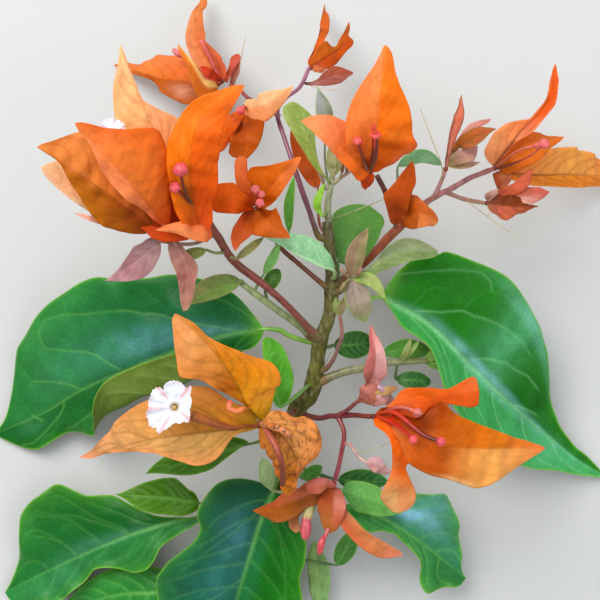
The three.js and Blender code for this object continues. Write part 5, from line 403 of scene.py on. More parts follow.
        'left': [2.03, 0.3, 0.3], 'right': [2.7, 0.3, 0.9], 'fold': [14, 14], 'curl': [-8, -8], 'stalk': [(-19.77, 20.57, 47.83), (-23.98, 19.2, 49.33), (-28, 18.32, 50.03)], 'stalk_r': 0.4,
        'q': [[(0.21, 0.71), (0.41, 1.23), (0.57, 0.96)], [(0.08, 0.93), (0.31, 1.04), (0.59, 0.98)]]},
    'nb2': {'node': 'leaf_young_mauve', 'kind': 'leaf', 'spine': [(-31, 17.88, 50.03), (-36.28, 13.62, 49.03), (-43.41, 9.57, 46.03)],
        'left': [3.62, 0.7, 1.1], 'right': [2.77, 0.3, 1.3], 'fold': [10, 10], 'curl': [-8, -8], 'stalk': [(-19.2, 19.77, 46.63), (-24.42, 17.61, 46.63), (-31, 17.88, 50.03)], 'stalk_r': 0.4,
        'q': [[(0.08, 0.93), (0.25, 0.96), (0.48, 1.06), (0.73, 0.97)], [(0.2, 0.86), (0.34, 1.18), (0.75, 0.8)]]},
    'nb3': {'node': 'leaf_young_olive', 'kind': 'leaf', 'spine': [(-21.34, 16.29, 47.03), (-24.34, 15.39, 47.53), (-27.9, 14.57, 46.53)],
        'left': [1.3, 0.6, 0.8], 'right': [1.3, 0.6, 0.8], 'stalk': [(-16.96, 15.95, 44.03), (-19.27, 15.68, 45.53), (-21.34, 16.29, 47.03)], 'stalk_r': 0.35},
    'a_1': {'node': 'bloom_front_left', 'kind': 'bract', 'spine': [(-29, 20.71, 57.03), (-35.23, 29.03, 67.03), (-45.63, 40.58, 71.03)],
        'left': [3.17, 0.5, 0.7], 'right': [11.39, 0.5, 0.7], 'fold': [-12, 6], 'curl': [0, -12], 'foot': True,
        'q': [[(0.06, 0.46), (0.09, 0.44), (0.13, 0.47), (0.17, 0.5), (0.2, 0.55), (0.24, 0.61), (0.28, 0.68), (0.32, 0.74), (0.35, 0.78), (0.39, 0.83), (0.43, 0.88), (0.46, 0.93), (0.5, 0.97), (0.54, 1.03), (0.57, 1.06), (0.61, 1.06), (0.65, 1.06), (0.69, 0.96), (0.72, 0.81), (0.76, 0.65), (0.8, 0.49), (0.83, 0.4), (0.87, 0.41), (0.91, 0.46), (0.94, 0.69)], [(0.06, 0.36), (0.09, 0.39), (0.13, 0.43), (0.17, 0.47), (0.2, 0.51), (0.24, 0.54), (0.28, 0.57), (0.32, 0.61), (0.35, 0.66), (0.39, 0.71), (0.43, 0.77), (0.46, 0.84), (0.5, 0.92), (0.54, 0.98), (0.57, 1.03), (0.61, 1.1), (0.65, 1.08), (0.69, 0.97), (0.72, 0.87), (0.76, 0.77), (0.8, 0.69), (0.83, 0.64), (0.87, 0.57), (0.91, 0.55), (0.94, 0.54)]]},
    'a_2': {'node': 'bloom_front_left', 'kind': 'bract', 'spine': [(-31.64, 20.46, 54.03), (-41.94, 28.21, 60.03), (-54.79, 36.75, 63.03)],
        'left': [6.06, 0.5, 0.7], 'right': [9.65, 0.5, 0.7], 'fold': [-6, 4], 'curl': [-8, -6], 'foot': True,
        'q': [[(0.06, 0.87), (0.09, 0.92), (0.13, 0.93), (0.17, 0.96), (0.2, 0.99), (0.24, 1.01), (0.28, 1.03), (0.32, 1.03), (0.35, 1), (0.39, 0.97), (0.43, 0.92), (0.46, 0.87), (0.5, 0.81), (0.54, 0.75), (0.57, 0.69), (0.61, 0.63), (0.65, 0.56), (0.69, 0.48), (0.72, 0.38), (0.76, 0.25), (0.8, 0.07), (0.83, 0.03), (0.87, 0.03), (0.91, 0.03), (0.94, 0.04)], [(0.06, 0.86), (0.09, 0.78), (0.13, 0.75), (0.17, 0.76), (0.2, 0.77), (0.24, 0.78), (0.28, 0.8), (0.32, 0.82), (0.35, 0.84), (0.39, 0.88), (0.43, 0.92), (0.46, 0.97), (0.5, 0.98), (0.54, 1.01), (0.57, 1.04), (0.61, 1.08), (0.65, 1.13), (0.69, 1.2), (0.72, 1.24), (0.76, 1.24), (0.8, 1.25), (0.83, 1.25), (0.87, 1.15), (0.91, 1.04), (0.94, 0.88)]]},
    'a_3': {'node': 'bloom_front_left', 'kind': 'bract', 'spine': [(-38.39, 20.84, 51.03), (-47.51, 26.59, 54.03), (-55.56, 33.48, 55.03)],
        'left': [1.28, 0.5, 0.7], 'right': [4.26, 0.5, 0.7], 'foot': True,
        'q': [[(0.06, 1.46), (0.09, 1.35), (0.13, 1.33), (0.17, 1.23), (0.2, 1.14), (0.24, 1.08), (0.28, 0.99), (0.32, 0.9), (0.35, 0.83), (0.39, 0.77), (0.43, 0.77), (0.46, 0.8), (0.5, 0.82), (0.54, 0.85), (0.57, 0.9), (0.61, 0.95), (0.65, 1), (0.69, 1.06), (0.72, 1.15), (0.76, 1.23), (0.8, 1.33), (0.83, 1.49), (0.87, 1.61), (0.91, 1.78), (0.94, 1.92)], [(0.06, 0.6), (0.09, 0.54), (0.13, 0.53), (0.17, 0.53), (0.2, 0.53), (0.24, 0.54), (0.28, 0.56), (0.32, 0.57), (0.35, 0.59), (0.39, 0.61), (0.43, 0.64), (0.46, 0.7), (0.5, 0.76), (0.54, 0.82), (0.57, 0.89), (0.61, 0.96), (0.65, 1.05), (0.69, 1.14), (0.72, 1.26), (0.76, 1.37), (0.8, 1.5), (0.83, 1.68), (0.87, 1.94), (0.91, 2.3), (0.94, 2.12)]]},
    'a_4': {'node': 'bloom_front_left', 'kind': 'bract', 'spine': [(-26.58, 30.64, 56.03), (-32.01, 42.28, 60.03), (-38.28, 58.61, 58.03)],
        'left': [6.74, 0.5, 0.7], 'right': [5.8, 0.5, 0.7], 'fold': [4, 4], 'curl': [0, -6], 'foot': True,
        'q': [[(0.06, 1.03), (0.09, 0.94), (0.13, 0.92), (0.17, 0.93), (0.2, 0.95), (0.24, 0.94), (0.28, 0.93), (0.32, 0.94), (0.35, 0.95), (0.39, 0.97), (0.43, 1), (0.46, 1), (0.5, 1), (0.54, 1), (0.57, 0.97), (0.61, 0.96), (0.65, 0.94), (0.69, 0.93), (0.72, 0.89), (0.76, 0.85), (0.8, 0.78), (0.83, 0.72), (0.87, 0.66), (0.91, 0.59), (0.94, 0.53)], [(0.06, 0.89), (0.09, 0.84), (0.13, 0.84), (0.17, 0.87), (0.2, 0.9), (0.24, 0.93), (0.28, 0.95), (0.32, 0.98), (0.35, 1.01), (0.39, 0.96), (0.43, 0.79), (0.46, 0.62), (0.5, 0.44), (0.54, 0.28), (0.57, 0.09), (0.61, 0.03), (0.65, 0.03), (0.69, 0.03), (0.72, 0.03), (0.76, 0.03), (0.8, 0.03), (0.83, 0.03), (0.87, 0.03), (0.91, 0.03), (0.94, 0.04)]]},
    'a_5': {'node': 'bloom_front_left', 'kind': 'bract', 'spine': [(-21.48, 19.4, 54.03), (-23.02, 26.06, 61.03), (-23.05, 33.56, 68.03), (-20.41, 41.57, 71.03), (-12.12, 48.29, 70.03)],
        'left': [4.96, 0.5, 0.7], 'right': [5.9, 0.5, 0.7], 'fold': [[20, 14, 8, 4, 2], [-4, -8, -6, -4, 0]], 'curl': [[24, 10, -4, -8, -4], [-4, -8, -8, -6, 0]], 'foot': True,
        'q': [[(0.06, 1.26), (0.09, 1.14), (0.13, 1.03), (0.17, 0.98), (0.2, 0.96), (0.24, 0.91), (0.28, 0.89), (0.32, 0.87), (0.35, 0.86), (0.39, 0.85), (0.43, 0.87), (0.46, 0.9), (0.5, 0.96), (0.54, 1.03), (0.57, 1.05), (0.61, 1.02), (0.65, 0.98), (0.69, 0.98), (0.72, 1), (0.76, 0.97), (0.8, 0.89), (0.83, 0.84), (0.87, 0.82), (0.91, 0.86), (0.94, 0.97)], [(0.06, 0.87), (0.09, 0.82), (0.13, 0.82), (0.17, 0.82), (0.2, 0.83), (0.24, 0.86), (0.28, 0.9), (0.32, 0.94), (0.35, 0.96), (0.39, 0.98), (0.43, 0.99), (0.46, 1), (0.5, 1.01), (0.54, 1.02), (0.57, 1.03), (0.61, 1.04), (0.65, 1.05), (0.69, 1.06), (0.72, 1.07), (0.76, 1.09), (0.8, 1.05), (0.83, 1), (0.87, 0.92), (0.91, 0.83), (0.94, 0.76)]]},
    'a_6': {'node': 'bloom_front_left', 'kind': 'bract', 'spine': [(-20.14, 22.06, 52.03), (-24.22, 20.6, 59.03), (-30.76, 19.93, 60.03)],
        'left': [4.03, 0.3, 0.7], 'right': [4.6, 0.3, 0.7], 'curl': [-16, -16],
        'q': [[(0.06, 1.11), (0.09, 1.03), (0.13, 1), (0.17, 1.01), (0.2, 1.02), (0.24, 1.01), (0.28, 0.97), (0.32, 0.93), (0.35, 0.91), (0.39, 0.88), (0.43, 0.85), (0.46, 0.82), (0.5, 0.77), (0.54, 0.72), (0.57, 0.67), (0.61, 0.61), (0.65, 0.56), (0.69, 0.51), (0.72, 0.45), (0.76, 0.41), (0.8, 0.39), (0.83, 0.36), (0.87, 0.33), (0.91, 0.3), (0.94, 0.26)], [(0.06, 1.34), (0.09, 1.11), (0.13, 0.98), (0.17, 0.88), (0.2, 0.81), (0.24, 0.76), (0.28, 0.71), (0.32, 0.68), (0.35, 0.64), (0.39, 0.61), (0.43, 0.57), (0.46, 0.54), (0.5, 0.51), (0.54, 0.49), (0.57, 0.47), (0.61, 0.44), (0.65, 0.4), (0.69, 0.38), (0.72, 0.38), (0.76, 0.37), (0.8, 0.36), (0.83, 0.36), (0.87, 0.33), (0.91, 0.3), (0.94, 0.25)]]},
    'a_7': {'node': 'bloom_front_left', 'kind': 'bract', 'spine': [(-36.12, 20.79, 52.03), (-42.96, 22.04, 56.03), (-48.43, 23.71, 56.03)],
        'left': [0.74, 0.6, 0.8], 'right': [0.74, 0.6, 0.8], 'foot': True},
    'b_1': {'node': 'bloom_top_left', 'kind': 'bract', 'spine': [(-19.26, 57.01, 20.03), (-23.66, 63.88, 15.03), (-26.8, 71.39, 9.03), (-24.95, 81.91, 4.03)],
        'left': [3.16, 0.5, 0.7], 'right': [3.43, 0.5, 0.7], 'fold': [6, 16], 'curl': [4, 10],
        'q': [[(0.06, 1.11), (0.09, 1.13), (0.13, 1.19), (0.17, 1.12), (0.2, 1.08), (0.24, 1.05), (0.28, 1.04), (0.32, 1.03), (0.35, 1), (0.39, 0.97), (0.43, 0.94), (0.46, 0.91), (0.5, 0.89), (0.54, 0.88), (0.57, 0.83), (0.61, 0.83), (0.65, 0.76), (0.69, 0.74), (0.72, 0.76), (0.76, 0.77), (0.8, 0.81), (0.83, 0.76), (0.87, 0.56), (0.91, 0.42), (0.94, 0.59)], [(0.06, 1.38), (0.09, 1.33), (0.13, 1.27), (0.17, 1.23), (0.2, 1.11), (0.24, 1.02), (0.28, 0.94), (0.32, 0.87), (0.35, 0.81), (0.39, 0.76), (0.43, 0.72), (0.46, 0.72), (0.5, 0.75), (0.54, 0.77), (0.57, 0.77), (0.61, 0.77), (0.65, 0.76), (0.69, 0.72), (0.72, 0.66), (0.76, 0.67), (0.8, 0.66), (0.83, 0.71), (0.87, 0.82), (0.91, 1.01), (0.94, 1.18)]]},
    'b_2': {'node': 'bloom_top_left', 'kind': 'bract', 'spine': [(-19.7, 57.16, 20.53), (-21.6, 58.45, 24.03), (-24.34, 59.92, 25.03)],
        'left': [1.29, 0.5, 0.7], 'right': [1.08, 0.5, 0.7], 'fold': [6, 6],
        'q': [[(0.06, 0.72), (0.09, 0.66), (0.13, 0.65), (0.17, 0.66), (0.2, 0.68), (0.24, 0.7), (0.28, 0.73), (0.32, 0.77), (0.35, 0.81), (0.39, 0.85), (0.43, 0.88), (0.46, 0.91), (0.5, 0.94), (0.54, 0.98), (0.57, 1.02), (0.61, 1.07), (0.65, 1.13), (0.69, 1.2), (0.72, 1.27), (0.76, 1.37), (0.8, 1.31), (0.83, 1.23), (0.87, 1.12), (0.91, 0.99), (0.94, 0.83)], [(0.06, 1.16), (0.09, 1.19), (0.13, 1.08), (0.17, 0.98), (0.2, 0.92), (0.24, 0.88), (0.28, 0.85), (0.32, 0.84), (0.35, 0.83), (0.39, 0.83), (0.43, 0.84), (0.46, 0.86), (0.5, 0.9), (0.54, 0.94), (0.57, 1.01), (0.61, 1.1), (0.65, 1.12), (0.69, 1.12), (0.72, 1.12), (0.76, 1.14), (0.8, 1.18), (0.83, 1.26), (0.87, 1.34), (0.91, 1.47), (0.94, 1.77)]]},
    'b_3': {'node': 'bloom_top_left', 'kind': 'bract', 'spine': [(-18.75, 57.16, 20.53), (-17.14, 59.86, 24.03), (-15.27, 63.15, 24.03)],
        'left': [1.23, 0.5, 0.7], 'right': [1.03, 0.5, 0.7], 'fold': [10, 10],
        'q': [[(0.06, 0.73), (0.09, 0.6), (0.13, 0.53), (0.17, 0.49), (0.2, 0.46), (0.24, 0.44), (0.28, 0.43), (0.32, 0.43), (0.35, 0.43), (0.39, 0.43), (0.43, 0.44), (0.46, 0.46), (0.5, 0.48), (0.54, 0.51), (0.57, 0.55), (0.61, 0.64), (0.65, 0.76), (0.69, 0.89), (0.72, 1.06), (0.76, 1.26), (0.8, 1.51), (0.83, 1.67), (0.87, 1.68), (0.91, 1.75), (0.94, 1.9)], [(0.06, 1.26), (0.09, 1.03), (0.13, 0.93), (0.17, 0.86), (0.2, 0.82), (0.24, 0.81), (0.28, 0.81), (0.32, 0.81), (0.35, 0.82), (0.39, 0.83), (0.43, 0.85), (0.46, 0.88), (0.5, 0.9), (0.54, 0.93), (0.57, 0.97), (0.61, 1), (0.65, 1.05), (0.69, 1.12), (0.72, 1.22), (0.76, 1.33), (0.8, 1.48), (0.83, 1.68), (0.87, 1.97), (0.91, 2.17), (0.94, 2.48)]]},
    'b_4': {'node': 'bloom_top_left', 'kind': 'bract', 'spine': [(-22.45, 55.11, 18.53), (-28.44, 57.76, 15.53), (-35.74, 59.81, 10.53), (-43.06, 62.49, 5.03), (-47.91, 64.76, 0.73)],
        'left': [4.98, 0.5, 0.7], 'right': [6.68, 0.5, 0.7], 'fold': [8, -4], 'curl': [-6, -16], 'foot': True,
        'q': [[(0.06, 1.49), (0.09, 1.4), (0.13, 1.35), (0.17, 1.23), (0.2, 1.15), (0.24, 1.06), (0.28, 0.98), (0.32, 0.9), (0.35, 0.82), (0.39, 0.73), (0.43, 0.63), (0.46, 0.48), (0.5, 0.34), (0.54, 0.21), (0.57, 0.18), (0.61, 0.17), (0.65, 0.17), (0.69, 0.17), (0.72, 0.17), (0.76, 0.16), (0.8, 0.17), (0.83, 0.17), (0.87, 0.18), (0.91, 0.21), (0.94, 0.23)], [(0.06, 0.59), (0.09, 0.61), (0.13, 0.66), (0.17, 0.73), (0.2, 0.81), (0.24, 0.91), (0.28, 1), (0.32, 1.01), (0.35, 1.01), (0.39, 0.99), (0.43, 0.98), (0.46, 0.96), (0.5, 0.94), (0.54, 0.93), (0.57, 0.91), (0.61, 0.87), (0.65, 0.83), (0.69, 0.76), (0.72, 0.68), (0.76, 0.6), (0.8, 0.56), (0.83, 0.55), (0.87, 0.54), (0.91, 0.54), (0.94, 0.53)]]},
    'b_5': {'node': 'bloom_top_left', 'kind': 'bract', 'spine': [(-20.41, 55.74, 20.53), (-23.35, 55.89, 22.53), (-26.14, 60.51, 23.03), (-29.86, 66.08, 21.03)],
        'left': [3.85, 0.5, 0.7], 'right': [1.78, 0.5, 0.7], 'fold': [16, 4], 'curl': [6, -6],
        'q': [[(0.06, 0.79), (0.09, 0.79), (0.13, 0.85), (0.17, 1.01), (0.2, 1.15), (0.24, 0.95), (0.28, 0.78), (0.32, 0.66), (0.35, 0.59), (0.39, 0.54), (0.43, 0.49), (0.46, 0.46), (0.5, 0.44), (0.54, 0.42), (0.57, 0.41), (0.61, 0.39), (0.65, 0.39), (0.69, 0.39), (0.72, 0.38), (0.76, 0.39), (0.8, 0.41), (0.83, 0.45), (0.87, 0.48), (0.91, 0.46), (0.94, 0.46)], [(0.06, 1.71), (0.09, 1.45), (0.13, 1.33), (0.17, 1.23), (0.2, 1.15), (0.24, 1.05), (0.28, 0.86), (0.32, 0.58), (0.35, 0.54), (0.39, 0.49), (0.43, 0.44), (0.46, 0.4), (0.5, 0.37), (0.54, 0.35), (0.57, 0.35), (0.61, 0.34), (0.65, 0.35), (0.69, 0.35), (0.72, 0.35), (0.76, 0.34), (0.8, 0.32), (0.83, 0.31), (0.87, 0.3), (0.91, 0.26), (0.94, 0.21)]]},
    'c_1': {'node': 'bloom_top_middle', 'kind': 'bract', 'spine': [(1.42, 60.81, 20.03), (3.41, 68.91, 14.03), (5.22, 80.1, 1.03)],
        'left': [0.94, 0.5, 0.9], 'right': [2.19, 0.5, 0.9], 'fold': [10, 10], 'curl': [4, 4],
        'q': [[(0.06, 1.77), (0.09, 1.27), (0.13, 0.88), (0.17, 0.58), (0.2, 0.43), (0.24, 0.31), (0.28, 0.2), (0.32, 0.09), (0.35, 0.08), (0.39, 0.08), (0.43, 0.08), (0.46, 0.08), (0.5, 0.09), (0.54, 0.09), (0.57, 0.09), (0.61, 0.12), (0.65, 0.15), (0.69, 0.18), (0.72, 0.22), (0.76, 0.26), (0.8, 0.33), (0.83, 0.35), (0.87, 0.37), (0.91, 0.4), (0.94, 0.5)], [(0.06, 0.8), (0.09, 0.74), (0.13, 0.74), (0.17, 0.75), (0.2, 0.78), (0.24, 0.8), (0.28, 0.82), (0.32, 0.85), (0.35, 0.89), (0.39, 0.92), (0.43, 0.96), (0.46, 1), (0.5, 1.05), (0.54, 1.1), (0.57, 1.12), (0.61, 1.16), (0.65, 1.22), (0.69, 1.28), (0.72, 1.26), (0.76, 1.24), (0.8, 1.23), (0.83, 0.99), (0.87, 0.7), (0.91, 0.68), (0.94, 0.67)]]},
    'c_2': {'node': 'bloom_top_middle', 'kind': 'bract', 'spine': [(1.42, 60.48, 20.53), (5.22, 63.19, 20.03), (8.88, 66.39, 17.03), (10.92, 73.21, 12.03)],
        'left': [3.49, 0.5, 0.7], 'right': [2.94, 0.5, 0.7], 'fold': [14, 8], 'curl': [4, -6],
        'q': [[(0.06, 0.82), (0.09, 0.82), (0.13, 0.86), (0.17, 0.89), (0.2, 0.92), (0.24, 0.96), (0.28, 0.99), (0.32, 1.03), (0.35, 0.97), (0.39, 0.56), (0.43, 0.47), (0.46, 0.36), (0.5, 0.23), (0.54, 0.27), (0.57, 0.3), (0.61, 0.33), (0.65, 0.34), (0.69, 0.33), (0.72, 0.31), (0.76, 0.28), (0.8, 0.24), (0.83, 0.21), (0.87, 0.17), (0.91, 0.15), (0.94, 0.13)], [(0.06, 0.86), (0.09, 0.97), (0.13, 1.11), (0.17, 1.1), (0.2, 1.09), (0.24, 1.09), (0.28, 1.04), (0.32, 0.95), (0.35, 0.85), (0.39, 0.76), (0.43, 0.69), (0.46, 0.64), (0.5, 0.65), (0.54, 0.72), (0.57, 0.83), (0.61, 0.92), (0.65, 0.98), (0.69, 0.96), (0.72, 0.41), (0.76, 0.36), (0.8, 0.37), (0.83, 0.41), (0.87, 0.48), (0.91, 0.59), (0.94, 0.59)]]},
    'c_3': {'node': 'bloom_top_middle', 'kind': 'bract', 'spine': [(0, 57.13, 19.33), (3.29, 56.83, 22.53), (7.26, 57.99, 24.03), (11.66, 58.95, 22.53)],
        'left': [2.47, 0.5, 0.7], 'right': [1.93, 0.5, 0.7], 'fold': [10, 10], 'curl': [0, -6],
        'q': [[(0.06, 0.17), (0.09, 0.13), (0.13, 0.11), (0.17, 0.1), (0.2, 0.09), (0.24, 0.17), (0.28, 0.23), (0.32, 0.29), (0.35, 0.33), (0.39, 0.43), (0.43, 0.52), (0.46, 0.61), (0.5, 0.71), (0.54, 0.79), (0.57, 0.88), (0.61, 0.99), (0.65, 1.14), (0.69, 1.11), (0.72, 1.09), (0.76, 1.09), (0.8, 1.04), (0.83, 1), (0.87, 0.97), (0.91, 0.9), (0.94, 0.84)], [(0.06, 0.54), (0.09, 0.45), (0.13, 0.4), (0.17, 0.38), (0.2, 0.37), (0.24, 0.37), (0.28, 0.4), (0.32, 0.44), (0.35, 0.5), (0.39, 0.58), (0.43, 0.69), (0.46, 0.81), (0.5, 0.9), (0.54, 0.95), (0.57, 1.02), (0.61, 1.08), (0.65, 1.14), (0.69, 1.2), (0.72, 1.27), (0.76, 1.25), (0.8, 1.16), (0.83, 1.06), (0.87, 0.93), (0.91, 0.83), (0.94, 0.79)]]},
    'd_1': {'node': 'bloom_top_right', 'kind': 'bract', 'spine': [(14.37, 32.84, 48.53), (15.01, 39.47, 56.03), (15.67, 48.03, 59.03), (16.71, 58.42, 59.03)],
        'left': [6.73, 0.4, 0.55], 'right': [9.26, 0.4, 0.55], 'fold': [10, -4], 'curl': [-4, -8],
        'q': [[(0.06, 0.89), (0.09, 0.91), (0.13, 0.91), (0.17, 0.91), (0.2, 0.92), (0.24, 0.94), (0.28, 0.95), (0.32, 0.96), (0.35, 0.98), (0.39, 1), (0.43, 1), (0.46, 1), (0.5, 0.98), (0.54, 0.96), (0.57, 0.94), (0.61, 0.91), (0.65, 0.84), (0.69, 0.78), (0.72, 0.71), (0.76, 0.64), (0.8, 0.55), (0.83, 0.46), (0.87, 0.4), (0.91, 0.33), (0.94, 0.26)], [(0.06, 0.48), (0.09, 0.68), (0.13, 0.75), (0.17, 0.79), (0.2, 0.89), (0.24, 1.04), (0.28, 1.04), (0.32, 0.95), (0.35, 0.87), (0.39, 0.82), (0.43, 0.81), (0.46, 0.79), (0.5, 0.77), (0.54, 0.75), (0.57, 0.74), (0.61, 0.69), (0.65, 0.64), (0.69, 0.6), (0.72, 0.55), (0.76, 0.51), (0.8, 0.47), (0.83, 0.45), (0.87, 0.45), (0.91, 0.45), (0.94, 0.48)]]},
    'd_2': {'node': 'bloom_top_right', 'kind': 'bract', 'spine': [(14.15, 32.63, 48.53), (7.06, 38.54, 55.03), (-0.74, 43.17, 55.03)],
        'left': [2.88, 0.5, 0.7], 'right': [4.57, 0.5, 0.7], 'fold': [6, 6], 'curl': [-4, -8],
        'q': [[(0.06, 1.93), (0.09, 1.53), (0.13, 1.31), (0.17, 1.18), (0.2, 1.1), (0.24, 1.04), (0.28, 1), (0.32, 0.97), (0.35, 0.94), (0.39, 0.92), (0.43, 0.89), (0.46, 0.87), (0.5, 0.84), (0.54, 0.82), (0.57, 0.8), (0.61, 0.78), (0.65, 0.74), (0.69, 0.73), (0.72, 0.71), (0.76, 0.69), (0.8, 0.6), (0.83, 0.49), (0.87, 0.44), (0.91, 0.38), (0.94, 0.38)], [(0.06, 0.65), (0.09, 0.57), (0.13, 0.55), (0.17, 0.54), (0.2, 0.54), (0.24, 0.55), (0.28, 0.57), (0.32, 0.6), (0.35, 0.63), (0.39, 0.67), (0.43, 0.72), (0.46, 0.78), (0.5, 0.85), (0.54, 0.93), (0.57, 1.03), (0.61, 1.1), (0.65, 1.11), (0.69, 1.14), (0.72, 1.19), (0.76, 1.25), (0.8, 1.25), (0.83, 1.27), (0.87, 1.31), (0.91, 1.39), (0.94, 1.36)]]},
    'd_4': {'node': 'bloom_top_right', 'kind': 'bract', 'spine': [(13.96, 33.11, 48.03), (13.58, 31.47, 47.03), (13.49, 29.51, 44.53)],
        'left': [1.54, 0.5, 0.5], 'right': [2.25, 0.5, 0.5], 'curl': [-10, -10],
        'q': [[(0.06, 1.9), (0.09, 1.54), (0.13, 1.37), (0.17, 1.26), (0.2, 1.19), (0.24, 1.13), (0.28, 1.1), (0.32, 1.07), (0.35, 1.05), (0.39, 1.02), (0.43, 0.98), (0.46, 0.94), (0.5, 0.91), (0.54, 0.89), (0.57, 0.87), (0.61, 0.85), (0.65, 0.83), (0.69, 0.82), (0.72, 0.82), (0.76, 0.82), (0.8, 0.78), (0.83, 0.64), (0.87, 0.47), (0.91, 0.26), (0.94, 0.09)], [(0.06, 0.94), (0.09, 1.22), (0.13, 1.48), (0.17, 1.33), (0.2, 1.18), (0.24, 1.07), (0.28, 0.98), (0.32, 0.91), (0.35, 0.85), (0.39, 0.81), (0.43, 0.76), (0.46, 0.71), (0.5, 0.68), (0.54, 0.65), (0.57, 0.62), (0.61, 0.6), (0.65, 0.58), (0.69, 0.57), (0.72, 0.56), (0.76, 0.56), (0.8, 0.53), (0.83, 0.49), (0.87, 0.44), (0.91, 0.4), (0.94, 0.35)]]},
    'e_1': {'node': 'bloom_small_right', 'kind': 'bract', 'spine': [(20.33, 22.11, 43.83), (20.08, 26.9, 50.03), (22.68, 34.85, 54.03)],
        'left': [3.51, 0.4, 0.7], 'right': [2.66, 0.4, 0.7], 'fold': [8, 14],
        'q': [[(0.06, 0.67), (0.09, 0.6), (0.13, 0.56), (0.17, 0.55), (0.2, 0.55), (0.24, 0.56), (0.28, 0.58), (0.32, 0.61), (0.35, 0.66), (0.39, 0.72), (0.43, 0.81), (0.46, 0.92), (0.5, 1.04), (0.54, 0.94), (0.57, 0.84), (0.61, 0.75), (0.65, 0.67), (0.69, 0.6), (0.72, 0.56), (0.76, 0.54), (0.8, 0.52), (0.83, 0.52), (0.87, 0.5), (0.91, 0.46), (0.94, 0.42)], [(0.06, 1.04), (0.09, 0.94), (0.13, 0.91), (0.17, 0.9), (0.2, 0.9), (0.24, 0.91), (0.28, 0.92), (0.32, 0.94), (0.35, 0.95), (0.39, 0.97), (0.43, 0.99), (0.46, 1), (0.5, 1.01), (0.54, 1.02), (0.57, 1.03), (0.61, 1.05), (0.65, 1.08), (0.69, 1.18), (0.72, 1.31), (0.76, 1.47), (0.8, 1.52), (0.83, 1.49), (0.87, 1.46), (0.91, 1.46), (0.94, 1.56)]]},
    'e_2': {'node': 'bloom_small_right', 'kind': 'bract', 'spine': [(21, 21.68, 43.63), (24.16, 24.33, 50.03), (28.77, 22.24, 49.03)],
        'left': [4.35, 0.35, 0.4], 'right': [3.45, 0.35, 0.4], 'fold': [6, 6], 'curl': [-14, -10],
        'q': [[(0.06, 0.03), (0.09, 0.03), (0.13, 0.16), (0.17, 0.27), (0.2, 0.36), (0.24, 0.44), (0.28, 0.49), (0.32, 0.54), (0.35, 0.59), (0.39, 0.67), (0.43, 0.77), (0.46, 0.81), (0.5, 0.88), (0.54, 1.01), (0.57, 0.98), (0.61, 0.74), (0.65, 0.57), (0.69, 0.5), (0.72, 0.47), (0.76, 0.45), (0.8, 0.45), (0.83, 0.45), (0.87, 0.43), (0.91, 0.42), (0.94, 0.42)], [(0.06, 0.27), (0.09, 0.41), (0.13, 0.53), (0.17, 0.63), (0.2, 0.73), (0.24, 0.82), (0.28, 0.88), (0.32, 0.91), (0.35, 0.93), (0.39, 0.95), (0.43, 0.96), (0.46, 0.97), (0.5, 0.97), (0.54, 0.97), (0.57, 0.97), (0.61, 1), (0.65, 1.05), (0.69, 1.08), (0.72, 1.07), (0.76, 1.02), (0.8, 0.95), (0.83, 0.86), (0.87, 0.74), (0.91, 0.73), (0.94, 0.84)]]},
    'f_1': {'node': 'bloom_middle', 'kind': 'bract', 'spine': [(-10.45, 25.97, 42.03), (-6.81, 30.82, 47.03), (-0.74, 36.52, 46.53)],
        'left': [5.97, 0.5, 0.7], 'right': [2.82, 0.5, 0.7], 'fold': [8, 8], 'curl': [-4, -6],
        'q': [[(0.06, 1), (0.09, 0.88), (0.13, 0.83), (0.17, 0.82), (0.2, 0.82), (0.24, 0.84), (0.28, 0.86), (0.32, 0.88), (0.35, 0.92), (0.39, 0.97), (0.43, 1), (0.46, 0.99), (0.5, 0.86), (0.54, 0.76), (0.57, 0.66), (0.61, 0.6), (0.65, 0.55), (0.69, 0.5), (0.72, 0.46), (0.76, 0.43), (0.8, 0.4), (0.83, 0.39), (0.87, 0.37), (0.91, 0.37), (0.94, 0.39)], [(0.06, 1.02), (0.09, 1), (0.13, 1.03), (0.17, 1.05), (0.2, 1.02), (0.24, 1), (0.28, 1), (0.32, 1), (0.35, 1.01), (0.39, 1), (0.43, 1), (0.46, 1), (0.5, 0.99), (0.54, 0.99), (0.57, 0.98), (0.61, 0.96), (0.65, 0.93), (0.69, 0.91), (0.72, 0.89), (0.76, 0.86), (0.8, 0.85), (0.83, 0.85), (0.87, 0.86), (0.91, 0.85), (0.94, 0.76)]]},
    'f_2': {'node': 'bloom_middle', 'kind': 'bract', 'spine': [(-10.67, 25.75, 42.03), (-14.87, 27.17, 46.53), (-20.77, 27.86, 46.03)],
        'left': [3.24, 0.5, 0.4], 'right': [3.72, 0.5, 0.4], 'fold': [4, 4], 'curl': [-8, -8],
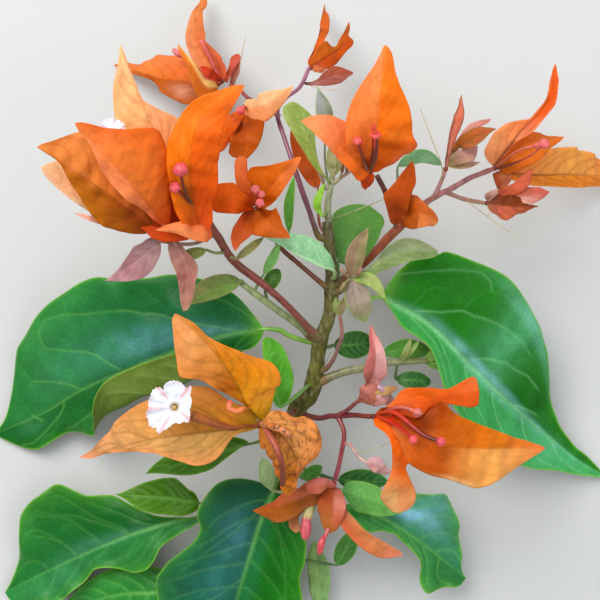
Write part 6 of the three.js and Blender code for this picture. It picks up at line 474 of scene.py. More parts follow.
        'q': [[(0.06, 0.55), (0.09, 0.58), (0.13, 0.63), (0.17, 0.68), (0.2, 0.72), (0.24, 0.77), (0.28, 0.81), (0.32, 0.85), (0.35, 0.87), (0.39, 0.88), (0.43, 0.9), (0.46, 0.91), (0.5, 0.93), (0.54, 0.94), (0.57, 0.96), (0.61, 0.99), (0.65, 1.01), (0.69, 1.03), (0.72, 1.05), (0.76, 1.09), (0.8, 1.14), (0.83, 1.21), (0.87, 1.3), (0.91, 1.28), (0.94, 1.3)], [(0.06, 0.04), (0.09, 0.03), (0.13, 0.13), (0.17, 0.23), (0.2, 0.3), (0.24, 0.37), (0.28, 0.41), (0.32, 0.45), (0.35, 0.49), (0.39, 0.55), (0.43, 0.62), (0.46, 0.71), (0.5, 0.79), (0.54, 0.86), (0.57, 0.95), (0.61, 1.01), (0.65, 0.98), (0.69, 0.97), (0.72, 0.97), (0.76, 0.98), (0.8, 0.99), (0.83, 1), (0.87, 1.02), (0.91, 1.08), (0.94, 1.22)]]},
    'f_3': {'node': 'bloom_middle', 'kind': 'bract', 'spine': [(-10.89, 26.19, 42.03), (-13.15, 31.13, 46.03), (-14.11, 37.01, 44.03)],
        'left': [1.98, 0.5, 0.4], 'right': [1.41, 0.5, 0.4], 'curl': [-10, -10],
        'q': [[(0.06, 1.3), (0.09, 1.66), (0.13, 1.45), (0.17, 1.31), (0.2, 1.22), (0.24, 1.15), (0.28, 1.11), (0.32, 1.08), (0.35, 1.06), (0.39, 1.05), (0.43, 1), (0.46, 0.94), (0.5, 0.9), (0.54, 0.88), (0.57, 0.87), (0.61, 0.87), (0.65, 0.89), (0.69, 0.88), (0.72, 0.87), (0.76, 0.88), (0.8, 0.9), (0.83, 0.94), (0.87, 1), (0.91, 0.99), (0.94, 0.98)], [(0.06, 1.28), (0.09, 1.09), (0.13, 1), (0.17, 0.96), (0.2, 0.93), (0.24, 0.92), (0.28, 0.91), (0.32, 0.91), (0.35, 0.91), (0.39, 0.91), (0.43, 0.91), (0.46, 0.9), (0.5, 0.91), (0.54, 0.94), (0.57, 0.97), (0.61, 0.99), (0.65, 1), (0.69, 1.02), (0.72, 1.03), (0.76, 1.08), (0.8, 1.13), (0.83, 1.2), (0.87, 1.3), (0.91, 1.46), (0.94, 1.55)]]},
    'f_4': {'node': 'bloom_middle', 'kind': 'bract', 'spine': [(-10.45, 25.75, 42.03), (-7.68, 22.58, 47.03), (-3.13, 18.91, 46.53)],
        'left': [3.38, 0.35, 0.6], 'right': [4.98, 0.35, 0.6], 'fold': [6, 2], 'curl': [-8, -12],
        'q': [[(0.06, 0.32), (0.09, 0.35), (0.13, 0.4), (0.17, 0.44), (0.2, 0.49), (0.24, 0.57), (0.28, 0.66), (0.32, 0.74), (0.35, 0.82), (0.39, 0.91), (0.43, 1.01), (0.46, 0.99), (0.5, 0.95), (0.54, 0.91), (0.57, 0.86), (0.61, 0.81), (0.65, 0.74), (0.69, 0.67), (0.72, 0.59), (0.76, 0.51), (0.8, 0.47), (0.83, 0.47), (0.87, 0.49), (0.91, 0.52), (0.94, 0.5)], [(0.06, 1.23), (0.09, 1.09), (0.13, 1.02), (0.17, 0.99), (0.2, 0.98), (0.24, 0.98), (0.28, 0.99), (0.32, 1.01), (0.35, 0.99), (0.39, 0.97), (0.43, 0.96), (0.46, 0.95), (0.5, 0.94), (0.54, 0.89), (0.57, 0.85), (0.61, 0.81), (0.65, 0.78), (0.69, 0.75), (0.72, 0.71), (0.76, 0.67), (0.8, 0.63), (0.83, 0.61), (0.87, 0.54), (0.91, 0.47), (0.94, 0.38)]]},
    'g_1': {'node': 'bloom_back_left', 'kind': 'bract', 'spine': [(-14.2, 50.04, 27.03), (-8.7, 49.84, 33.03), (-2.55, 54.16, 33.03)],
        'left': [2.94, 0.4, 0.7], 'right': [3.85, 0.4, 0.7], 'fold': [2, 2], 'curl': [-8, -12],
        'q': [[(0.06, 0.96), (0.09, 0.88), (0.13, 0.85), (0.17, 0.85), (0.2, 0.86), (0.24, 0.88), (0.28, 0.9), (0.32, 0.92), (0.35, 0.94), (0.39, 0.97), (0.43, 0.99), (0.46, 1.02), (0.5, 1.04), (0.54, 1.07), (0.57, 1.09), (0.61, 1.11), (0.65, 1.1), (0.69, 1.04), (0.72, 0.97), (0.76, 0.89), (0.8, 0.78), (0.83, 0.72), (0.87, 0.66), (0.91, 0.59), (0.94, 0.52)], [(0.06, 1), (0.09, 0.86), (0.13, 0.79), (0.17, 0.75), (0.2, 0.73), (0.24, 0.72), (0.28, 0.72), (0.32, 0.73), (0.35, 0.75), (0.39, 0.78), (0.43, 1.01), (0.46, 0.95), (0.5, 0.9), (0.54, 0.85), (0.57, 0.79), (0.61, 0.75), (0.65, 0.72), (0.69, 0.72), (0.72, 0.7), (0.76, 0.68), (0.8, 0.67), (0.83, 0.67), (0.87, 0.68), (0.91, 0.71), (0.94, 0.69)]]},
    'g_2': {'node': 'bloom_back_left', 'kind': 'bract', 'spine': [(-13.94, 48.8, 27.53), (-13.17, 42.53, 35.03), (-13.85, 37.1, 35.03)],
        'left': [4.37, 0.5, 0.4], 'right': [3.56, 0.5, 0.4], 'fold': [4, 4], 'curl': [-14, -10],
        'q': [[(0.06, 0.04), (0.09, 0.36), (0.13, 0.68), (0.17, 0.87), (0.2, 1.02), (0.24, 1.12), (0.28, 1.09), (0.32, 1.07), (0.35, 1.05), (0.39, 1.05), (0.43, 1.01), (0.46, 0.97), (0.5, 0.94), (0.54, 0.91), (0.57, 0.88), (0.61, 0.86), (0.65, 0.84), (0.69, 0.81), (0.72, 0.77), (0.76, 0.73), (0.8, 0.7), (0.83, 0.66), (0.87, 0.6), (0.91, 0.55), (0.94, 0.5)], [(0.06, 0.21), (0.09, 0.8), (0.13, 0.77), (0.17, 0.76), (0.2, 0.76), (0.24, 0.77), (0.28, 0.78), (0.32, 0.8), (0.35, 0.81), (0.39, 0.82), (0.43, 0.83), (0.46, 0.84), (0.5, 0.86), (0.54, 0.88), (0.57, 0.91), (0.61, 0.94), (0.65, 0.97), (0.69, 1), (0.72, 1.05), (0.76, 1.09), (0.8, 1.14), (0.83, 1.2), (0.87, 1.29), (0.91, 1.44), (0.94, 1.72)]]},
    'h_1': {'node': 'bloom_far_right', 'kind': 'bract', 'spine': [(43.67, 36.02, 30.03), (45.42, 38.56, 32.03), (47.01, 40.67, 33.53), (49.11, 43.72, 34.53), (51.83, 46.44, 34.53), (54.83, 49.84, 33.03), (56.91, 53.65, 30.53), (58.59, 60.44, 26.03)],
        'left': [4.82, 0.5, 0.7], 'right': [2.27, 0.5, 0.7], 'fold': [6, 24], 'curl': [-4, 6],
        'q': [[(0.05, 1.64), (0.08, 1.43), (0.1, 1.33), (0.13, 1.26), (0.16, 1.21), (0.19, 1.17), (0.22, 1.13), (0.25, 1.04), (0.27, 0.95), (0.3, 0.85), (0.33, 0.62), (0.36, 0.45), (0.39, 0.3), (0.41, 0.16), (0.44, 0.11), (0.47, 0.12), (0.5, 0.13), (0.53, 0.14), (0.56, 0.14), (0.58, 0.14), (0.61, 0.12), (0.64, 0.16), (0.67, 0.2), (0.7, 0.23), (0.73, 0.24), (0.75, 0.25), (0.78, 0.27), (0.81, 0.27), (0.84, 0.28), (0.87, 0.29), (0.9, 0.3), (0.92, 0.32), (0.95, 0.37)], [(0.05, 0.38), (0.08, 0.27), (0.1, 0.28), (0.13, 0.29), (0.16, 0.29), (0.19, 0.26), (0.22, 0.24), (0.25, 0.34), (0.27, 0.49), (0.3, 0.63), (0.33, 0.76), (0.36, 0.84), (0.39, 0.9), (0.41, 0.91), (0.44, 0.93), (0.47, 0.96), (0.5, 1), (0.53, 1), (0.56, 1.02), (0.58, 1.07), (0.61, 1.06), (0.64, 0.95), (0.67, 0.87), (0.7, 0.82), (0.73, 0.79), (0.75, 0.78), (0.78, 0.81), (0.81, 0.86), (0.84, 0.91), (0.87, 0.85), (0.9, 0.79), (0.92, 0.74), (0.95, 0.71)]]},
    'h_2': {'node': 'bloom_far_right', 'kind': 'bract', 'spine': [(44.82, 35.57, 30.03), (51.68, 39.99, 31.53), (59.97, 43.05, 29.03)],
        'left': [3.47, 0.5, 0.7], 'right': [3.28, 0.5, 0.7], 'curl': [-6, -6],
        'q': [[(0.06, 0.97), (0.09, 0.86), (0.13, 0.82), (0.17, 0.82), (0.2, 0.82), (0.24, 0.82), (0.28, 0.83), (0.32, 0.86), (0.35, 0.89), (0.39, 0.92), (0.43, 0.95), (0.46, 0.99), (0.5, 1.02), (0.54, 1.03), (0.57, 1.05), (0.61, 1.09), (0.65, 0.96), (0.69, 0.83), (0.72, 0.69), (0.76, 0.6), (0.8, 0.56), (0.83, 0.53), (0.87, 0.49), (0.91, 0.45), (0.94, 0.39)], [(0.06, 1.23), (0.09, 1.07), (0.13, 1.02), (0.17, 1), (0.2, 1), (0.24, 0.99), (0.28, 0.98), (0.32, 0.98), (0.35, 0.98), (0.39, 0.99), (0.43, 1), (0.46, 1), (0.5, 1.01), (0.54, 1.03), (0.57, 0.99), (0.61, 0.94), (0.65, 0.89), (0.69, 0.85), (0.72, 0.79), (0.76, 0.73), (0.8, 0.68), (0.83, 0.64), (0.87, 0.6), (0.91, 0.56), (0.94, 0.53)]]},
    'h_3': {'node': 'bloom_far_right', 'kind': 'bract', 'spine': [(44.82, 34.99, 30.03), (53.47, 34.76, 24.03), (65.05, 35.89, 13.53), (78.07, 36.49, 0.73)],
        'left': [6.61, 0.5, 0.7], 'right': [3.16, 0.5, 0.7], 'fold': [6, -2], 'curl': [-8, -10],
        'q': [[(0.06, 0.3), (0.09, 0.4), (0.13, 0.48), (0.17, 0.56), (0.2, 0.63), (0.24, 0.69), (0.28, 0.75), (0.32, 0.81), (0.35, 0.87), (0.39, 0.94), (0.43, 0.96), (0.46, 0.99), (0.5, 1.02), (0.54, 1.03), (0.57, 1.06), (0.61, 1.09), (0.65, 1.09), (0.69, 1.11), (0.72, 1.14), (0.76, 1.16), (0.8, 1.18), (0.83, 1.24), (0.87, 1.28), (0.91, 1.28), (0.94, 1.36)], [(0.06, 0.76), (0.09, 0.75), (0.13, 0.78), (0.17, 0.8), (0.2, 0.84), (0.24, 0.87), (0.28, 0.85), (0.32, 0.85), (0.35, 0.86), (0.39, 0.88), (0.43, 0.91), (0.46, 0.94), (0.5, 0.97), (0.54, 1.01), (0.57, 1.05), (0.61, 1.1), (0.65, 1.13), (0.69, 1.16), (0.72, 1.2), (0.76, 1.25), (0.8, 1.32), (0.83, 1.44), (0.87, 1.49), (0.91, 1.54), (0.94, 1.72)]]},
    'i_1': {'node': 'bud_right_upper', 'kind': 'bract', 'spine': [(31.95, 35.09, 37.03), (32.34, 38.51, 38.53), (33.52, 43.49, 38.03), (35.76, 51.96, 34.03)],
        'left': [1.02, 0.5, 0.7], 'right': [1.55, 0.5, 0.7], 'fold': [14, 14], 'curl': [10, 10],
        'q': [[(0.06, 0.99), (0.09, 0.84), (0.13, 0.78), (0.17, 0.77), (0.2, 0.77), (0.24, 0.68), (0.28, 0.62), (0.32, 0.58), (0.35, 0.65), (0.39, 0.82), (0.43, 1), (0.46, 1), (0.5, 0.99), (0.54, 0.99), (0.57, 0.99), (0.61, 0.94), (0.65, 0.86), (0.69, 0.8), (0.72, 0.72), (0.76, 0.71), (0.8, 0.7), (0.83, 0.7), (0.87, 0.71), (0.91, 0.71), (0.94, 0.69)], [(0.06, 0.77), (0.09, 0.69), (0.13, 0.66), (0.17, 0.65), (0.2, 0.64), (0.24, 0.63), (0.28, 0.62), (0.32, 0.61), (0.35, 0.64), (0.39, 0.68), (0.43, 0.73), (0.46, 0.78), (0.5, 0.84), (0.54, 0.92), (0.57, 1), (0.61, 1.09), (0.65, 1.14), (0.69, 1.19), (0.72, 1.26), (0.76, 1.29), (0.8, 1.17), (0.83, 1.06), (0.87, 0.91), (0.91, 0.77), (0.94, 0.64)]]},
    'i_2': {'node': 'bud_right_upper', 'kind': 'bract', 'spine': [(32.12, 36.72, 38.53), (34.94, 40.89, 41.03), (41.22, 45.4, 42.03)],
        'left': [1.8, 0.5, 0.7], 'right': [0.76, 0.5, 0.7], 'fold': [6, 6],
        'q': [[(0.06, 0.37), (0.09, 0.36), (0.13, 0.36), (0.17, 0.37), (0.2, 0.39), (0.24, 0.39), (0.28, 0.4), (0.32, 0.41), (0.35, 0.45), (0.39, 0.51), (0.43, 0.58), (0.46, 0.67), (0.5, 0.79), (0.54, 0.9), (0.57, 0.95), (0.61, 1.02), (0.65, 1.11), (0.69, 1.2), (0.72, 1.18), (0.76, 1.16), (0.8, 1.16), (0.83, 1.19), (0.87, 1.14), (0.91, 1.03), (0.94, 0.91)], [(0.06, 1.35), (0.09, 1.17), (0.13, 1.1), (0.17, 1.08), (0.2, 1.07), (0.24, 1.06), (0.28, 1.05), (0.32, 1.03), (0.35, 0.98), (0.39, 0.92), (0.43, 0.82), (0.46, 0.7), (0.5, 0.55), (0.54, 0.39), (0.57, 0.19), (0.61, 0.15), (0.65, 0.17), (0.69, 0.18), (0.72, 0.19), (0.76, 0.25), (0.8, 0.38), (0.83, 0.55), (0.87, 0.78), (0.91, 1.16), (0.94, 1.16)]]},
    'i_3': {'node': 'bud_right_upper', 'kind': 'bract', 'spine': [(32.51, 38.01, 39.03), (36.39, 40.58, 43.53), (42.17, 43.06, 43.03)],
        'left': [2.05, 0.5, 0.7], 'right': [1.82, 0.5, 0.7], 'fold': [12, 12], 'curl': [-10, -10],
        'q': [[(0.06, 0.47), (0.09, 0.51), (0.13, 0.56), (0.17, 0.61), (0.2, 0.66), (0.24, 0.71), (0.28, 0.78), (0.32, 0.8), (0.35, 0.83), (0.39, 0.87), (0.43, 0.93), (0.46, 0.95), (0.5, 0.97), (0.54, 1), (0.57, 1.06), (0.61, 1.1), (0.65, 1.09), (0.69, 1.11), (0.72, 1.14), (0.76, 1.16), (0.8, 1.1), (0.83, 1.06), (0.87, 1.01), (0.91, 0.97), (0.94, 0.88)], [(0.06, 0.35), (0.09, 0.14), (0.13, 0.05), (0.17, 0.04), (0.2, 0.04), (0.24, 0.19), (0.28, 0.36), (0.32, 0.52), (0.35, 0.65), (0.39, 0.74), (0.43, 0.83), (0.46, 0.92), (0.5, 1.02), (0.54, 1.02), (0.57, 0.99), (0.61, 0.97), (0.65, 0.94), (0.69, 0.92), (0.72, 0.87), (0.76, 0.77), (0.8, 0.66), (0.83, 0.55), (0.87, 0.41), (0.91, 0.38), (0.94, 0.36)]]},
    'i_4': {'node': 'bud_right_upper', 'kind': 'bract', 'spine': [(32.4, 36.1, 38.03), (35.16, 37.56, 41.03), (38.51, 39.67, 40.03)],
        'left': [1.6, 0.5, 0.7], 'right': [2.39, 0.5, 0.7], 'fold': [6, 6], 'curl': [-8, -8],
        'q': [[(0.06, 0.59), (0.09, 0.67), (0.13, 0.76), (0.17, 0.85), (0.2, 0.85), (0.24, 0.86), (0.28, 0.87), (0.32, 0.89), (0.35, 0.92), (0.39, 0.96), (0.43, 1), (0.46, 0.98), (0.5, 0.92), (0.54, 0.85), (0.57, 0.78), (0.61, 0.71), (0.65, 0.64), (0.69, 0.6), (0.72, 0.57), (0.76, 0.54), (0.8, 0.51), (0.83, 0.49), (0.87, 0.47), (0.91, 0.45), (0.94, 0.45)], [(0.06, 0.59), (0.09, 0.63), (0.13, 0.68), (0.17, 0.7), (0.2, 0.68), (0.24, 0.67), (0.28, 0.68), (0.32, 0.68), (0.35, 0.69), (0.39, 0.71), (0.43, 0.74), (0.46, 0.78), (0.5, 0.82), (0.54, 0.88), (0.57, 0.95), (0.61, 1.02), (0.65, 1.11), (0.69, 1.2), (0.72, 1.18), (0.76, 1.17), (0.8, 1.18), (0.83, 1.21), (0.87, 1.19), (0.91, 1.11), (0.94, 1.04)]]},
    'j_1': {'node': 'bud_right_lower', 'kind': 'bract', 'spine': [(42.62, 28.26, 29.33), (46.33, 30.44, 33.53), (51.53, 35.04, 33.03)],
        'left': [1.28, 0.5, 0.7], 'right': [2.41, 0.5, 0.7], 'fold': [8, 8], 'curl': [-10, -10],
        'q': [[(0.06, 0.93), (0.09, 0.96), (0.13, 1.03), (0.17, 1.1), (0.2, 1.15), (0.24, 1.08), (0.28, 1.03), (0.32, 0.99), (0.35, 0.95), (0.39, 0.91), (0.43, 0.86), (0.46, 0.78), (0.5, 0.69), (0.54, 0.59), (0.57, 0.48), (0.61, 0.35), (0.65, 0.32), (0.69, 0.33), (0.72, 0.34), (0.76, 0.35), (0.8, 0.36), (0.83, 0.37), (0.87, 0.37), (0.91, 0.37), (0.94, 0.4)], [(0.06, 0.79), (0.09, 0.66), (0.13, 0.6), (0.17, 0.57), (0.2, 0.55), (0.24, 0.56), (0.28, 0.57), (0.32, 0.6), (0.35, 0.64), (0.39, 0.69), (0.43, 0.76), (0.46, 0.85), (0.5, 0.9), (0.54, 0.94), (0.57, 1), (0.61, 1.06), (0.65, 1.14), (0.69, 1.19), (0.72, 1.25), (0.76, 1.34), (0.8, 1.45), (0.83, 1.49), (0.87, 1.56), (0.91, 1.71), (0.94, 1.69)]]},
    'j_2': {'node': 'bud_right_lower', 'kind': 'bract', 'spine': [(42.62, 28.03, 29.33), (48, 28.66, 33.03), (56.24, 30.19, 31.03)],
        'left': [2.01, 0.5, 0.7], 'right': [2.02, 0.5, 0.7], 'fold': [6, 6], 'curl': [-6, -10],
        'q': [[(0.06, 0.55), (0.09, 0.56), (0.13, 0.59), (0.17, 0.64), (0.2, 0.68), (0.24, 0.7), (0.28, 0.72), (0.32, 0.74), (0.35, 0.78), (0.39, 0.81), (0.43, 0.86), (0.46, 0.91), (0.5, 0.94), (0.54, 0.97), (0.57, 1.02), (0.61, 1.08), (0.65, 1.14), (0.69, 1.14), (0.72, 1.15), (0.76, 1.17), (0.8, 1.2), (0.83, 1.27), (0.87, 1.24), (0.91, 1.13), (0.94, 1.03)], [(0.06, 0.77), (0.09, 0.64), (0.13, 0.58), (0.17, 0.55), (0.2, 0.53), (0.24, 0.53), (0.28, 0.53), (0.32, 0.54), (0.35, 0.55), (0.39, 0.57), (0.43, 0.6), (0.46, 0.63), (0.5, 0.67), (0.54, 0.77), (0.57, 0.88), (0.61, 1), (0.65, 1.14), (0.69, 1.19), (0.72, 1.16), (0.76, 1.15), (0.8, 1.15), (0.83, 1.17), (0.87, 1.22), (0.91, 1.14), (0.94, 1)]]},
    'j_3': {'node': 'bud_right_lower', 'kind': 'bract', 'spine': [(42.13, 27.9, 29.53), (46.62, 26.73, 34.53), (54.08, 27.01, 29.03)],
        'left': [2.56, 0.5, 0.7], 'right': [3.43, 0.5, 0.7], 'fold': [6, -6], 'curl': [-14, -30],
        'q': [[(0.06, 1.05), (0.09, 1.04), (0.13, 0.97), (0.17, 0.94), (0.2, 0.93), (0.24, 0.94), (0.28, 0.93), (0.32, 0.93), (0.35, 0.94), (0.39, 0.96), (0.43, 0.97), (0.46, 0.99), (0.5, 1.02), (0.54, 1), (0.57, 0.94), (0.61, 0.89), (0.65, 0.84), (0.69, 0.79), (0.72, 0.63), (0.76, 0.46), (0.8, 0.26), (0.83, 0.26), (0.87, 0.26), (0.91, 0.26), (0.94, 0.29)], [(0.06, 0.9), (0.09, 0.85), (0.13, 0.86), (0.17, 0.87), (0.2, 0.86), (0.24, 0.88), (0.28, 0.92), (0.32, 0.97), (0.35, 0.98), (0.39, 0.98), (0.43, 1), (0.46, 0.89), (0.5, 0.78), (0.54, 0.7), (0.57, 0.62), (0.61, 0.6), (0.65, 0.59), (0.69, 0.59), (0.72, 0.56), (0.76, 0.51), (0.8, 0.45), (0.83, 0.4), (0.87, 0.36), (0.91, 0.31), (0.94, 0.24)]]},
    'k_1': {'node': 'bloom_lower_left', 'kind': 'bract', 'spine': [(-9.72, -21.97, 37.03), (-12.9, -17.57, 41.53), (-14.96, -12.73, 44.53), (-18.96, -6.5, 47.03), (-23.3, -1.94, 47.03), (-28.28, 2.39, 46.03)],
        'left': [9.31, 0.5, 0.5], 'right': [9.5, 0.5, 0.5], 'fold': [8, 6], 'curl': [-6, -14],
        'q': [[(0.05, 0.03), (0.08, 0.03), (0.1, 0.03), (0.13, 0.03), (0.16, 0.04), (0.19, 0.05), (0.22, 0.08), (0.25, 0.12), (0.27, 0.19), (0.3, 0.27), (0.33, 0.35), (0.36, 0.41), (0.39, 0.43), (0.41, 0.46), (0.44, 0.49), (0.47, 0.53), (0.5, 0.58), (0.53, 0.63), (0.56, 0.69), (0.58, 0.77), (0.61, 0.87), (0.64, 0.97), (0.67, 1.06), (0.7, 1.05), (0.73, 1.03), (0.75, 0.99), (0.78, 0.94), (0.81, 0.89), (0.84, 0.85), (0.87, 0.8), (0.9, 0.73), (0.92, 0.67), (0.95, 0.58)], [(0.05, 0.99), (0.08, 0.93), (0.1, 0.98), (0.13, 1.09), (0.16, 1.14), (0.19, 1.12), (0.22, 1.08), (0.25, 1.04), (0.27, 1.03), (0.3, 1.05), (0.33, 1.06), (0.36, 1.04), (0.39, 0.99), (0.41, 0.9), (0.44, 0.79), (0.47, 0.68), (0.5, 0.59), (0.53, 0.52), (0.56, 0.46), (0.58, 0.4), (0.61, 0.34), (0.64, 0.28), (0.67, 0.23), (0.7, 0.18), (0.73, 0.16), (0.75, 0.15), (0.78, 0.15), (0.81, 0.17), (0.84, 0.18), (0.87, 0.2), (0.9, 0.19), (0.92, 0.17), (0.95, 0.16)]]},
    'k_2': {'node': 'bloom_lower_left', 'kind': 'bract', 'spine': [(-10.18, -22.92, 36.53), (-16.52, -23.25, 40.03), (-23.48, -23.93, 42.03), (-30.76, -24.81, 42.03), (-36.41, -26.03, 41.03), (-50.71, -30.07, 35.03)],
        'left': [7.23, 0.5, 0.7], 'right': [10.46, 0.5, 0.7], 'fold': [6, 6], 'curl': [-8, -8],
        'q': [[(0.05, 0.24), (0.08, 0.24), (0.1, 0.23), (0.13, 0.23), (0.16, 0.25), (0.19, 0.5), (0.22, 0.83), (0.25, 0.93), (0.27, 0.99), (0.3, 1.01), (0.33, 1.02), (0.36, 0.99), (0.39, 0.94), (0.41, 0.87), (0.44, 0.8), (0.47, 0.73), (0.5, 0.65), (0.53, 0.58), (0.56, 0.52), (0.58, 0.45), (0.61, 0.4), (0.64, 0.35), (0.67, 0.31), (0.7, 0.28), (0.73, 0.25), (0.75, 0.22), (0.78, 0.2), (0.81, 0.19), (0.84, 0.18), (0.87, 0.21), (0.9, 0.27), (0.92, 0.36), (0.95, 0.42)], [(0.05, 0.72), (0.08, 0.7), (0.1, 0.72), (0.13, 0.74), (0.16, 0.77), (0.19, 0.84), (0.22, 0.94), (0.25, 1.01), (0.27, 1.01), (0.3, 1.02), (0.33, 1.02), (0.36, 1), (0.39, 0.98), (0.41, 0.96), (0.44, 0.94), (0.47, 0.92), (0.5, 0.89), (0.53, 0.88), (0.56, 0.86), (0.58, 0.85), (0.61, 0.83), (0.64, 0.81), (0.67, 0.79), (0.7, 0.76), (0.73, 0.73), (0.75, 0.68), (0.78, 0.62), (0.81, 0.56), (0.84, 0.49), (0.87, 0.4), (0.9, 0.27), (0.92, 0.23), (0.95, 0.19)]]},
    'k_3': {'node': 'bloom_lower_left', 'kind': 'bract', 'spine': [(-9.93, -22.6, 37.53), (-6.48, -23.49, 42.03), (-3.59, -25.92, 44.03), (-1.83, -29.71, 43.53), (-2.28, -33.78, 41.03), (-3.87, -38.44, 38.03)],
        'left': [7.33, 0.5, 0.5], 'right': [5.43, 0.5, 0.5], 'fold': [6, 6], 'curl': [-26, -22],
        'q': [[(0.05, 0.7), (0.08, 0.69), (0.1, 0.75), (0.13, 0.84), (0.16, 0.88), (0.19, 0.83), (0.22, 0.8), (0.25, 0.76), (0.27, 0.73), (0.3, 0.76), (0.33, 0.93), (0.36, 0.97), (0.39, 1), (0.41, 1.01), (0.44, 1), (0.47, 0.98), (0.5, 0.93), (0.53, 0.9), (0.56, 0.8), (0.58, 0.68), (0.61, 0.52), (0.64, 0.37), (0.67, 0.27), (0.7, 0.19), (0.73, 0.17), (0.75, 0.17), (0.78, 0.17), (0.81, 0.18), (0.84, 0.19), (0.87, 0.21), (0.9, 0.24), (0.92, 0.24), (0.95, 0.23)], [(0.05, 2.07), (0.08, 1.72), (0.1, 1.53), (0.13, 1.41), (0.16, 1.32), (0.19, 1.25), (0.22, 1.19), (0.25, 1.14), (0.27, 1.11), (0.3, 1.09), (0.33, 1.06), (0.36, 1.04), (0.39, 1.02), (0.41, 1), (0.44, 0.99), (0.47, 0.98), (0.5, 0.98), (0.53, 0.98), (0.56, 0.98), (0.58, 0.99), (0.61, 1.01), (0.64, 1.02), (0.67, 1.02), (0.7, 1), (0.73, 0.96), (0.75, 0.92), (0.78, 0.89), (0.81, 0.86), (0.84, 0.82), (0.87, 0.8), (0.9, 0.76), (0.92, 0.76), (0.95, 0.86)]]},
    'l_1': {'node': 'bloom_lower_right', 'kind': 'bract', 'spine': [(16.22, -20.56, 39.03), (23.43, -23.09, 46.03), (31.91, -26.35, 48.03), (53.52, -27.47, 40.03)],
        'left': [8.85, 0.5, 0.7], 'right': [8.71, 0.5, 0.7], 'fold': [6, 4], 'curl': [-6, -10],
        'q': [[(0.05, 0.56), (0.08, 0.57), (0.1, 0.59), (0.13, 0.62), (0.16, 0.65), (0.19, 0.69), (0.22, 0.75), (0.25, 0.83), (0.27, 0.94), (0.3, 1), (0.33, 1.02), (0.36, 0.98), (0.39, 0.94), (0.41, 0.88), (0.44, 0.84), (0.47, 0.81), (0.5, 0.77), (0.53, 0.74), (0.56, 0.71), (0.58, 0.68), (0.61, 0.65), (0.64, 0.61), (0.67, 0.59), (0.7, 0.56), (0.73, 0.53), (0.75, 0.5), (0.78, 0.47), (0.81, 0.43), (0.84, 0.41), (0.87, 0.41), (0.9, 0.41), (0.92, 0.38), (0.95, 0.33)], [(0.05, 0.22), (0.08, 0.24), (0.1, 0.26), (0.13, 0.31), (0.16, 0.38), (0.19, 0.45), (0.22, 0.57), (0.25, 0.68), (0.27, 0.71), (0.3, 0.75), (0.33, 0.78), (0.36, 0.79), (0.39, 0.81), (0.41, 0.82), (0.44, 0.82), (0.47, 0.82), (0.5, 0.87), (0.53, 0.93), (0.56, 0.99), (0.58, 1.04), (0.61, 1.1), (0.64, 1.1), (0.67, 1.1), (0.7, 1.06), (0.73, 1.03), (0.75, 1), (0.78, 0.97), (0.81, 0.93), (0.84, 0.88), (0.87, 0.81), (0.9, 0.74), (0.92, 0.68), (0.95, 0.61)]]},
    'l_2': {'node': 'bloom_lower_right', 'kind': 'bract', 'spine': [(15.75, -20.29, 39.53), (20.78, -17.17, 46.53), (27.58, -15.54, 48.03), (38.02, -14.38, 46.03)],
        'left': [3.36, 0.5, 0.12], 'right': [3.93, 0.5, 0.12], 'fold': [8, 4], 'curl': [-10, -14],
        'q': [[(0.05, 0.58), (0.08, 0.61), (0.12, 0.57), (0.15, 0.48), (0.18, 0.41), (0.21, 0.36), (0.24, 0.34), (0.28, 0.42), (0.31, 0.53), (0.34, 0.74), (0.37, 1.01), (0.4, 1.04), (0.44, 1.07), (0.47, 0.97), (0.5, 0.88), (0.53, 0.81), (0.56, 0.74), (0.6, 0.67), (0.63, 0.59), (0.66, 0.51), (0.69, 0.44), (0.72, 0.38), (0.76, 0.37), (0.79, 0.46), (0.82, 0.57), (0.85, 0.69), (0.88, 0.83), (0.92, 0.98), (0.95, 1.08)], [(0.05, 1.36), (0.08, 1.12), (0.12, 1), (0.15, 0.93), (0.18, 0.88), (0.21, 0.87), (0.24, 0.89), (0.28, 0.91), (0.31, 0.92), (0.34, 0.94), (0.37, 1.04), (0.4, 1.15), (0.44, 1.2), (0.47, 1.12), (0.5, 1.05), (0.53, 0.91), (0.56, 0.71), (0.6, 0.62), (0.63, 0.57), (0.66, 0.53), (0.69, 0.52), (0.72, 0.51), (0.76, 0.56), (0.79, 0.6), (0.82, 0.66), (0.85, 0.71), (0.88, 0.79), (0.92, 0.92), (0.95, 0.93)]]},
    'l_3': {'node': 'bloom_lower_right', 'kind': 'bract', 'spine': [(15.54, -20.65, 39.23), (19.51, -22.73, 43.03), (21.45, -27.07, 43.53), (20.94, -32.61, 41.53), (21.25, -42.82, 34.53)],
        'left': [4.09, 0.5, 0.4], 'right': [4.04, 0.5, 0.4], 'fold': [6, 6], 'curl': [[0, 0, 0, -10, -20, -24], [0, 0, 0, -10, -20, -24]],
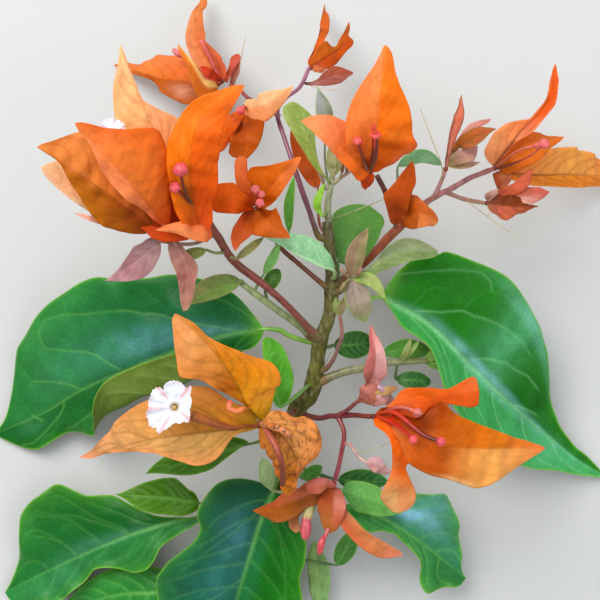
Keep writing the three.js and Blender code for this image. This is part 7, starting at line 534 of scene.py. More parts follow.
        'q': [[(0.05, 1.29), (0.08, 1.15), (0.1, 1.09), (0.13, 1.11), (0.16, 1.12), (0.19, 1.07), (0.22, 1.1), (0.25, 1.11), (0.27, 1.09), (0.3, 1.11), (0.33, 0.99), (0.36, 0.87), (0.39, 0.71), (0.41, 0.61), (0.44, 0.51), (0.47, 0.43), (0.5, 0.38), (0.53, 0.33), (0.56, 0.37), (0.58, 0.43), (0.61, 0.52), (0.64, 0.6), (0.67, 0.69), (0.7, 0.79), (0.73, 0.88), (0.75, 0.97), (0.78, 1.06), (0.81, 1.16), (0.84, 1.19), (0.87, 1.24), (0.9, 1.29), (0.92, 1.32), (0.95, 1.41)], [(0.05, 1), (0.08, 0.88), (0.1, 0.8), (0.13, 0.75), (0.16, 0.7), (0.19, 0.68), (0.22, 0.65), (0.25, 0.61), (0.27, 0.6), (0.3, 0.62), (0.33, 0.62), (0.36, 0.62), (0.39, 0.61), (0.41, 0.58), (0.44, 0.53), (0.47, 0.47), (0.5, 0.43), (0.53, 0.41), (0.56, 0.39), (0.58, 0.43), (0.61, 0.48), (0.64, 0.57), (0.67, 0.67), (0.7, 0.78), (0.73, 0.88), (0.75, 0.98), (0.78, 1.07), (0.81, 1.14), (0.84, 1.22), (0.87, 1.24), (0.9, 1.21), (0.92, 1.22), (0.95, 0.94)]]},
    'm_1': {'node': 'bloom_bottom', 'kind': 'bract', 'spine': [(6.62, -37.27, 30.53), (-0.95, -39.88, 33.03), (-5.3, -41.51, 32.03), (-11.84, -43.3, 28.03)],
        'left': [3.76, 0.5, 0.7], 'right': [3.27, 0.5, 0.7], 'fold': [8, -4], 'curl': [-16, -16],
        'q': [[(0.06, 0.96), (0.09, 0.96), (0.13, 0.86), (0.17, 0.8), (0.2, 0.77), (0.24, 0.75), (0.28, 0.72), (0.32, 0.67), (0.35, 0.64), (0.39, 0.7), (0.43, 0.77), (0.46, 0.86), (0.5, 0.94), (0.54, 0.99), (0.57, 1.05), (0.61, 1.09), (0.65, 1.14), (0.69, 1.16), (0.72, 1.19), (0.76, 1.24), (0.8, 1.24), (0.83, 1.24), (0.87, 1.26), (0.91, 1.14), (0.94, 0.96)], [(0.06, 1.43), (0.09, 1.31), (0.13, 1.25), (0.17, 1.18), (0.2, 1.15), (0.24, 1.05), (0.28, 0.97), (0.32, 0.87), (0.35, 0.76), (0.39, 0.71), (0.43, 0.74), (0.46, 0.77), (0.5, 0.79), (0.54, 0.8), (0.57, 0.81), (0.61, 0.81), (0.65, 0.74), (0.69, 0.65), (0.72, 0.53), (0.76, 0.49), (0.8, 0.46), (0.83, 0.44), (0.87, 0.4), (0.91, 0.35), (0.94, 0.29)]]},
    'm_2': {'node': 'bloom_bottom', 'kind': 'bract', 'spine': [(6.85, -37.5, 30.53), (6.55, -41.85, 33.53), (6.04, -47.98, 31.03)],
        'left': [2.83, 0.35, 0.45], 'right': [3.57, 0.35, 0.45], 'fold': [6, 6], 'curl': [-16, -16],
        'q': [[(0.06, 0.94), (0.09, 0.95), (0.13, 0.96), (0.17, 0.96), (0.2, 0.96), (0.24, 0.98), (0.28, 1.01), (0.32, 1), (0.35, 1), (0.39, 1), (0.43, 1), (0.46, 0.98), (0.5, 0.97), (0.54, 0.97), (0.57, 0.96), (0.61, 0.95), (0.65, 0.96), (0.69, 0.96), (0.72, 0.96), (0.76, 0.95), (0.8, 0.95), (0.83, 0.97), (0.87, 0.96), (0.91, 0.89), (0.94, 0.84)], [(0.06, 0.78), (0.09, 0.79), (0.13, 0.82), (0.17, 0.86), (0.2, 0.89), (0.24, 0.9), (0.28, 0.92), (0.32, 0.94), (0.35, 0.97), (0.39, 0.99), (0.43, 0.99), (0.46, 1), (0.5, 1.01), (0.54, 1.01), (0.57, 0.96), (0.61, 0.92), (0.65, 0.87), (0.69, 0.84), (0.72, 0.82), (0.76, 0.8), (0.8, 0.79), (0.83, 0.79), (0.87, 0.77), (0.91, 0.76), (0.94, 0.79)]]},
    'm_3': {'node': 'bloom_bottom', 'kind': 'bract', 'spine': [(7.77, -40.03, 30.53), (9.55, -45.06, 32.03), (14.2, -50.13, 30.53), (23.13, -54.31, 25.03)],
        'left': [2.21, 0.5, 0.7], 'right': [2.15, 0.5, 0.7], 'fold': [8, 8], 'curl': [-4, -4],
        'q': [[(0.06, 0.64), (0.09, 0.72), (0.13, 0.71), (0.17, 0.8), (0.2, 0.9), (0.24, 0.93), (0.28, 0.93), (0.32, 0.93), (0.35, 0.96), (0.39, 0.98), (0.43, 0.99), (0.46, 1), (0.5, 1.02), (0.54, 1.02), (0.57, 1.01), (0.61, 0.99), (0.65, 0.98), (0.69, 0.97), (0.72, 0.95), (0.76, 0.93), (0.8, 0.91), (0.83, 0.91), (0.87, 0.93), (0.91, 1.01), (0.94, 1.2)], [(0.06, 0.57), (0.09, 0.62), (0.13, 0.69), (0.17, 0.67), (0.2, 0.72), (0.24, 0.79), (0.28, 0.8), (0.32, 0.74), (0.35, 0.67), (0.39, 0.67), (0.43, 0.71), (0.46, 0.74), (0.5, 0.79), (0.54, 0.85), (0.57, 0.92), (0.61, 1.02), (0.65, 1.1), (0.69, 1.19), (0.72, 1.27), (0.76, 1.3), (0.8, 1.36), (0.83, 1.37), (0.87, 1.3), (0.91, 1.24), (0.94, 1.11)]]},
    'm_4': {'node': 'bloom_bottom', 'kind': 'bract', 'spine': [(-0.49, -42.48, 29.53), (-2.57, -45.56, 29.03), (-1.88, -48.6, 27.53)],
        'left': [1.41, 0.5, 0.4], 'right': [1.07, 0.5, 0.4], 'curl': [-6, -6],
        'q': [[(0.06, 1.29), (0.09, 0.99), (0.13, 0.83), (0.17, 0.73), (0.2, 0.66), (0.24, 0.6), (0.28, 0.56), (0.32, 0.6), (0.35, 0.73), (0.39, 0.83), (0.43, 0.91), (0.46, 0.96), (0.5, 0.99), (0.54, 0.99), (0.57, 1), (0.61, 1.01), (0.65, 1.01), (0.69, 1.02), (0.72, 1.02), (0.76, 1.04), (0.8, 1.05), (0.83, 1.08), (0.87, 1.12), (0.91, 1.2), (0.94, 1.38)], [(0.06, 1.54), (0.09, 1.25), (0.13, 1.09), (0.17, 0.99), (0.2, 0.93), (0.24, 0.89), (0.28, 0.86), (0.32, 0.84), (0.35, 0.84), (0.39, 0.86), (0.43, 0.91), (0.46, 0.91), (0.5, 0.89), (0.54, 0.91), (0.57, 0.99), (0.61, 1.01), (0.65, 0.98), (0.69, 0.98), (0.72, 1.02), (0.76, 1.02), (0.8, 0.92), (0.83, 0.85), (0.87, 0.77), (0.91, 0.71), (0.94, 0.65)]]},
    'n_1': {'node': 'bud_pink', 'kind': 'bract', 'spine': [(13, -16.5, 41.03), (14.8, -12.08, 44.53), (15.56, -7.17, 46.53), (14.53, -0.02, 45.53)],
        'left': [2.54, 0.5, 0.7], 'right': [3.04, 0.5, 0.7], 'fold': [22, 18], 'curl': [6, 6],
        'q': [[(0.06, 0.41), (0.09, 0.43), (0.13, 0.47), (0.17, 0.51), (0.2, 0.52), (0.24, 0.54), (0.28, 0.56), (0.32, 0.69), (0.35, 0.86), (0.39, 0.98), (0.43, 0.99), (0.46, 1), (0.5, 1.01), (0.54, 1.01), (0.57, 1.01), (0.61, 0.99), (0.65, 0.96), (0.69, 0.93), (0.72, 0.89), (0.76, 0.83), (0.8, 0.79), (0.83, 0.78), (0.87, 0.77), (0.91, 0.73), (0.94, 0.64)], [(0.06, 0.63), (0.09, 0.59), (0.13, 0.59), (0.17, 0.61), (0.2, 0.65), (0.24, 0.61), (0.28, 0.57), (0.32, 0.55), (0.35, 0.61), (0.39, 0.76), (0.43, 0.87), (0.46, 1), (0.5, 0.96), (0.54, 0.9), (0.57, 0.86), (0.61, 0.85), (0.65, 0.85), (0.69, 0.87), (0.72, 0.79), (0.76, 0.71), (0.8, 0.62), (0.83, 0.55), (0.87, 0.45), (0.91, 0.41), (0.94, 0.41)]]},
    'n_2': {'node': 'bud_pink', 'kind': 'bract', 'spine': [(12.27, -17.13, 40.03), (14.17, -15.4, 44.03), (16.37, -13.42, 44.03)],
        'left': [2.65, 0.5, 0.4], 'right': [3.04, 0.5, 0.4], 'fold': [4, 4], 'curl': [-14, -14],
        'q': [[(0.06, 0.52), (0.09, 0.54), (0.13, 0.57), (0.17, 0.61), (0.2, 0.64), (0.24, 0.68), (0.28, 0.72), (0.32, 0.75), (0.35, 0.76), (0.39, 0.78), (0.43, 0.8), (0.46, 0.82), (0.5, 0.85), (0.54, 0.88), (0.57, 0.91), (0.61, 0.95), (0.65, 1), (0.69, 1.03), (0.72, 1.01), (0.76, 0.99), (0.8, 0.97), (0.83, 0.96), (0.87, 0.96), (0.91, 0.94), (0.94, 0.93)], [(0.06, 0.47), (0.09, 0.48), (0.13, 0.51), (0.17, 0.55), (0.2, 0.57), (0.24, 0.61), (0.28, 0.65), (0.32, 0.68), (0.35, 0.69), (0.39, 0.71), (0.43, 0.74), (0.46, 0.78), (0.5, 0.82), (0.54, 0.87), (0.57, 0.94), (0.61, 1.01), (0.65, 0.96), (0.69, 0.92), (0.72, 0.89), (0.76, 0.86), (0.8, 0.84), (0.83, 0.84), (0.87, 0.85), (0.91, 0.88), (0.94, 0.98)]]},
    'n_3': {'node': 'bud_pink', 'kind': 'bract', 'spine': [(13.67, -17.16, 41.03), (16.96, -16.2, 45.03), (20.39, -17.01, 43.03)],
        'left': [1.79, 0.5, 0.7], 'right': [1.44, 0.5, 0.7], 'fold': [4, 4], 'curl': [-8, -8],
        'q': [[(0.06, 0.52), (0.09, 0.45), (0.13, 0.42), (0.17, 0.4), (0.2, 0.4), (0.24, 0.4), (0.28, 0.4), (0.32, 0.41), (0.35, 0.43), (0.39, 0.45), (0.43, 0.48), (0.46, 0.52), (0.5, 0.62), (0.54, 0.76), (0.57, 0.98), (0.61, 1.1), (0.65, 1.04), (0.69, 1.03), (0.72, 1.03), (0.76, 1.06), (0.8, 0.99), (0.83, 0.94), (0.87, 0.9), (0.91, 0.86), (0.94, 0.84)], [(0.06, 0.09), (0.09, 0.48), (0.13, 0.82), (0.17, 1.12), (0.2, 1.1), (0.24, 1.06), (0.28, 1.03), (0.32, 1.01), (0.35, 1), (0.39, 1), (0.43, 1), (0.46, 1), (0.5, 1.01), (0.54, 1.01), (0.57, 1.01), (0.61, 1), (0.65, 1.01), (0.69, 1.04), (0.72, 1.07), (0.76, 1.11), (0.8, 1.17), (0.83, 1.26), (0.87, 1.4), (0.91, 1.38), (0.94, 1.23)]]},
    'n2': {'node': 'bud_lilac', 'kind': 'bract', 'spine': [(13.95, -31.14, 35.53), (16.37, -31.47, 36.53), (19.7, -33.29, 35.53)],
        'left': [1.73, 0.5, 0.7], 'right': [1.99, 0.5, 0.7], 'fold': [4, 4], 'curl': [-24, -24], 'stalk': [(10.19, -27.09, 33.43), (12.19, -29.89, 34.63), (15.08, -32.72, 35.53)], 'stalk_r': 0.33,
        'q': [[(0.06, 0.72), (0.09, 0.8), (0.13, 0.89), (0.17, 0.87), (0.2, 0.87), (0.24, 0.9), (0.28, 0.95), (0.32, 1), (0.35, 0.98), (0.39, 0.98), (0.43, 1), (0.46, 1), (0.5, 0.88), (0.54, 0.78), (0.57, 0.68), (0.61, 0.59), (0.65, 0.5), (0.69, 0.45), (0.72, 0.43), (0.76, 0.41), (0.8, 0.4), (0.83, 0.39), (0.87, 0.38), (0.91, 0.37), (0.94, 0.38)], [(0.06, 0.89), (0.09, 1.02), (0.13, 1.15), (0.17, 1.16), (0.2, 1.1), (0.24, 1.06), (0.28, 1.04), (0.32, 1.02), (0.35, 1.01), (0.39, 1), (0.43, 1), (0.46, 0.99), (0.5, 1), (0.54, 1), (0.57, 1.01), (0.61, 1.02), (0.65, 1.03), (0.69, 1.05), (0.72, 1.08), (0.76, 1.12), (0.8, 1.19), (0.83, 1.28), (0.87, 1.43), (0.91, 1.54), (0.94, 1.37)]]},
    'o': {'node': 'bract_back', 'kind': 'bract', 'spine': [(3.22, 31.45, 27.03), (0.21, 38.18, 25.03), (-3.08, 45.45, 23.03)],
        'left': [2.34, 0.6, 0.8], 'right': [2.34, 0.6, 0.8], 'stalk': [(5.51, 20, 28.43), (3.71, 22.65, 26.43), (3.24, 26.84, 26.43), (3.22, 31.22, 27.03)], 'stalk_r': 0.35},
    'a_9': {'node': 'bloom_front_left', 'kind': 'bract', 'spine': [(-23.28, 19.6, 50.03), (-28.04, 18.98, 54.03), (-34.48, 20.62, 55.03)],
        'left': [1.61, 0.5, 0.7], 'right': [1.57, 0.5, 0.7], 'curl': [-14, -14],
        'q': [[(0.06, 0.42), (0.09, 0.47), (0.13, 0.53), (0.17, 0.58), (0.2, 0.64), (0.24, 0.67), (0.28, 0.67), (0.32, 0.67), (0.35, 0.69), (0.39, 0.73), (0.43, 0.78), (0.46, 0.81), (0.5, 0.87), (0.54, 0.95), (0.57, 1.06), (0.61, 1.06), (0.65, 1.07), (0.69, 1.1), (0.72, 1.14), (0.76, 1.21), (0.8, 1.24), (0.83, 1.13), (0.87, 0.99), (0.91, 0.81), (0.94, 0.55)], [(0.06, 0.69), (0.09, 0.85), (0.13, 0.91), (0.17, 0.9), (0.2, 0.9), (0.24, 0.91), (0.28, 0.92), (0.32, 0.94), (0.35, 0.95), (0.39, 0.97), (0.43, 0.98), (0.46, 1), (0.5, 1.02), (0.54, 1.03), (0.57, 1.04), (0.61, 1.04), (0.65, 1.05), (0.69, 1.06), (0.72, 1.08), (0.76, 1.12), (0.8, 1.19), (0.83, 1.29), (0.87, 1.44), (0.91, 1.42), (0.94, 1.38)]]},
    'a_8': {'node': 'bloom_front_left', 'kind': 'bract', 'spine': [(-22.31, 20.38, 51.53), (-25.92, 25.11, 54.03), (-30.36, 30.22, 56.03)],
        'left': [7.07, 0.5, 0.7], 'right': [7.01, 0.5, 0.7], 'fold': [8, 8], 'curl': [6, 6],
        'q': [[(0.06, 0.53), (0.09, 0.55), (0.13, 0.57), (0.17, 0.6), (0.2, 0.63), (0.24, 0.68), (0.28, 0.72), (0.32, 0.76), (0.35, 0.8), (0.39, 0.84), (0.43, 0.88), (0.46, 0.93), (0.5, 0.99), (0.54, 1.03), (0.57, 1.05), (0.61, 1.06), (0.65, 1.09), (0.69, 1.13), (0.72, 1.18), (0.76, 1.25), (0.8, 1.35), (0.83, 1.46), (0.87, 1.53), (0.91, 1.68), (0.94, 2.04)], [(0.06, 0.81), (0.09, 0.81), (0.13, 0.76), (0.17, 0.74), (0.2, 0.74), (0.24, 0.75), (0.28, 0.76), (0.32, 0.79), (0.35, 0.82), (0.39, 0.86), (0.43, 0.9), (0.46, 0.95), (0.5, 1.02), (0.54, 1.02), (0.57, 1.03), (0.61, 1.05), (0.65, 1.08), (0.69, 1.12), (0.72, 1.17), (0.76, 1.24), (0.8, 1.34), (0.83, 1.41), (0.87, 1.48), (0.91, 1.63), (0.94, 1.99)]]},
    'b_6': {'node': 'bloom_top_left', 'kind': 'bract', 'spine': [(-17.33, 56.69, 20.53), (-16.25, 58.86, 23.03), (-15.31, 61.92, 23.03)],
        'left': [0.74, 0.5, 0.7], 'right': [0.91, 0.5, 0.7], 'fold': [6, 6],
        'q': [[(0.06, 1.3), (0.09, 1.08), (0.13, 0.98), (0.17, 0.93), (0.2, 0.9), (0.24, 0.89), (0.28, 0.88), (0.32, 0.89), (0.35, 0.9), (0.39, 0.92), (0.43, 0.95), (0.46, 0.98), (0.5, 1.02), (0.54, 1.03), (0.57, 1), (0.61, 0.98), (0.65, 0.95), (0.69, 0.94), (0.72, 0.92), (0.76, 0.92), (0.8, 0.92), (0.83, 0.94), (0.87, 0.84), (0.91, 0.71), (0.94, 0.53)], [(0.06, 1.33), (0.09, 1.15), (0.13, 1.07), (0.17, 1.04), (0.2, 1.03), (0.24, 1.03), (0.28, 1.04), (0.32, 1.01), (0.35, 0.99), (0.39, 0.98), (0.43, 0.97), (0.46, 0.98), (0.5, 0.99), (0.54, 1.01), (0.57, 1.04), (0.61, 1.09), (0.65, 1.14), (0.69, 1.18), (0.72, 1.14), (0.76, 1.11), (0.8, 1.1), (0.83, 1.1), (0.87, 1.12), (0.91, 1.19), (0.94, 1.37)]]},
    'c_4': {'node': 'bloom_top_middle', 'kind': 'bract', 'spine': [(1.66, 60.48, 20.53), (3.29, 60.13, 22.53), (4.95, 59.75, 22.03)],
        'left': [0.56, 0.5, 0.7], 'right': [1.05, 0.5, 0.7], 'curl': [-10, -10],
        'q': [[(0.06, 1.09), (0.09, 0.92), (0.13, 0.84), (0.17, 0.8), (0.2, 0.78), (0.24, 0.77), (0.28, 0.77), (0.32, 0.79), (0.35, 0.8), (0.39, 0.83), (0.43, 0.87), (0.46, 0.92), (0.5, 0.99), (0.54, 1.01), (0.57, 0.99), (0.61, 0.99), (0.65, 1.01), (0.69, 1.06), (0.72, 1.14), (0.76, 1.24), (0.8, 1.39), (0.83, 1.59), (0.87, 1.9), (0.91, 2.39), (0.94, 2.6)], [(0.06, 0.29), (0.09, 0.39), (0.13, 0.48), (0.17, 0.56), (0.2, 0.63), (0.24, 0.7), (0.28, 0.78), (0.32, 0.86), (0.35, 0.93), (0.39, 0.95), (0.43, 0.96), (0.46, 0.98), (0.5, 1), (0.54, 1.03), (0.57, 1.06), (0.61, 1.1), (0.65, 1.14), (0.69, 1.19), (0.72, 1.25), (0.76, 1.32), (0.8, 1.42), (0.83, 1.56), (0.87, 1.53), (0.91, 1.48), (0.94, 1.47)]]},
    'f_5': {'node': 'bloom_middle', 'kind': 'bract', 'spine': [(-10.67, 25.53, 42.03), (-13.34, 21.08, 46.53), (-15.01, 16.03, 48.03)],
        'left': [2.5, 0.5, 0.7], 'right': [2.04, 0.5, 0.7], 'fold': [4, 4], 'curl': [-6, -6],
        'q': [[(0.06, 1.03), (0.09, 0.94), (0.13, 0.92), (0.17, 0.92), (0.2, 0.93), (0.24, 0.96), (0.28, 1), (0.32, 1.01), (0.35, 1), (0.39, 1), (0.43, 1), (0.46, 1), (0.5, 1.01), (0.54, 1.03), (0.57, 1.04), (0.61, 1.06), (0.65, 1), (0.69, 0.94), (0.72, 0.85), (0.76, 0.75), (0.8, 0.64), (0.83, 0.52), (0.87, 0.47), (0.91, 0.49), (0.94, 0.56)], [(0.06, 0.28), (0.09, 0.94), (0.13, 1.15), (0.17, 1.05), (0.2, 0.98), (0.24, 0.94), (0.28, 0.91), (0.32, 0.89), (0.35, 0.88), (0.39, 0.88), (0.43, 0.89), (0.46, 0.9), (0.5, 0.93), (0.54, 0.96), (0.57, 1.01), (0.61, 1.09), (0.65, 1.14), (0.69, 1.16), (0.72, 1.18), (0.76, 1.24), (0.8, 1.32), (0.83, 1.3), (0.87, 1.27), (0.91, 1.26), (0.94, 1.32)]]},
    'g_3': {'node': 'bloom_back_left', 'kind': 'bract', 'spine': [(-14.39, 48.76, 27.83), (-16.56, 44.34, 35.03), (-18.99, 38.79, 36.03)],
        'left': [1.43, 0.5, 0.7], 'right': [2.12, 0.5, 0.7], 'fold': [4, 4], 'curl': [-8, -4],
        'q': [[(0.06, 1.53), (0.09, 1.22), (0.13, 1.05), (0.17, 0.95), (0.2, 0.89), (0.24, 0.84), (0.28, 0.82), (0.32, 0.83), (0.35, 0.85), (0.39, 0.87), (0.43, 0.9), (0.46, 0.93), (0.5, 0.96), (0.54, 1), (0.57, 1.04), (0.61, 1.09), (0.65, 1.14), (0.69, 1.14), (0.72, 1.14), (0.76, 1.13), (0.8, 1.12), (0.83, 1.14), (0.87, 1.2), (0.91, 1.34), (0.94, 1.69)], [(0.06, 1.57), (0.09, 1.28), (0.13, 1.14), (0.17, 1.06), (0.2, 1.01), (0.24, 0.98), (0.28, 0.96), (0.32, 0.96), (0.35, 0.96), (0.39, 0.98), (0.43, 1), (0.46, 0.98), (0.5, 0.98), (0.54, 0.98), (0.57, 1), (0.61, 1.03), (0.65, 1.07), (0.69, 1.11), (0.72, 1.14), (0.76, 1.19), (0.8, 1.27), (0.83, 1.39), (0.87, 1.47), (0.91, 1.48), (0.94, 1.58)]]},
    'h_4': {'node': 'bloom_far_right', 'kind': 'bract', 'spine': [(44.66, 35.15, 29.53), (45.2, 33.13, 29.03), (45.97, 31.22, 27.03)],
        'left': [3.01, 0.5, 0.7], 'right': [1.4, 0.5, 0.7], 'curl': [-10, -10],
        'q': [[(0.06, 0.04), (0.09, 0.12), (0.13, 0.37), (0.17, 0.57), (0.2, 0.74), (0.24, 0.91), (0.28, 1.05), (0.32, 1.01), (0.35, 0.98), (0.39, 0.96), (0.43, 0.95), (0.46, 0.94), (0.5, 0.94), (0.54, 0.95), (0.57, 0.96), (0.61, 0.98), (0.65, 1.01), (0.69, 1.05), (0.72, 1.07), (0.76, 1.08), (0.8, 1.1), (0.83, 1.15), (0.87, 1.23), (0.91, 1.39), (0.94, 1.74)], [(0.06, 1.93), (0.09, 1.54), (0.13, 1.34), (0.17, 1.22), (0.2, 1.13), (0.24, 1.07), (0.28, 1.03), (0.32, 1), (0.35, 0.98), (0.39, 0.96), (0.43, 0.94), (0.46, 0.93), (0.5, 0.93), (0.54, 0.93), (0.57, 0.94), (0.61, 0.95), (0.65, 0.98), (0.69, 1.01), (0.72, 1.06), (0.76, 1.12), (0.8, 1.21), (0.83, 1.34), (0.87, 1.53), (0.91, 1.61), (0.94, 1.84)]]},
    'i_5': {'node': 'bud_right_upper', 'kind': 'bract', 'spine': [(32.23, 35.48, 37.53), (35.57, 35.28, 39.53), (39.2, 36.11, 39.03)],
        'left': [1.35, 0.5, 0.7], 'right': [0.69, 0.5, 0.7], 'fold': [4, 4], 'curl': [-6, -6],
        'q': [[(0.06, 0.89), (0.09, 1.03), (0.13, 1.14), (0.17, 1.07), (0.2, 1.02), (0.24, 1), (0.28, 0.98), (0.32, 0.98), (0.35, 0.98), (0.39, 0.98), (0.43, 0.99), (0.46, 1), (0.5, 1.01), (0.54, 0.98), (0.57, 0.94), (0.61, 0.9), (0.65, 0.85), (0.69, 0.81), (0.72, 0.75), (0.76, 0.69), (0.8, 0.65), (0.83, 0.64), (0.87, 0.62), (0.91, 0.61), (0.94, 0.63)], [(0.06, 0.83), (0.09, 0.93), (0.13, 1.03), (0.17, 0.97), (0.2, 0.92), (0.24, 0.88), (0.28, 0.86), (0.32, 0.86), (0.35, 0.87), (0.39, 0.89), (0.43, 0.88), (0.46, 0.88), (0.5, 0.9), (0.54, 0.94), (0.57, 1.01), (0.61, 1.1), (0.65, 1.09), (0.69, 1.04), (0.72, 1), (0.76, 0.97), (0.8, 0.96), (0.83, 0.91), (0.87, 0.84), (0.91, 0.78), (0.94, 0.7)]]},
    'j_4': {'node': 'bud_right_lower', 'kind': 'bract', 'spine': [(41.9, 28.47, 29.53), (42.91, 29.42, 32.03), (44.51, 30.57, 32.03)],
        'left': [1.19, 0.5, 0.7], 'right': [0.84, 0.5, 0.7], 'curl': [-10, -10],
        'q': [[(0.06, 1.2), (0.09, 1.07), (0.13, 1.03), (0.17, 1.03), (0.2, 1.03), (0.24, 1.06), (0.28, 1.05), (0.32, 1.01), (0.35, 0.98), (0.39, 0.95), (0.43, 0.93), (0.46, 0.92), (0.5, 0.91), (0.54, 0.91), (0.57, 0.91), (0.61, 0.92), (0.65, 0.94), (0.69, 0.95), (0.72, 0.93), (0.76, 0.91), (0.8, 0.9), (0.83, 0.91), (0.87, 0.94), (0.91, 1.02), (0.94, 1.21)], [(0.06, 1.92), (0.09, 1.54), (0.13, 1.34), (0.17, 1.22), (0.2, 1.14), (0.24, 1.09), (0.28, 1.05), (0.32, 1.03), (0.35, 1.01), (0.39, 1), (0.43, 1), (0.46, 1), (0.5, 1.01), (0.54, 1.03), (0.57, 1.05), (0.61, 1.06), (0.65, 1.07), (0.69, 1.08), (0.72, 1.11), (0.76, 1.14), (0.8, 1.2), (0.83, 1.29), (0.87, 1.43), (0.91, 1.67), (0.94, 1.84)]]},
    'm_5': {'node': 'bloom_bottom', 'kind': 'bract', 'spine': [(7.05, -37.13, 31.53), (4.01, -36.33, 35.53), (0.4, -37.17, 36.03)],
        'left': [1.82, 0.5, 0.5], 'right': [1.74, 0.5, 0.5], 'fold': [-4, -4], 'curl': [-16, -16],
        'q': [[(0.06, 0.8), (0.09, 0.76), (0.13, 0.76), (0.17, 0.78), (0.2, 0.8), (0.24, 0.83), (0.28, 0.87), (0.32, 0.9), (0.35, 0.93), (0.39, 0.94), (0.43, 0.95), (0.46, 0.96), (0.5, 0.97), (0.54, 0.99), (0.57, 1), (0.61, 1.02), (0.65, 1.05), (0.69, 1.07), (0.72, 1.1), (0.76, 1.14), (0.8, 1.18), (0.83, 1.2), (0.87, 1.23), (0.91, 1.3), (0.94, 1.49)], [(0.06, 0.78), (0.09, 0.79), (0.13, 0.83), (0.17, 0.88), (0.2, 0.86), (0.24, 0.84), (0.28, 0.82), (0.32, 0.82), (0.35, 0.83), (0.39, 0.84), (0.43, 0.87), (0.46, 0.91), (0.5, 0.92), (0.54, 0.92), (0.57, 0.95), (0.61, 0.99), (0.65, 1.05), (0.69, 1.06), (0.72, 1.09), (0.76, 1.13), (0.8, 1.2), (0.83, 1.26), (0.87, 1.28), (0.91, 1.36), (0.94, 1.55)]]},
    'n_4': {'node': 'bud_pink', 'kind': 'bract', 'spine': [(13.67, -16.72, 41.03), (16.93, -14.63, 45.53), (20.5, -13.83, 44.53)],
        'left': [0.98, 0.5, 0.7], 'right': [0.92, 0.5, 0.7], 'fold': [4, 4], 'curl': [-8, -8],
        'q': [[(0.06, 0.8), (0.09, 0.67), (0.13, 0.61), (0.17, 0.57), (0.2, 0.55), (0.24, 0.54), (0.28, 0.54), (0.32, 0.54), (0.35, 0.55), (0.39, 0.57), (0.43, 0.59), (0.46, 0.62), (0.5, 0.66), (0.54, 0.69), (0.57, 0.74), (0.61, 0.82), (0.65, 0.94), (0.69, 1.08), (0.72, 1.27), (0.76, 1.28), (0.8, 1.28), (0.83, 1.33), (0.87, 1.42), (0.91, 1.58), (0.94, 1.97)], [(0.06, 1.28), (0.09, 1.06), (0.13, 0.95), (0.17, 0.9), (0.2, 0.86), (0.24, 0.85), (0.28, 0.84), (0.32, 0.84), (0.35, 0.85), (0.39, 0.86), (0.43, 0.88), (0.46, 0.9), (0.5, 0.93), (0.54, 0.98), (0.57, 1.03), (0.61, 1.09), (0.65, 1.14), (0.69, 1.2), (0.72, 1.25), (0.76, 1.31), (0.8, 1.4), (0.83, 1.4), (0.87, 1.4), (0.91, 1.43), (0.94, 1.57)]]},
    'sr_a': {'node': 'shoot_right', 'kind': 'bract', 'spine': [(28.66, -9.02, 21.03), (31.68, -6.86, 21.53), (35.11, -4.29, 20.53)],
        'left': [1.42, 0.6, 0.8], 'right': [1.42, 0.6, 0.8]},
    'sr_b': {'node': 'shoot_right', 'kind': 'bract', 'spine': [(28.66, -9.02, 21.03), (32.26, -9.75, 20.53), (36.3, -9.85, 18.53)],
        'left': [1.19, 0.6, 0.8], 'right': [1.43, 0.6, 0.8]},
    'sr_c': {'node': 'shoot_right', 'kind': 'bract', 'spine': [(22.6, -9.17, 22.83), (23.6, -7.19, 25.03), (25, -3.45, 25.03)],
        'left': [0.82, 0.6, 0.8], 'right': [0.82, 0.6, 0.8]},
    'sr_d': {'node': 'shoot_right', 'kind': 'bract', 'spine': [(22.83, -8.93, 22.83), (24.81, -6.74, 24.53), (27.2, -3.95, 24.03)],
        'left': [0.7, 0.6, 0.8], 'right': [0.7, 0.6, 0.8]},
    'sc_a': {'node': 'stalk_short', 'kind': 'bract', 'spine': [(8.19, 1.78, 31.83), (8.61, 4.07, 33.03), (10.2, 7.03, 33.03)],
        'left': [0.91, 0.6, 0.8], 'right': [0.91, 0.6, 0.8]},
    'sc_b': {'node': 'stalk_short', 'kind': 'bract', 'spine': [(8.19, 1.78, 31.83), (7.26, 3.61, 32.53), (7.27, 6.12, 32.03)],
        'left': [0.69, 0.6, 0.8], 'right': [0.69, 0.6, 0.8]},
}

SEATS = {
    'bloom_front_left': (-21.1, 21.72, 50.53),
    'bloom_top_left': (-19.49, 57.37, 20.03),
    'bloom_top_middle': (1.66, 60.48, 20.53),
    'bloom_top_right': (14.37, 33.28, 48.53),
    'bloom_small_right': (21.22, 22.12, 43.63),
    'bloom_middle': (-10.23, 26.19, 42.03),
    'bloom_back_left': (-13.76, 50.47, 26.43),
    'bloom_far_right': (43.9, 35.8, 30.03),
    'bud_right_upper': (31.84, 34.86, 37.03),
    'bud_right_lower': (42.2, 27.82, 29.03),
    'bloom_lower_left': (-10.18, -22.92, 36.53),
    'bloom_lower_right': (15.55, -20.56, 39.03),
    'bloom_bottom': (6.64, -37.37, 29.83),
    'bud_pink': (12.18, -16.94, 39.63),
    'rosette': (10.81, 10.53, 34.93),
}

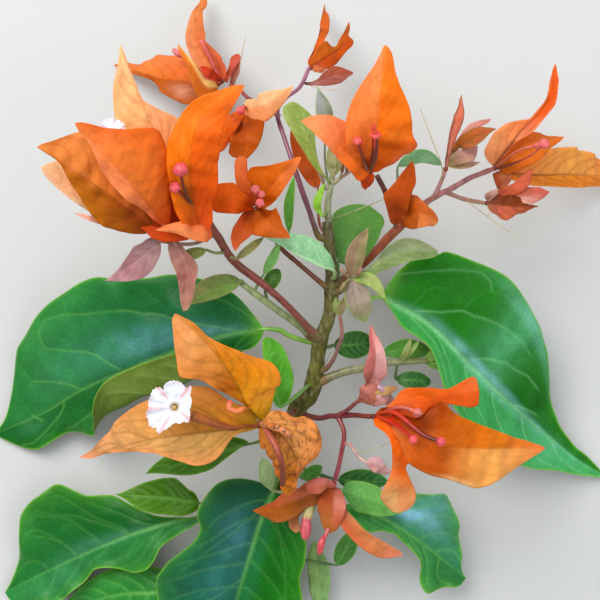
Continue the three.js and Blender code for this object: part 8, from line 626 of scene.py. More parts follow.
# Side veins of the large leaves as (share of the half width, share of the length).
VEINS = {
    'left_big': {'sides': (-1,),
        'major': [
            [(0.05, 0.075), (0.1, 0.1), (0.15, 0.125), (0.2, 0.15), (0.25, 0.18), (0.3, 0.205), (0.35, 0.23), (0.4, 0.255), (0.48, 0.28), (0.53, 0.31), (0.55, 0.34), (0.6, 0.37), (0.62, 0.4), (0.62, 0.44), (0.65, 0.485), (0.68, 0.515), (0.73, 0.55), (0.8, 0.585), (0.83, 0.615), (0.88, 0.645), (0.83, 0.68), (0.62, 0.68)],
            [(1.0, 0.0), (0.73, 0.02), (0.68, 0.04), (0.65, 0.07), (0.7, 0.1), (0.7, 0.12), (0.73, 0.14)],
            [(0.03, 0.48), (0.12, 0.505), (0.25, 0.535), (0.33, 0.565), (0.4, 0.6), (0.45, 0.625), (0.53, 0.65), (0.62, 0.68)],
            [(0.0, 0.635), (0.12, 0.665), (0.2, 0.69), (0.3, 0.72), (0.48, 0.79)],
            [(-0.22, 0.825), (0.05, 0.85)],
        ],
        'minor': [
            [(0.62, 0.4), (0.7, 0.415), (0.78, 0.43), (0.85, 0.45), (0.88, 0.475), (0.93, 0.5), (0.98, 0.525)],
            [(0.5, 0.27), (0.68, 0.28), (0.78, 0.3), (0.88, 0.32)],
            [(0.62, 0.68), (0.8, 0.69)],
            [(0.62, 0.68), (0.7, 0.72), (0.85, 0.785)],
            [(0.48, 0.79), (0.62, 0.8), (0.83, 0.81)],
            [(0.48, 0.79), (0.6, 0.845)],
        ],
    },
    'right_big': {'sides': (1,),
        'major': [
            [(-0.05, 0.105), (-0.1, 0.125), (-0.17, 0.15), (-0.22, 0.17), (-0.3, 0.19), (-0.38, 0.21), (-0.42, 0.245), (-0.5, 0.28), (-0.55, 0.31), (-0.6, 0.345), (-0.65, 0.39), (-0.68, 0.435), (-0.7, 0.475)],
            [(-0.5, 0.005), (-0.9, 0.005), (-0.95, 0.01), (-0.68, 0.035), (-0.65, 0.06), (-0.7, 0.085), (-0.7, 0.115), (-0.75, 0.13), (-0.8, 0.14), (-0.85, 0.16), (-0.9, 0.185), (-0.85, 0.215), (-0.78, 0.23)],
            [(-0.02, 0.32), (-0.1, 0.345), (-0.2, 0.37), (-0.27, 0.4), (-0.35, 0.43), (-0.4, 0.475), (-0.5, 0.515), (-0.6, 0.575)],
            [(0.1, 0.495), (-0.02, 0.54), (-0.12, 0.58), (-0.27, 0.63)],
        ],
        'minor': [
            [(-0.38, 0.21), (-0.57, 0.21), (-0.68, 0.22), (-0.75, 0.23), (-0.85, 0.275), (-0.85, 0.305), (-0.88, 0.34)],
            [(-0.1, 0.09), (-0.35, 0.105), (-0.47, 0.125), (-0.52, 0.145)],
            [(0.12, 0.1), (0.9, 0.135)],
            [(0.15, 0.26), (0.38, 0.285), (0.53, 0.315), (0.65, 0.34)],
            [(0.2, 0.445), (0.33, 0.47), (0.45, 0.49), (0.55, 0.515), (0.68, 0.535)],
        ],
    },
    'b1': {'sides': (-1, 1),
        'major': [
            [(0.03, 0.32), (0.18, 0.355), (0.33, 0.395), (0.45, 0.43), (0.5, 0.475), (0.53, 0.52), (0.58, 0.565), (0.65, 0.61), (0.73, 0.655), (0.83, 0.7)],
            [(0.03, 0.585), (0.15, 0.605), (0.28, 0.63), (0.38, 0.665), (0.48, 0.7), (0.58, 0.735), (0.8, 0.775)],
        ],
        'minor': [
            [(-0.27, 0.235), (-0.35, 0.28), (-0.45, 0.325), (-0.52, 0.365), (-0.7, 0.41)],
        ],
    },
    'b3': {'sides': (-1, 1),
        'major': [
            [(0.12, 0.165), (0.18, 0.205), (0.28, 0.245), (0.35, 0.29), (0.48, 0.33), (0.58, 0.375), (0.65, 0.415), (0.7, 0.46), (0.73, 0.505), (0.75, 0.55), (0.78, 0.59)],
            [(0.03, 0.09), (-0.2, 0.13), (-0.38, 0.17), (-0.45, 0.23), (-0.52, 0.285), (-0.62, 0.345), (-0.7, 0.4), (-0.72, 0.455), (-0.72, 0.51), (-0.72, 0.565)],
            [(0.0, 0.515), (0.07, 0.565), (0.15, 0.615), (0.23, 0.66), (0.33, 0.705), (0.43, 0.75)],
        ],
        'minor': [
        ],
    },
}

# ---------------------------------------------------------------- places
SHIFT = np.array([-0.955, 5.435, 0.03])
CAM_Z = 330.0          # camera height over the first ground plane, mm
PX = 0.23              # mm in one picture unit 300 mm below the camera


def at(px, py, z):
    """point in mm whose place in the view is (px, py), at height z"""
    k = PX * (CAM_Z - z) / 300.0
    return np.array([(px - 300) * k, (300 - py) * k, z]) + SHIFT


# ---------------------------------------------------------------- curves
def crom(pts, n):
    """n+1 evenly spaced points on a smooth curve through pts"""
    P = np.array(pts, float)
    if len(P) == 2:
        t = np.linspace(0, 1, n + 1)[:, None]
        return P[0] * (1 - t) + P[1] * t
    Q = np.vstack([2 * P[0] - P[1], P, 2 * P[-1] - P[-2]])
    t = (np.arange(24) / 24.0)[:, None]
    out = []
    for i in range(1, len(Q) - 2):
        a, b, c, d = Q[i - 1], Q[i], Q[i + 1], Q[i + 2]
        out.append(0.5 * (2 * b + (c - a) * t + (2 * a - 5 * b + 4 * c - d) * t * t + (-a + 3 * b - 3 * c + d) * t ** 3))
    out = np.vstack(out + [P[-1:]])
    s = np.concatenate([[0], np.cumsum(np.linalg.norm(np.diff(out, axis=0), axis=1))])
    q = np.linspace(0, s[-1], n + 1)
    return np.stack([np.interp(q, s, out[:, k]) for k in range(3)], 1)


def length(C):
    return float(np.linalg.norm(np.diff(C, axis=0), axis=1).sum())


def along(y, v):
    """number, or evenly spaced values blended smoothly along v"""
    v = np.asarray(v, float)
    if not isinstance(y, (list, tuple)):
        return np.full_like(v, float(y))
    y = np.array(y, float)
    n = len(y)
    if n == 1:
        return np.full_like(v, y[0])
    h = 1 / (n - 1)
    d = np.diff(y) / h
    m = np.zeros(n)
    m[0], m[-1] = d[0], d[-1]
    for i in range(1, n - 1):
        m[i] = 0 if d[i - 1] * d[i] <= 0 else 2 * d[i - 1] * d[i] / (d[i - 1] + d[i])
    i = np.clip((v / h).astype(int), 0, n - 2)
    t = v / h - i
    return ((2 * t ** 3 - 3 * t ** 2 + 1) * y[i] + (t ** 3 - 2 * t ** 2 + t) * h * m[i]
            + (3 * t ** 2 - 2 * t ** 3) * y[i + 1] + (t ** 3 - t ** 2) * h * m[i + 1])


def stops(cols, v):
    """colour stops blended along v"""
    cols = np.array([lin(c) for c in cols])
    if len(cols) == 1:
        return np.repeat(cols, len(v), 0)
    x = np.linspace(0, 1, len(cols))
    return np.stack([np.interp(v, x, cols[:, k]) for k in range(3)], 1)


def field(P, seed, wave, n=12):
    """smooth unevenness about 0, features of about wave mm"""
    rng = np.random.default_rng(seed)
    P = np.asarray(P, float)
    out = np.zeros(P.shape[:-1])
    for _ in range(n):
        d = rng.normal(size=P.shape[-1])
        d /= np.linalg.norm(d)
        out += np.cos((P @ d) * (2 * math.pi / (wave * rng.uniform(0.6, 1.7))) + rng.uniform(0, 2 * math.pi))
    return out / math.sqrt(n / 2)


def ease(x):
    x = np.clip(x, 0, 1)
    return x * x * (3 - 2 * x)


def lin(c):
    """palette name or 0-255 triple to linear colour"""
    c = np.array(PALETTE[c] if isinstance(c, str) else c, float) / 255
    return np.where(c <= 0.04045, c / 12.92, ((c + 0.055) / 1.055) ** 2.4)


# ---------------------------------------------------------------- mesh parts
class Part:
    """one closed sheet or rod: vertices in mm, faces, colours, flat coordinates"""

    def __init__(self, V, quads, tris, base, mask, flat, qmat, tmat, qflat=None, uvq=None, uvt=None, area=1.0):
        self.V, self.quads, self.tris = V, np.array(quads, np.int64).reshape(-1, 4), np.array(tris, np.int64).reshape(-1, 3)
        self.base, self.mask, self.flat = base, mask, flat
        self.qmat = np.broadcast_to(qmat, len(self.quads)).astype(int)
        self.tmat = np.broadcast_to(tmat, len(self.tris)).astype(int)
        self.qflat = np.zeros(len(self.quads), bool) if qflat is None else qflat
        self.uvq, self.uvt, self.area = uvq, uvt, area


def cells(parts):
    """a place in the unit square for each part, by its area"""
    order = sorted(range(len(parts)), key=lambda i: -parts[i].area)
    rows = max(1, int(round(math.sqrt(len(parts) / 1.6))))
    per = -(-len(parts) // rows)
    groups = [order[i * per:(i + 1) * per] for i in range(rows) if order[i * per:(i + 1) * per]]
    hs = np.array([max(math.sqrt(parts[g[0]].area), 1e-3) for g in groups])
    hs = np.maximum(hs / hs.sum(), 0.08)
    hs /= hs.sum()
    out, y = {}, 0.0
    for g, h in zip(groups, hs):
        ws = np.array([math.sqrt(max(parts[i].area, 1e-3)) for i in g])
        ws = np.maximum(ws / ws.sum(), 0.05)
        ws /= ws.sum()
        x = 0.0
        for i, w in zip(g, ws):
            out[i] = (x, y, w, h)
            x += w
        y += h
    return out


def build(name, parts, mats, nodes):
    """joins parts to one mesh object that rides on the body"""
    place = cells(parts)
    V, off = [], 0
    loops, starts, totals, mat, flat, uva, uvb = [], [], [], [], [], [], []
    cur = 0
    for i, p in enumerate(parts):
        x, y, w, h = place[i]
        g = 0.006
        for F, uv, m, sh in ((p.quads, p.uvq, p.qmat, p.qflat), (p.tris, p.uvt, p.tmat, np.zeros(len(p.tris), bool))):
            if not len(F):
                continue
            k = F.shape[1]
            loops.append((F + off).ravel())
            starts.append(cur + k * np.arange(len(F)))
            totals.append(np.full(len(F), k))
            cur += k * len(F)
            mat.append(m)
            flat.append(sh)
            u = np.clip(uv.reshape(-1, 2), 0, 1)
            uva.append(np.stack([x + g + u[:, 0] * (w - 2 * g), y + g + u[:, 1] * (h - 2 * g)], 1))
            uvb.append(p.flat[F.ravel()])
        V.append(p.V)
        off += len(p.V)
    V = np.vstack(V) * 0.001
    loops, starts, totals = map(np.concatenate, (loops, starts, totals))
    me = bpy.data.meshes.new(name)
    me.vertices.add(len(V))
    me.vertices.foreach_set("co", V.astype(np.float32).ravel())
    me.loops.add(len(loops))
    me.loops.foreach_set("vertex_index", loops.astype(np.int32))
    me.polygons.add(len(starts))
    me.polygons.foreach_set("loop_start", starts.astype(np.int32))
    me.polygons.foreach_set("material_index", np.concatenate(mat).astype(np.int32))
    me.update(calc_edges=True)
    me.polygons.foreach_set("use_smooth", ~np.concatenate(flat))
    for nm, data in (("OFBake", np.vstack(uva)), ("Flat", np.vstack(uvb))):
        layer = me.uv_layers.new(name=nm)
        layer.data.foreach_set("uv", data.astype(np.float32).ravel())
    me.uv_layers.active = me.uv_layers["OFBake"]
    me.uv_layers["OFBake"].active_render = True
    for nm, key in (("base", "base"), ("mask", "mask")):
        data = np.vstack([getattr(p, key) for p in parts])
        a = me.color_attributes.new(nm, "FLOAT_COLOR", "POINT")
        a.data.foreach_set("color", np.hstack([data, np.ones((len(data), 1))]).astype(np.float32).ravel())
    for m in mats:
        me.materials.append(m)
    if me.validate(verbose=False):
        print("mesh repaired", name)
    me.update()
    ob = bpy.data.objects.new(name, me)
    bpy.context.scene.collection.objects.link(ob)
    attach(ob, "root")
    if nodes:
        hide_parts(*nodes)
    return ob


# ---------------------------------------------------------------- blades
def half_width(prof, more, v, least):
    w, p, q = prof
    m = p / (p + q)
    out = w * (np.maximum(v, 1e-6) / m) ** p * (np.maximum(1 - v, 1e-6) / (1 - m)) ** q
    if more:
        a = np.array(more)
        x = np.linspace(0, 1, 201)
        k = np.exp(-(np.arange(-10, 11) / 200 / 0.022) ** 2)
        r = np.convolve(np.pad(np.interp(x, a[:, 0], a[:, 1]), 10, mode="edge"), k / k.sum(), "valid")
        out = out * np.interp(v, x, r)
    return np.maximum(out, least)


def vein_paths(o, name, look, wl, wr, v, L, rng):
    """midrib side veins and loops near the edge, in flat mm (s across, t along)"""
    width = lambda u, q: u * np.interp(q, v, wl if u < 0 else wr)
    flat = lambda path: np.array([[width(u, q), q * L] for u, q in path])
    major, minor = [], []
    given = VEINS.get(name, {})
    for path in given.get("major", []):
        major.append(flat(path))
    for path in given.get("minor", []):
        minor.append(flat(path))
    n = look.get("nlat", 6)
    lean, top = look.get("lean", 0.17), look.get("reach", 0.86)
    for side in given.get("sides", (-1, 1)):
        last = None
        for i in range(n):
            v0 = 0.035 + 0.82 * (i / n) ** 1.08 + (0.03 if side > 0 else 0) + rng.uniform(-0.012, 0.012)
            x = np.linspace(0, 1, 9)
            vv = v0 + (lean + 0.10 * (1 - v0)) * x ** 1.45
            uu = side * top * x ** 0.92
            ok = vv < 0.975
            if ok.sum() < 3:
                continue
            path = np.array([[width(a, b), b * L] for a, b in zip(uu[ok], vv[ok])])
            (major if look.get("strong_lat", True) else minor).append(path)
            if last is not None and len(path) > 6:
                e, mid = last[-1], path[6]
                c = (e + mid) / 2 + np.array([side * 0.035 * L * 0.4, 0.02 * L])
                q = np.linspace(0, 1, 7)[:, None]
                minor.append((1 - q) ** 2 * e + 2 * q * (1 - q) * c + q * q * mid)
            # small branches off each side vein
            for f in (0.42, 0.68):
                k = int(f * (len(path) - 1))
                d = np.array([side * 0.04, 0.075]) * L * rng.uniform(0.6, 1.1)
                q = np.linspace(0, 1, 5)[:, None]
                minor.append(path[k] + d * q + np.array([side * 0.012, -0.006]) * L * np.sin(q * math.pi))
            last = path
    return major, minor


def near(paths, s, t):
    """distance in mm from each flat point to the nearest of the paths"""
    out = np.full(s.shape, 50.0)
    for path in paths:
        A, B = path[:-1], path[1:]
        for a, b in zip(A, B):
            d = b - a
            L2 = float(d @ d) + 1e-9
            q = np.clip(((s - a[0]) * d[0] + (t - a[1]) * d[1]) / L2, 0, 1)
            out = np.minimum(out, np.hypot(s - a[0] - q * d[0], t - a[1] - q * d[1]))
    return out


def netted(s, t, size, seed):
    """distance to the border of the nearest mesh of an irregular net"""
    i, j = np.floor(s / size), np.floor(t / size)
    best = []
    for a in (-1, 0, 1):
        for c in (-1, 0, 1):
            x, y = i + a, j + c
            p = (np.sin(x * 127.1 + y * 311.7 + seed) * 43758.5453) % 1.0
            q = (np.sin(x * 269.5 + y * 183.3 + seed * 1.7) * 24634.6345) % 1.0
            best.append(np.hypot((x + 0.12 + 0.76 * p) * size - s, (y + 0.12 + 0.76 * q) * size - t))
    best = np.sort(np.array(best), axis=0)
    return best[1] - best[0]


def blade(name, o, look, fine):
    """closed thin sheet with veins, folds and waves"""
    seed = sum(ord(c) * (7 + i) for i, c in enumerate(name))
    rng = np.random.default_rng(seed)
    dense = crom(o["spine"], 240)
    L = length(dense)
    wm = max(o["left"][0], o["right"][0]) * 1.1
    nv = int(np.clip(L / fine, 16, look.get("most", 250)))
    nu = int(np.clip(wm / fine, 6, 64))
    x = np.linspace(0, 1, nv + 1)
    v = x - 0.035 * np.sin(2 * math.pi * x)
    vv = np.linspace(0, 1, 241)
    C = np.stack([np.interp(v, vv, dense[:, k]) for k in range(3)], 1)
    T = np.gradient(dense, axis=0)
    T = np.stack([np.interp(v, vv, T[:, k]) for k in range(3)], 1)
    T /= np.linalg.norm(T, axis=1)[:, None]
    N = np.array([0, 0, 1.0]) - T[:, 2:3] * T
    N /= np.linalg.norm(N, axis=1)[:, None]
    S = np.cross(T, N)
    q = o.get("q", [[], []])
    wl = half_width(o["left"], q[0], v, 0.07)
    wr = half_width(o["right"], q[1], v, 0.07)
    fold, curl = o.get("fold", [0, 0]), o.get("curl", [0, 0])
    a = np.linspace(0, 1, nu + 1) ** 1.12
    u = np.concatenate([-a[:0:-1], a])
    M = 2 * nu + 1
    G, D = np.zeros((nv + 1, M, 3)), np.zeros((nv + 1, M, 3))
    s = np.where(u < 0, u[None] * wl[:, None], u[None] * wr[:, None])
    t = np.repeat((v * L)[:, None], M, 1)
    fine_a = np.linspace(0, 1, 61)
    for side, w, k in ((-1, wl, 0), (1, wr, 1)):
        f = np.radians(along(fold[k], v))[:, None]
        c = np.radians(along(curl[k], v))[:, None]
        zone = look.get("bend", {}).get(k)
        grow_a = ease((fine_a - zone[0]) / (zone[1] - zone[0])) if zone else fine_a
        th_ = f + c * grow_a[None]
        step_s, step_n = np.cos(th_), np.sin(th_)
        da = fine_a[1]
        ss_ = np.concatenate([np.zeros((nv + 1, 1)), np.cumsum((step_s[:, 1:] + step_s[:, :-1]) / 2 * da, 1)], 1)
        nn_ = np.concatenate([np.zeros((nv + 1, 1)), np.cumsum((step_n[:, 1:] + step_n[:, :-1]) / 2 * da, 1)], 1)
        idx = np.arange(0, nu + 1) if side < 0 else np.arange(nu, M)
        aa = np.abs(u[idx])
        j = np.clip((aa / da).astype(int), 0, 59)
        e = (aa / da - j)[None]
        pick = lambda F: F[:, j] * (1 - e) + F[:, j + 1] * e
        ss, nn, th2 = w[:, None] * pick(ss_), w[:, None] * pick(nn_), pick(th_)
        G[:, idx] = C[:, None] + S[:, None] * (side * ss)[..., None] + N[:, None] * nn[..., None]
        D[:, idx] = N[:, None] * np.cos(th2)[..., None] - S[:, None] * (side * np.sin(th2))[..., None]
    D[:, nu] = N
    A = np.abs(u)[None].repeat(nv + 1, 0)
    W = np.where(u[None] < 0, wl[:, None], wr[:, None])
    V1 = v[:, None].repeat(M, 1)
    flat = np.stack([s, t], -1)
    # waves of the edge and soft unevenness of the sheet
    grow = ease(V1 * 5) * ease((1 - V1) * 4 + 0.15)
    amp, wave = look.get("wave", (0.5, 13.0))
    side_ph = np.where(u[None] < 0, 0.0, 1.9)
    h = amp * A ** 2.2 * np.sin(2 * math.pi * t / wave + side_ph + rng.uniform(0, 6.28) + 1.2 * np.sin(t / wave * 1.7)) * grow
    ramp, rw = look.get("crumple", (0.16, 7.0))
    h += ramp * field(flat, seed + 1, rw) * grow
    if look.get("crinkle"):
        ca, cw = look["crinkle"]
        h += ca * field(flat, seed + 2, cw, 18) * grow
    # veins
    major, minor = vein_paths(o, name, look, wl, wr, v, L, rng)
    d1, d2 = near(major, s, t), near(minor, s, t)
    mid_w = look.get("mid", 0.5) * (1 - 0.75 * V1) + 0.08
    d0 = np.abs(s)
    puff = look.get("puff", 0.2)
    dn = np.minimum(d1, d0)
    edge = 1 - np.exp(-((1 - A) * W / 1.0) ** 2)
    h += puff * ((1 - np.exp(-(dn / 1.5) ** 2)) * 0.7 + 0.3 * (1 - np.exp(-(d2 / 0.9) ** 2))) * edge * grow
    m0 = np.exp(-(d0 / mid_w) ** 2) * np.clip(1.2 - V1, 0, 1)
    vw = max(look.get("vw", 0.2), 0.72 * fine)
    m1 = np.exp(-(d1 / vw) ** 2) * (1 - 0.55 * A)
    m2 = np.exp(-(d2 / (vw * 0.8)) ** 2) * 0.6 * (1 - 0.4 * A)
    veins = np.clip(np.maximum(m0, np.maximum(m1 * look.get("k1", 0.8), m2 * look.get("k2", 0.5))), 0, 1)
    mesh = None
    if look.get("net"):
        bend_s = s + 0.35 * field(flat, seed + 6, 3.0)
        mesh = np.exp(-(netted(bend_s, t - 0.5 * A * W, look["net"][0], seed % 97) / (2 * look["net"][3])) ** 2) * ease(V1 * 6) * ease((1 - V1) * 6)
        h += look["net"][4] * (1 - mesh) * edge
    rim = np.exp(-((1 - A) * W / look.get("rimw", 0.3)) ** 2)
    th = look.get("thick", 0.3)
    half = th / 2 * (1 - 0.6 * A ** 2)
    groove = look.get("groove", 0.12) * (1.4 * m0 + 0.7 * m1 + 0.3 * m2)
    ridge = look.get("ridge", 0.16) * (1.6 * m0 * (1 - 0.6 * V1) + 0.6 * m1 + 0.3 * m2)
    front = G + D * (h + half - groove)[..., None]
    back = G + D * (h - half - ridge)[..., None]
    # colours
    cl, cr = stops(look["c"], v), stops(look.get("d", look["c"]), v)
    k = ease((s / 0.5 + 1) / 2)[..., None]
    col = cl[:, None] * (1 - k) + cr[:, None] * k
    mott = 1 + look.get("mott", 0.10) * field(flat, seed + 3, look.get("mw", 5.0)) + 0.015 * field(flat, seed + 4, 1.7)
    toward = look.get("edge")
    if toward:
        e = (A ** look.get("ep", 3.0))[..., None] * look.get("ek", 0.6)
        col = col * (1 - e) + lin(toward) * e
    pair = look.get("edges")
    if pair:
        e = (A ** look.get("ep2", 1.6))[..., None] * look.get("ek2", 0.8)
        col = col * (1 - e) + np.where((s < 0)[..., None], lin(pair[0]), lin(pair[1])) * e
    base_c = look.get("root")
    if base_c:
        e = np.exp(-(V1 / look.get("rootw", 0.12)) ** 2)[..., None] * 0.85
        col = col * (1 - e) + lin(base_c) * e
    tip_c = look.get("tip")
    if tip_c:
        e = ease((V1 - look.get("tipv", 0.75)) / 0.25)[..., None] * 0.9
        col = col * (1 - e) + lin(tip_c) * e
    col = np.clip(col * mott[..., None] * np.array(look.get("gain", (1, 1, 1))), 0.001, 1)
    # patches of colour laid over the sheet: painted sheen, painted highlights and painted shade, with some patches of
    # the sheet's own tone
    for u0, v0, ru, rv, c0, k0 in look.get("patches", []):
        e = np.exp(-((u[None] - u0) / ru) ** 2 - ((V1 - v0) / rv) ** 2)
        e = (k0 * e * np.clip(0.85 + look.get("grain", 0.13) * field(flat, seed + 21, 4.5), 0, 1.3))[..., None]
        col = col * (1 - e) + lin(c0) * e
    # dark lines painted along creases: painted shade
    for path, cc, ww, kk in look.get("creases", []):
        pts = np.array([[(wl if a < 0 else wr)[np.argmin(np.abs(v - b))] * a, b * L] for a, b in path])
        q_ = np.exp(-(near([pts], s, t) / ww) ** 2)
        h_c = (kk * q_)[..., None]
        col = col * (1 - h_c) + lin(cc) * h_c
    spots = look.get("spots")
    if spots:
        f = field(flat, seed + 9, spots[1], 20)
        e = (ease((f - 1.25) / 0.6) * spots[2])[..., None]
        col = col * (1 - e) + lin(spots[0]) * e
    vc, vk = look.get("vc"), look.get("vk", 0.7)
    colf = col
    if vc:
        e = (veins * vk)[..., None]
        colf = col * (1 - e) + lin(vc) * e
    if mesh is not None:
        e = (mesh * look["net"][2])[..., None]
        colf = colf * (1 - e) + lin(look["net"][1]) * e
    rc = look.get("rimc")
    if rc:
        e = (rim * look.get("rk", 0.7))[..., None]
        colf = colf * (1 - e) + lin(rc) * e
    cb = lin(look["back"]) * np.ones_like(col) if look.get("back") else col * 0.92 + 0.03
    cb = np.clip(cb * mott[..., None], 0.001, 1)
    bv = look.get("bvc", vc)
    if bv:
        e = (veins * look.get("bvk", 0.6))[..., None]
        cb = cb * (1 - e) + lin(bv) * e
    if rc:
        e = (rim * look.get("rk", 0.7) * 0.6)[..., None]
        cb = cb * (1 - e) + lin(rc) * e
    # faces
    n1 = (nv + 1) * M
    I, J = np.meshgrid(np.arange(nv), np.arange(M - 1), indexing="ij")
    p0 = I * M + J
    fq = np.stack([p0, p0 + 1, p0 + M + 1, p0 + M], -1).reshape(-1, 4)
    bq = np.stack([p0 + M, p0 + M + 1, p0 + 1, p0], -1).reshape(-1, 4) + n1
    ring = np.concatenate([np.arange(M), np.arange(1, nv + 1) * M + M - 1, nv * M + np.arange(M - 2, -1, -1), np.arange(nv - 1, 0, -1) * M])
    nxt = np.roll(ring, -1)
    rq = np.stack([nxt, ring, ring + n1, nxt + n1], -1)
    U = (u[None].repeat(nv + 1, 0) + 1) / 2
    uvg = np.stack([U, V1], -1).reshape(-1, 2)
    fu = np.stack([uvg[fq % n1][..., 0] * 0.48, 0.05 + 0.95 * uvg[fq % n1][..., 1]], -1)
    bu = np.stack([0.52 + uvg[bq % n1][..., 0] * 0.48, 0.05 + 0.95 * uvg[bq % n1][..., 1]], -1)
    K = len(ring)
    r0, r1 = np.arange(K) / K, (np.arange(K) + 1) / K
    ru = np.stack([np.stack([r1, np.zeros(K)], -1), np.stack([r0, np.zeros(K)], -1), np.stack([r0, np.full(K, 0.03)], -1), np.stack([r1, np.full(K, 0.03)], -1)], 1)
    V = np.vstack([front.reshape(-1, 3), back.reshape(-1, 3)])
    base = np.vstack([colf.reshape(-1, 3), cb.reshape(-1, 3)])
    mk = np.stack([veins, rim, V1], -1).reshape(-1, 3)
    fl = np.stack([s, t], -1).reshape(-1, 2) / 10 + np.array([seed % 13, seed % 17])
    n = len(fq)
    mat = np.concatenate([np.zeros(n), np.ones(n), np.ones(K)])
    sharp = np.concatenate([np.zeros(2 * n, bool), np.ones(K, bool)])
    return Part(V, np.vstack([fq, bq, rq]), [], base, np.vstack([mk, mk]), np.vstack([fl, fl]), mat, 0, sharp,
                np.concatenate([fu, bu, ru]), None, area=L * wm * 4)


# ---------------------------------------------------------------- rods
def rod(path, r, sides, step, base, m=0, shape=None, cap=(0.0, 0.0), seed=1, even=0.0):
    """closed round rod along a path; shape(t, angle) scales the radius"""
    C = crom(path, 200)
    L = length(C)
    n = max(4, int(L / step))
    t = np.linspace(0, 1, n + 1)
    C = crom(path, n)
    T = np.gradient(C, axis=0)
    T /= np.linalg.norm(T, axis=1)[:, None]
    X = np.array([0, 0, 1.0]) if abs(T[0, 2]) < 0.9 else np.array([1.0, 0, 0])
    rr = along(list(r) if isinstance(r, (list, tuple)) else r, t)
    ang = np.linspace(0, 2 * math.pi, sides, endpoint=False)
    V, dirs = [], []
    for i in range(n + 1):
        X = X - T[i] * (T[i] @ X)
        X /= np.linalg.norm(X)
        Y = np.cross(T[i], X)
        d = np.cos(ang)[:, None] * X + np.sin(ang)[:, None] * Y
        V.append(C[i] + d * rr[i])
        dirs.append(d)
    V, dirs = np.array(V), np.array(dirs)
    Tg, Ag = np.meshgrid(t, ang, indexing="ij")
    if shape is not None:
        V = C[:, None] + dirs * (rr[:, None] * shape(Tg, Ag))[..., None]
    if even:
        V = V + dirs * (even * field(V, seed, 3.0))[..., None]
    V = V.reshape(-1, 3)
    I, J = np.meshgrid(np.arange(n), np.arange(sides), indexing="ij")
    p, pn = I * sides + J, I * sides + (J + 1) % sides
    Q = np.stack([p, pn, pn + sides, p + sides], -1).reshape(-1, 4)
    x0, x1 = J / sides, (J + 1) / sides
    y0, y1 = 0.1 + 0.8 * I / n, 0.1 + 0.8 * (I + 1) / n
    uvq = np.stack([np.stack([x0, y0], -1), np.stack([x1, y0], -1), np.stack([x1, y1], -1), np.stack([x0, y1], -1)], -2).reshape(-1, 4, 2)
    tris, uvt = [], []
    ends = []
    for e, (row, sgn, bulge) in enumerate(((0, -1, cap[0]), (n, 1, cap[1]))):
        c = len(V) + len(ends)
        ends.append(C[row] + sgn * T[row] * bulge)
        cx, cy = (0.05, 0.05) if e == 0 else (0.15, 0.95)
        for j in range(sides):
            a, b = row * sides + j, row * sides + (j + 1) % sides
            A, B = 2 * math.pi * j / sides, 2 * math.pi * (j + 1) / sides
            pa, pb = (cx + 0.045 * math.cos(A), cy + 0.045 * math.sin(A)), (cx + 0.045 * math.cos(B), cy + 0.045 * math.sin(B))
            if e == 0:
                tris.append((c, b, a)); uvt.append(((cx, cy), pb, pa))
            else:
                tris.append((c, a, b)); uvt.append(((cx, cy), pa, pb))
    nV = len(V)
    V = np.vstack([V, ends])
    col = stops(base, t) if not callable(base) else None
    if col is None:
        col = base(Tg, Ag, V[:nV].reshape(n + 1, sides, 3)).reshape(-1, 3)
    else:
        col = np.repeat(col[:, None], sides, 1).reshape(-1, 3)
        col = col * (1 + 0.10 * field(V[:nV], seed + 5, 2.0))[:, None]
    col = np.vstack([col, col[:1], col[nV - 1:nV]])
    fl = np.stack([Ag * rr[:, None], Tg * L], -1).reshape(-1, 2) / 10
    fl = np.vstack([fl, fl[:1], fl[-1:]]) + seed % 11
    mk = np.zeros((nV, 3))
    mk[:, 2] = Tg.ravel()
    mk = np.vstack([mk, [0, 0, 0], [0, 0, 1]])
    return Part(V, Q, tris, np.clip(col, 0.001, 1), mk, fl, m, m, None, uvq, np.array(uvt), area=max(L * rr.mean() * 6.3, 1.0))


def ball(c, r, base, m=0, axes=(1, 1, 1), seed=1, rough=0.06):
    """small uneven seat or bud as a rod along z that closes at both ends"""
    c = np.array(c, float)
    n = 14
    t = np.linspace(0, 1, n + 1)
    path = [c + np.array([0, 0, -r * axes[2] * 0.98]), c, c + np.array([0, 0, r * axes[2] * 0.98])]
    prof = lambda T, A: np.maximum(np.sqrt(np.clip(1 - (2 * T - 1) ** 2, 0, 1)), 0.05)
    p = rod(path, r, 16, r * 2 / n, base, m, prof, (0.02 * r, 0.02 * r), seed, rough * r)
    p.V = (p.V - c) * np.array([axes[0], axes[1], 1.0]) + c
    return p


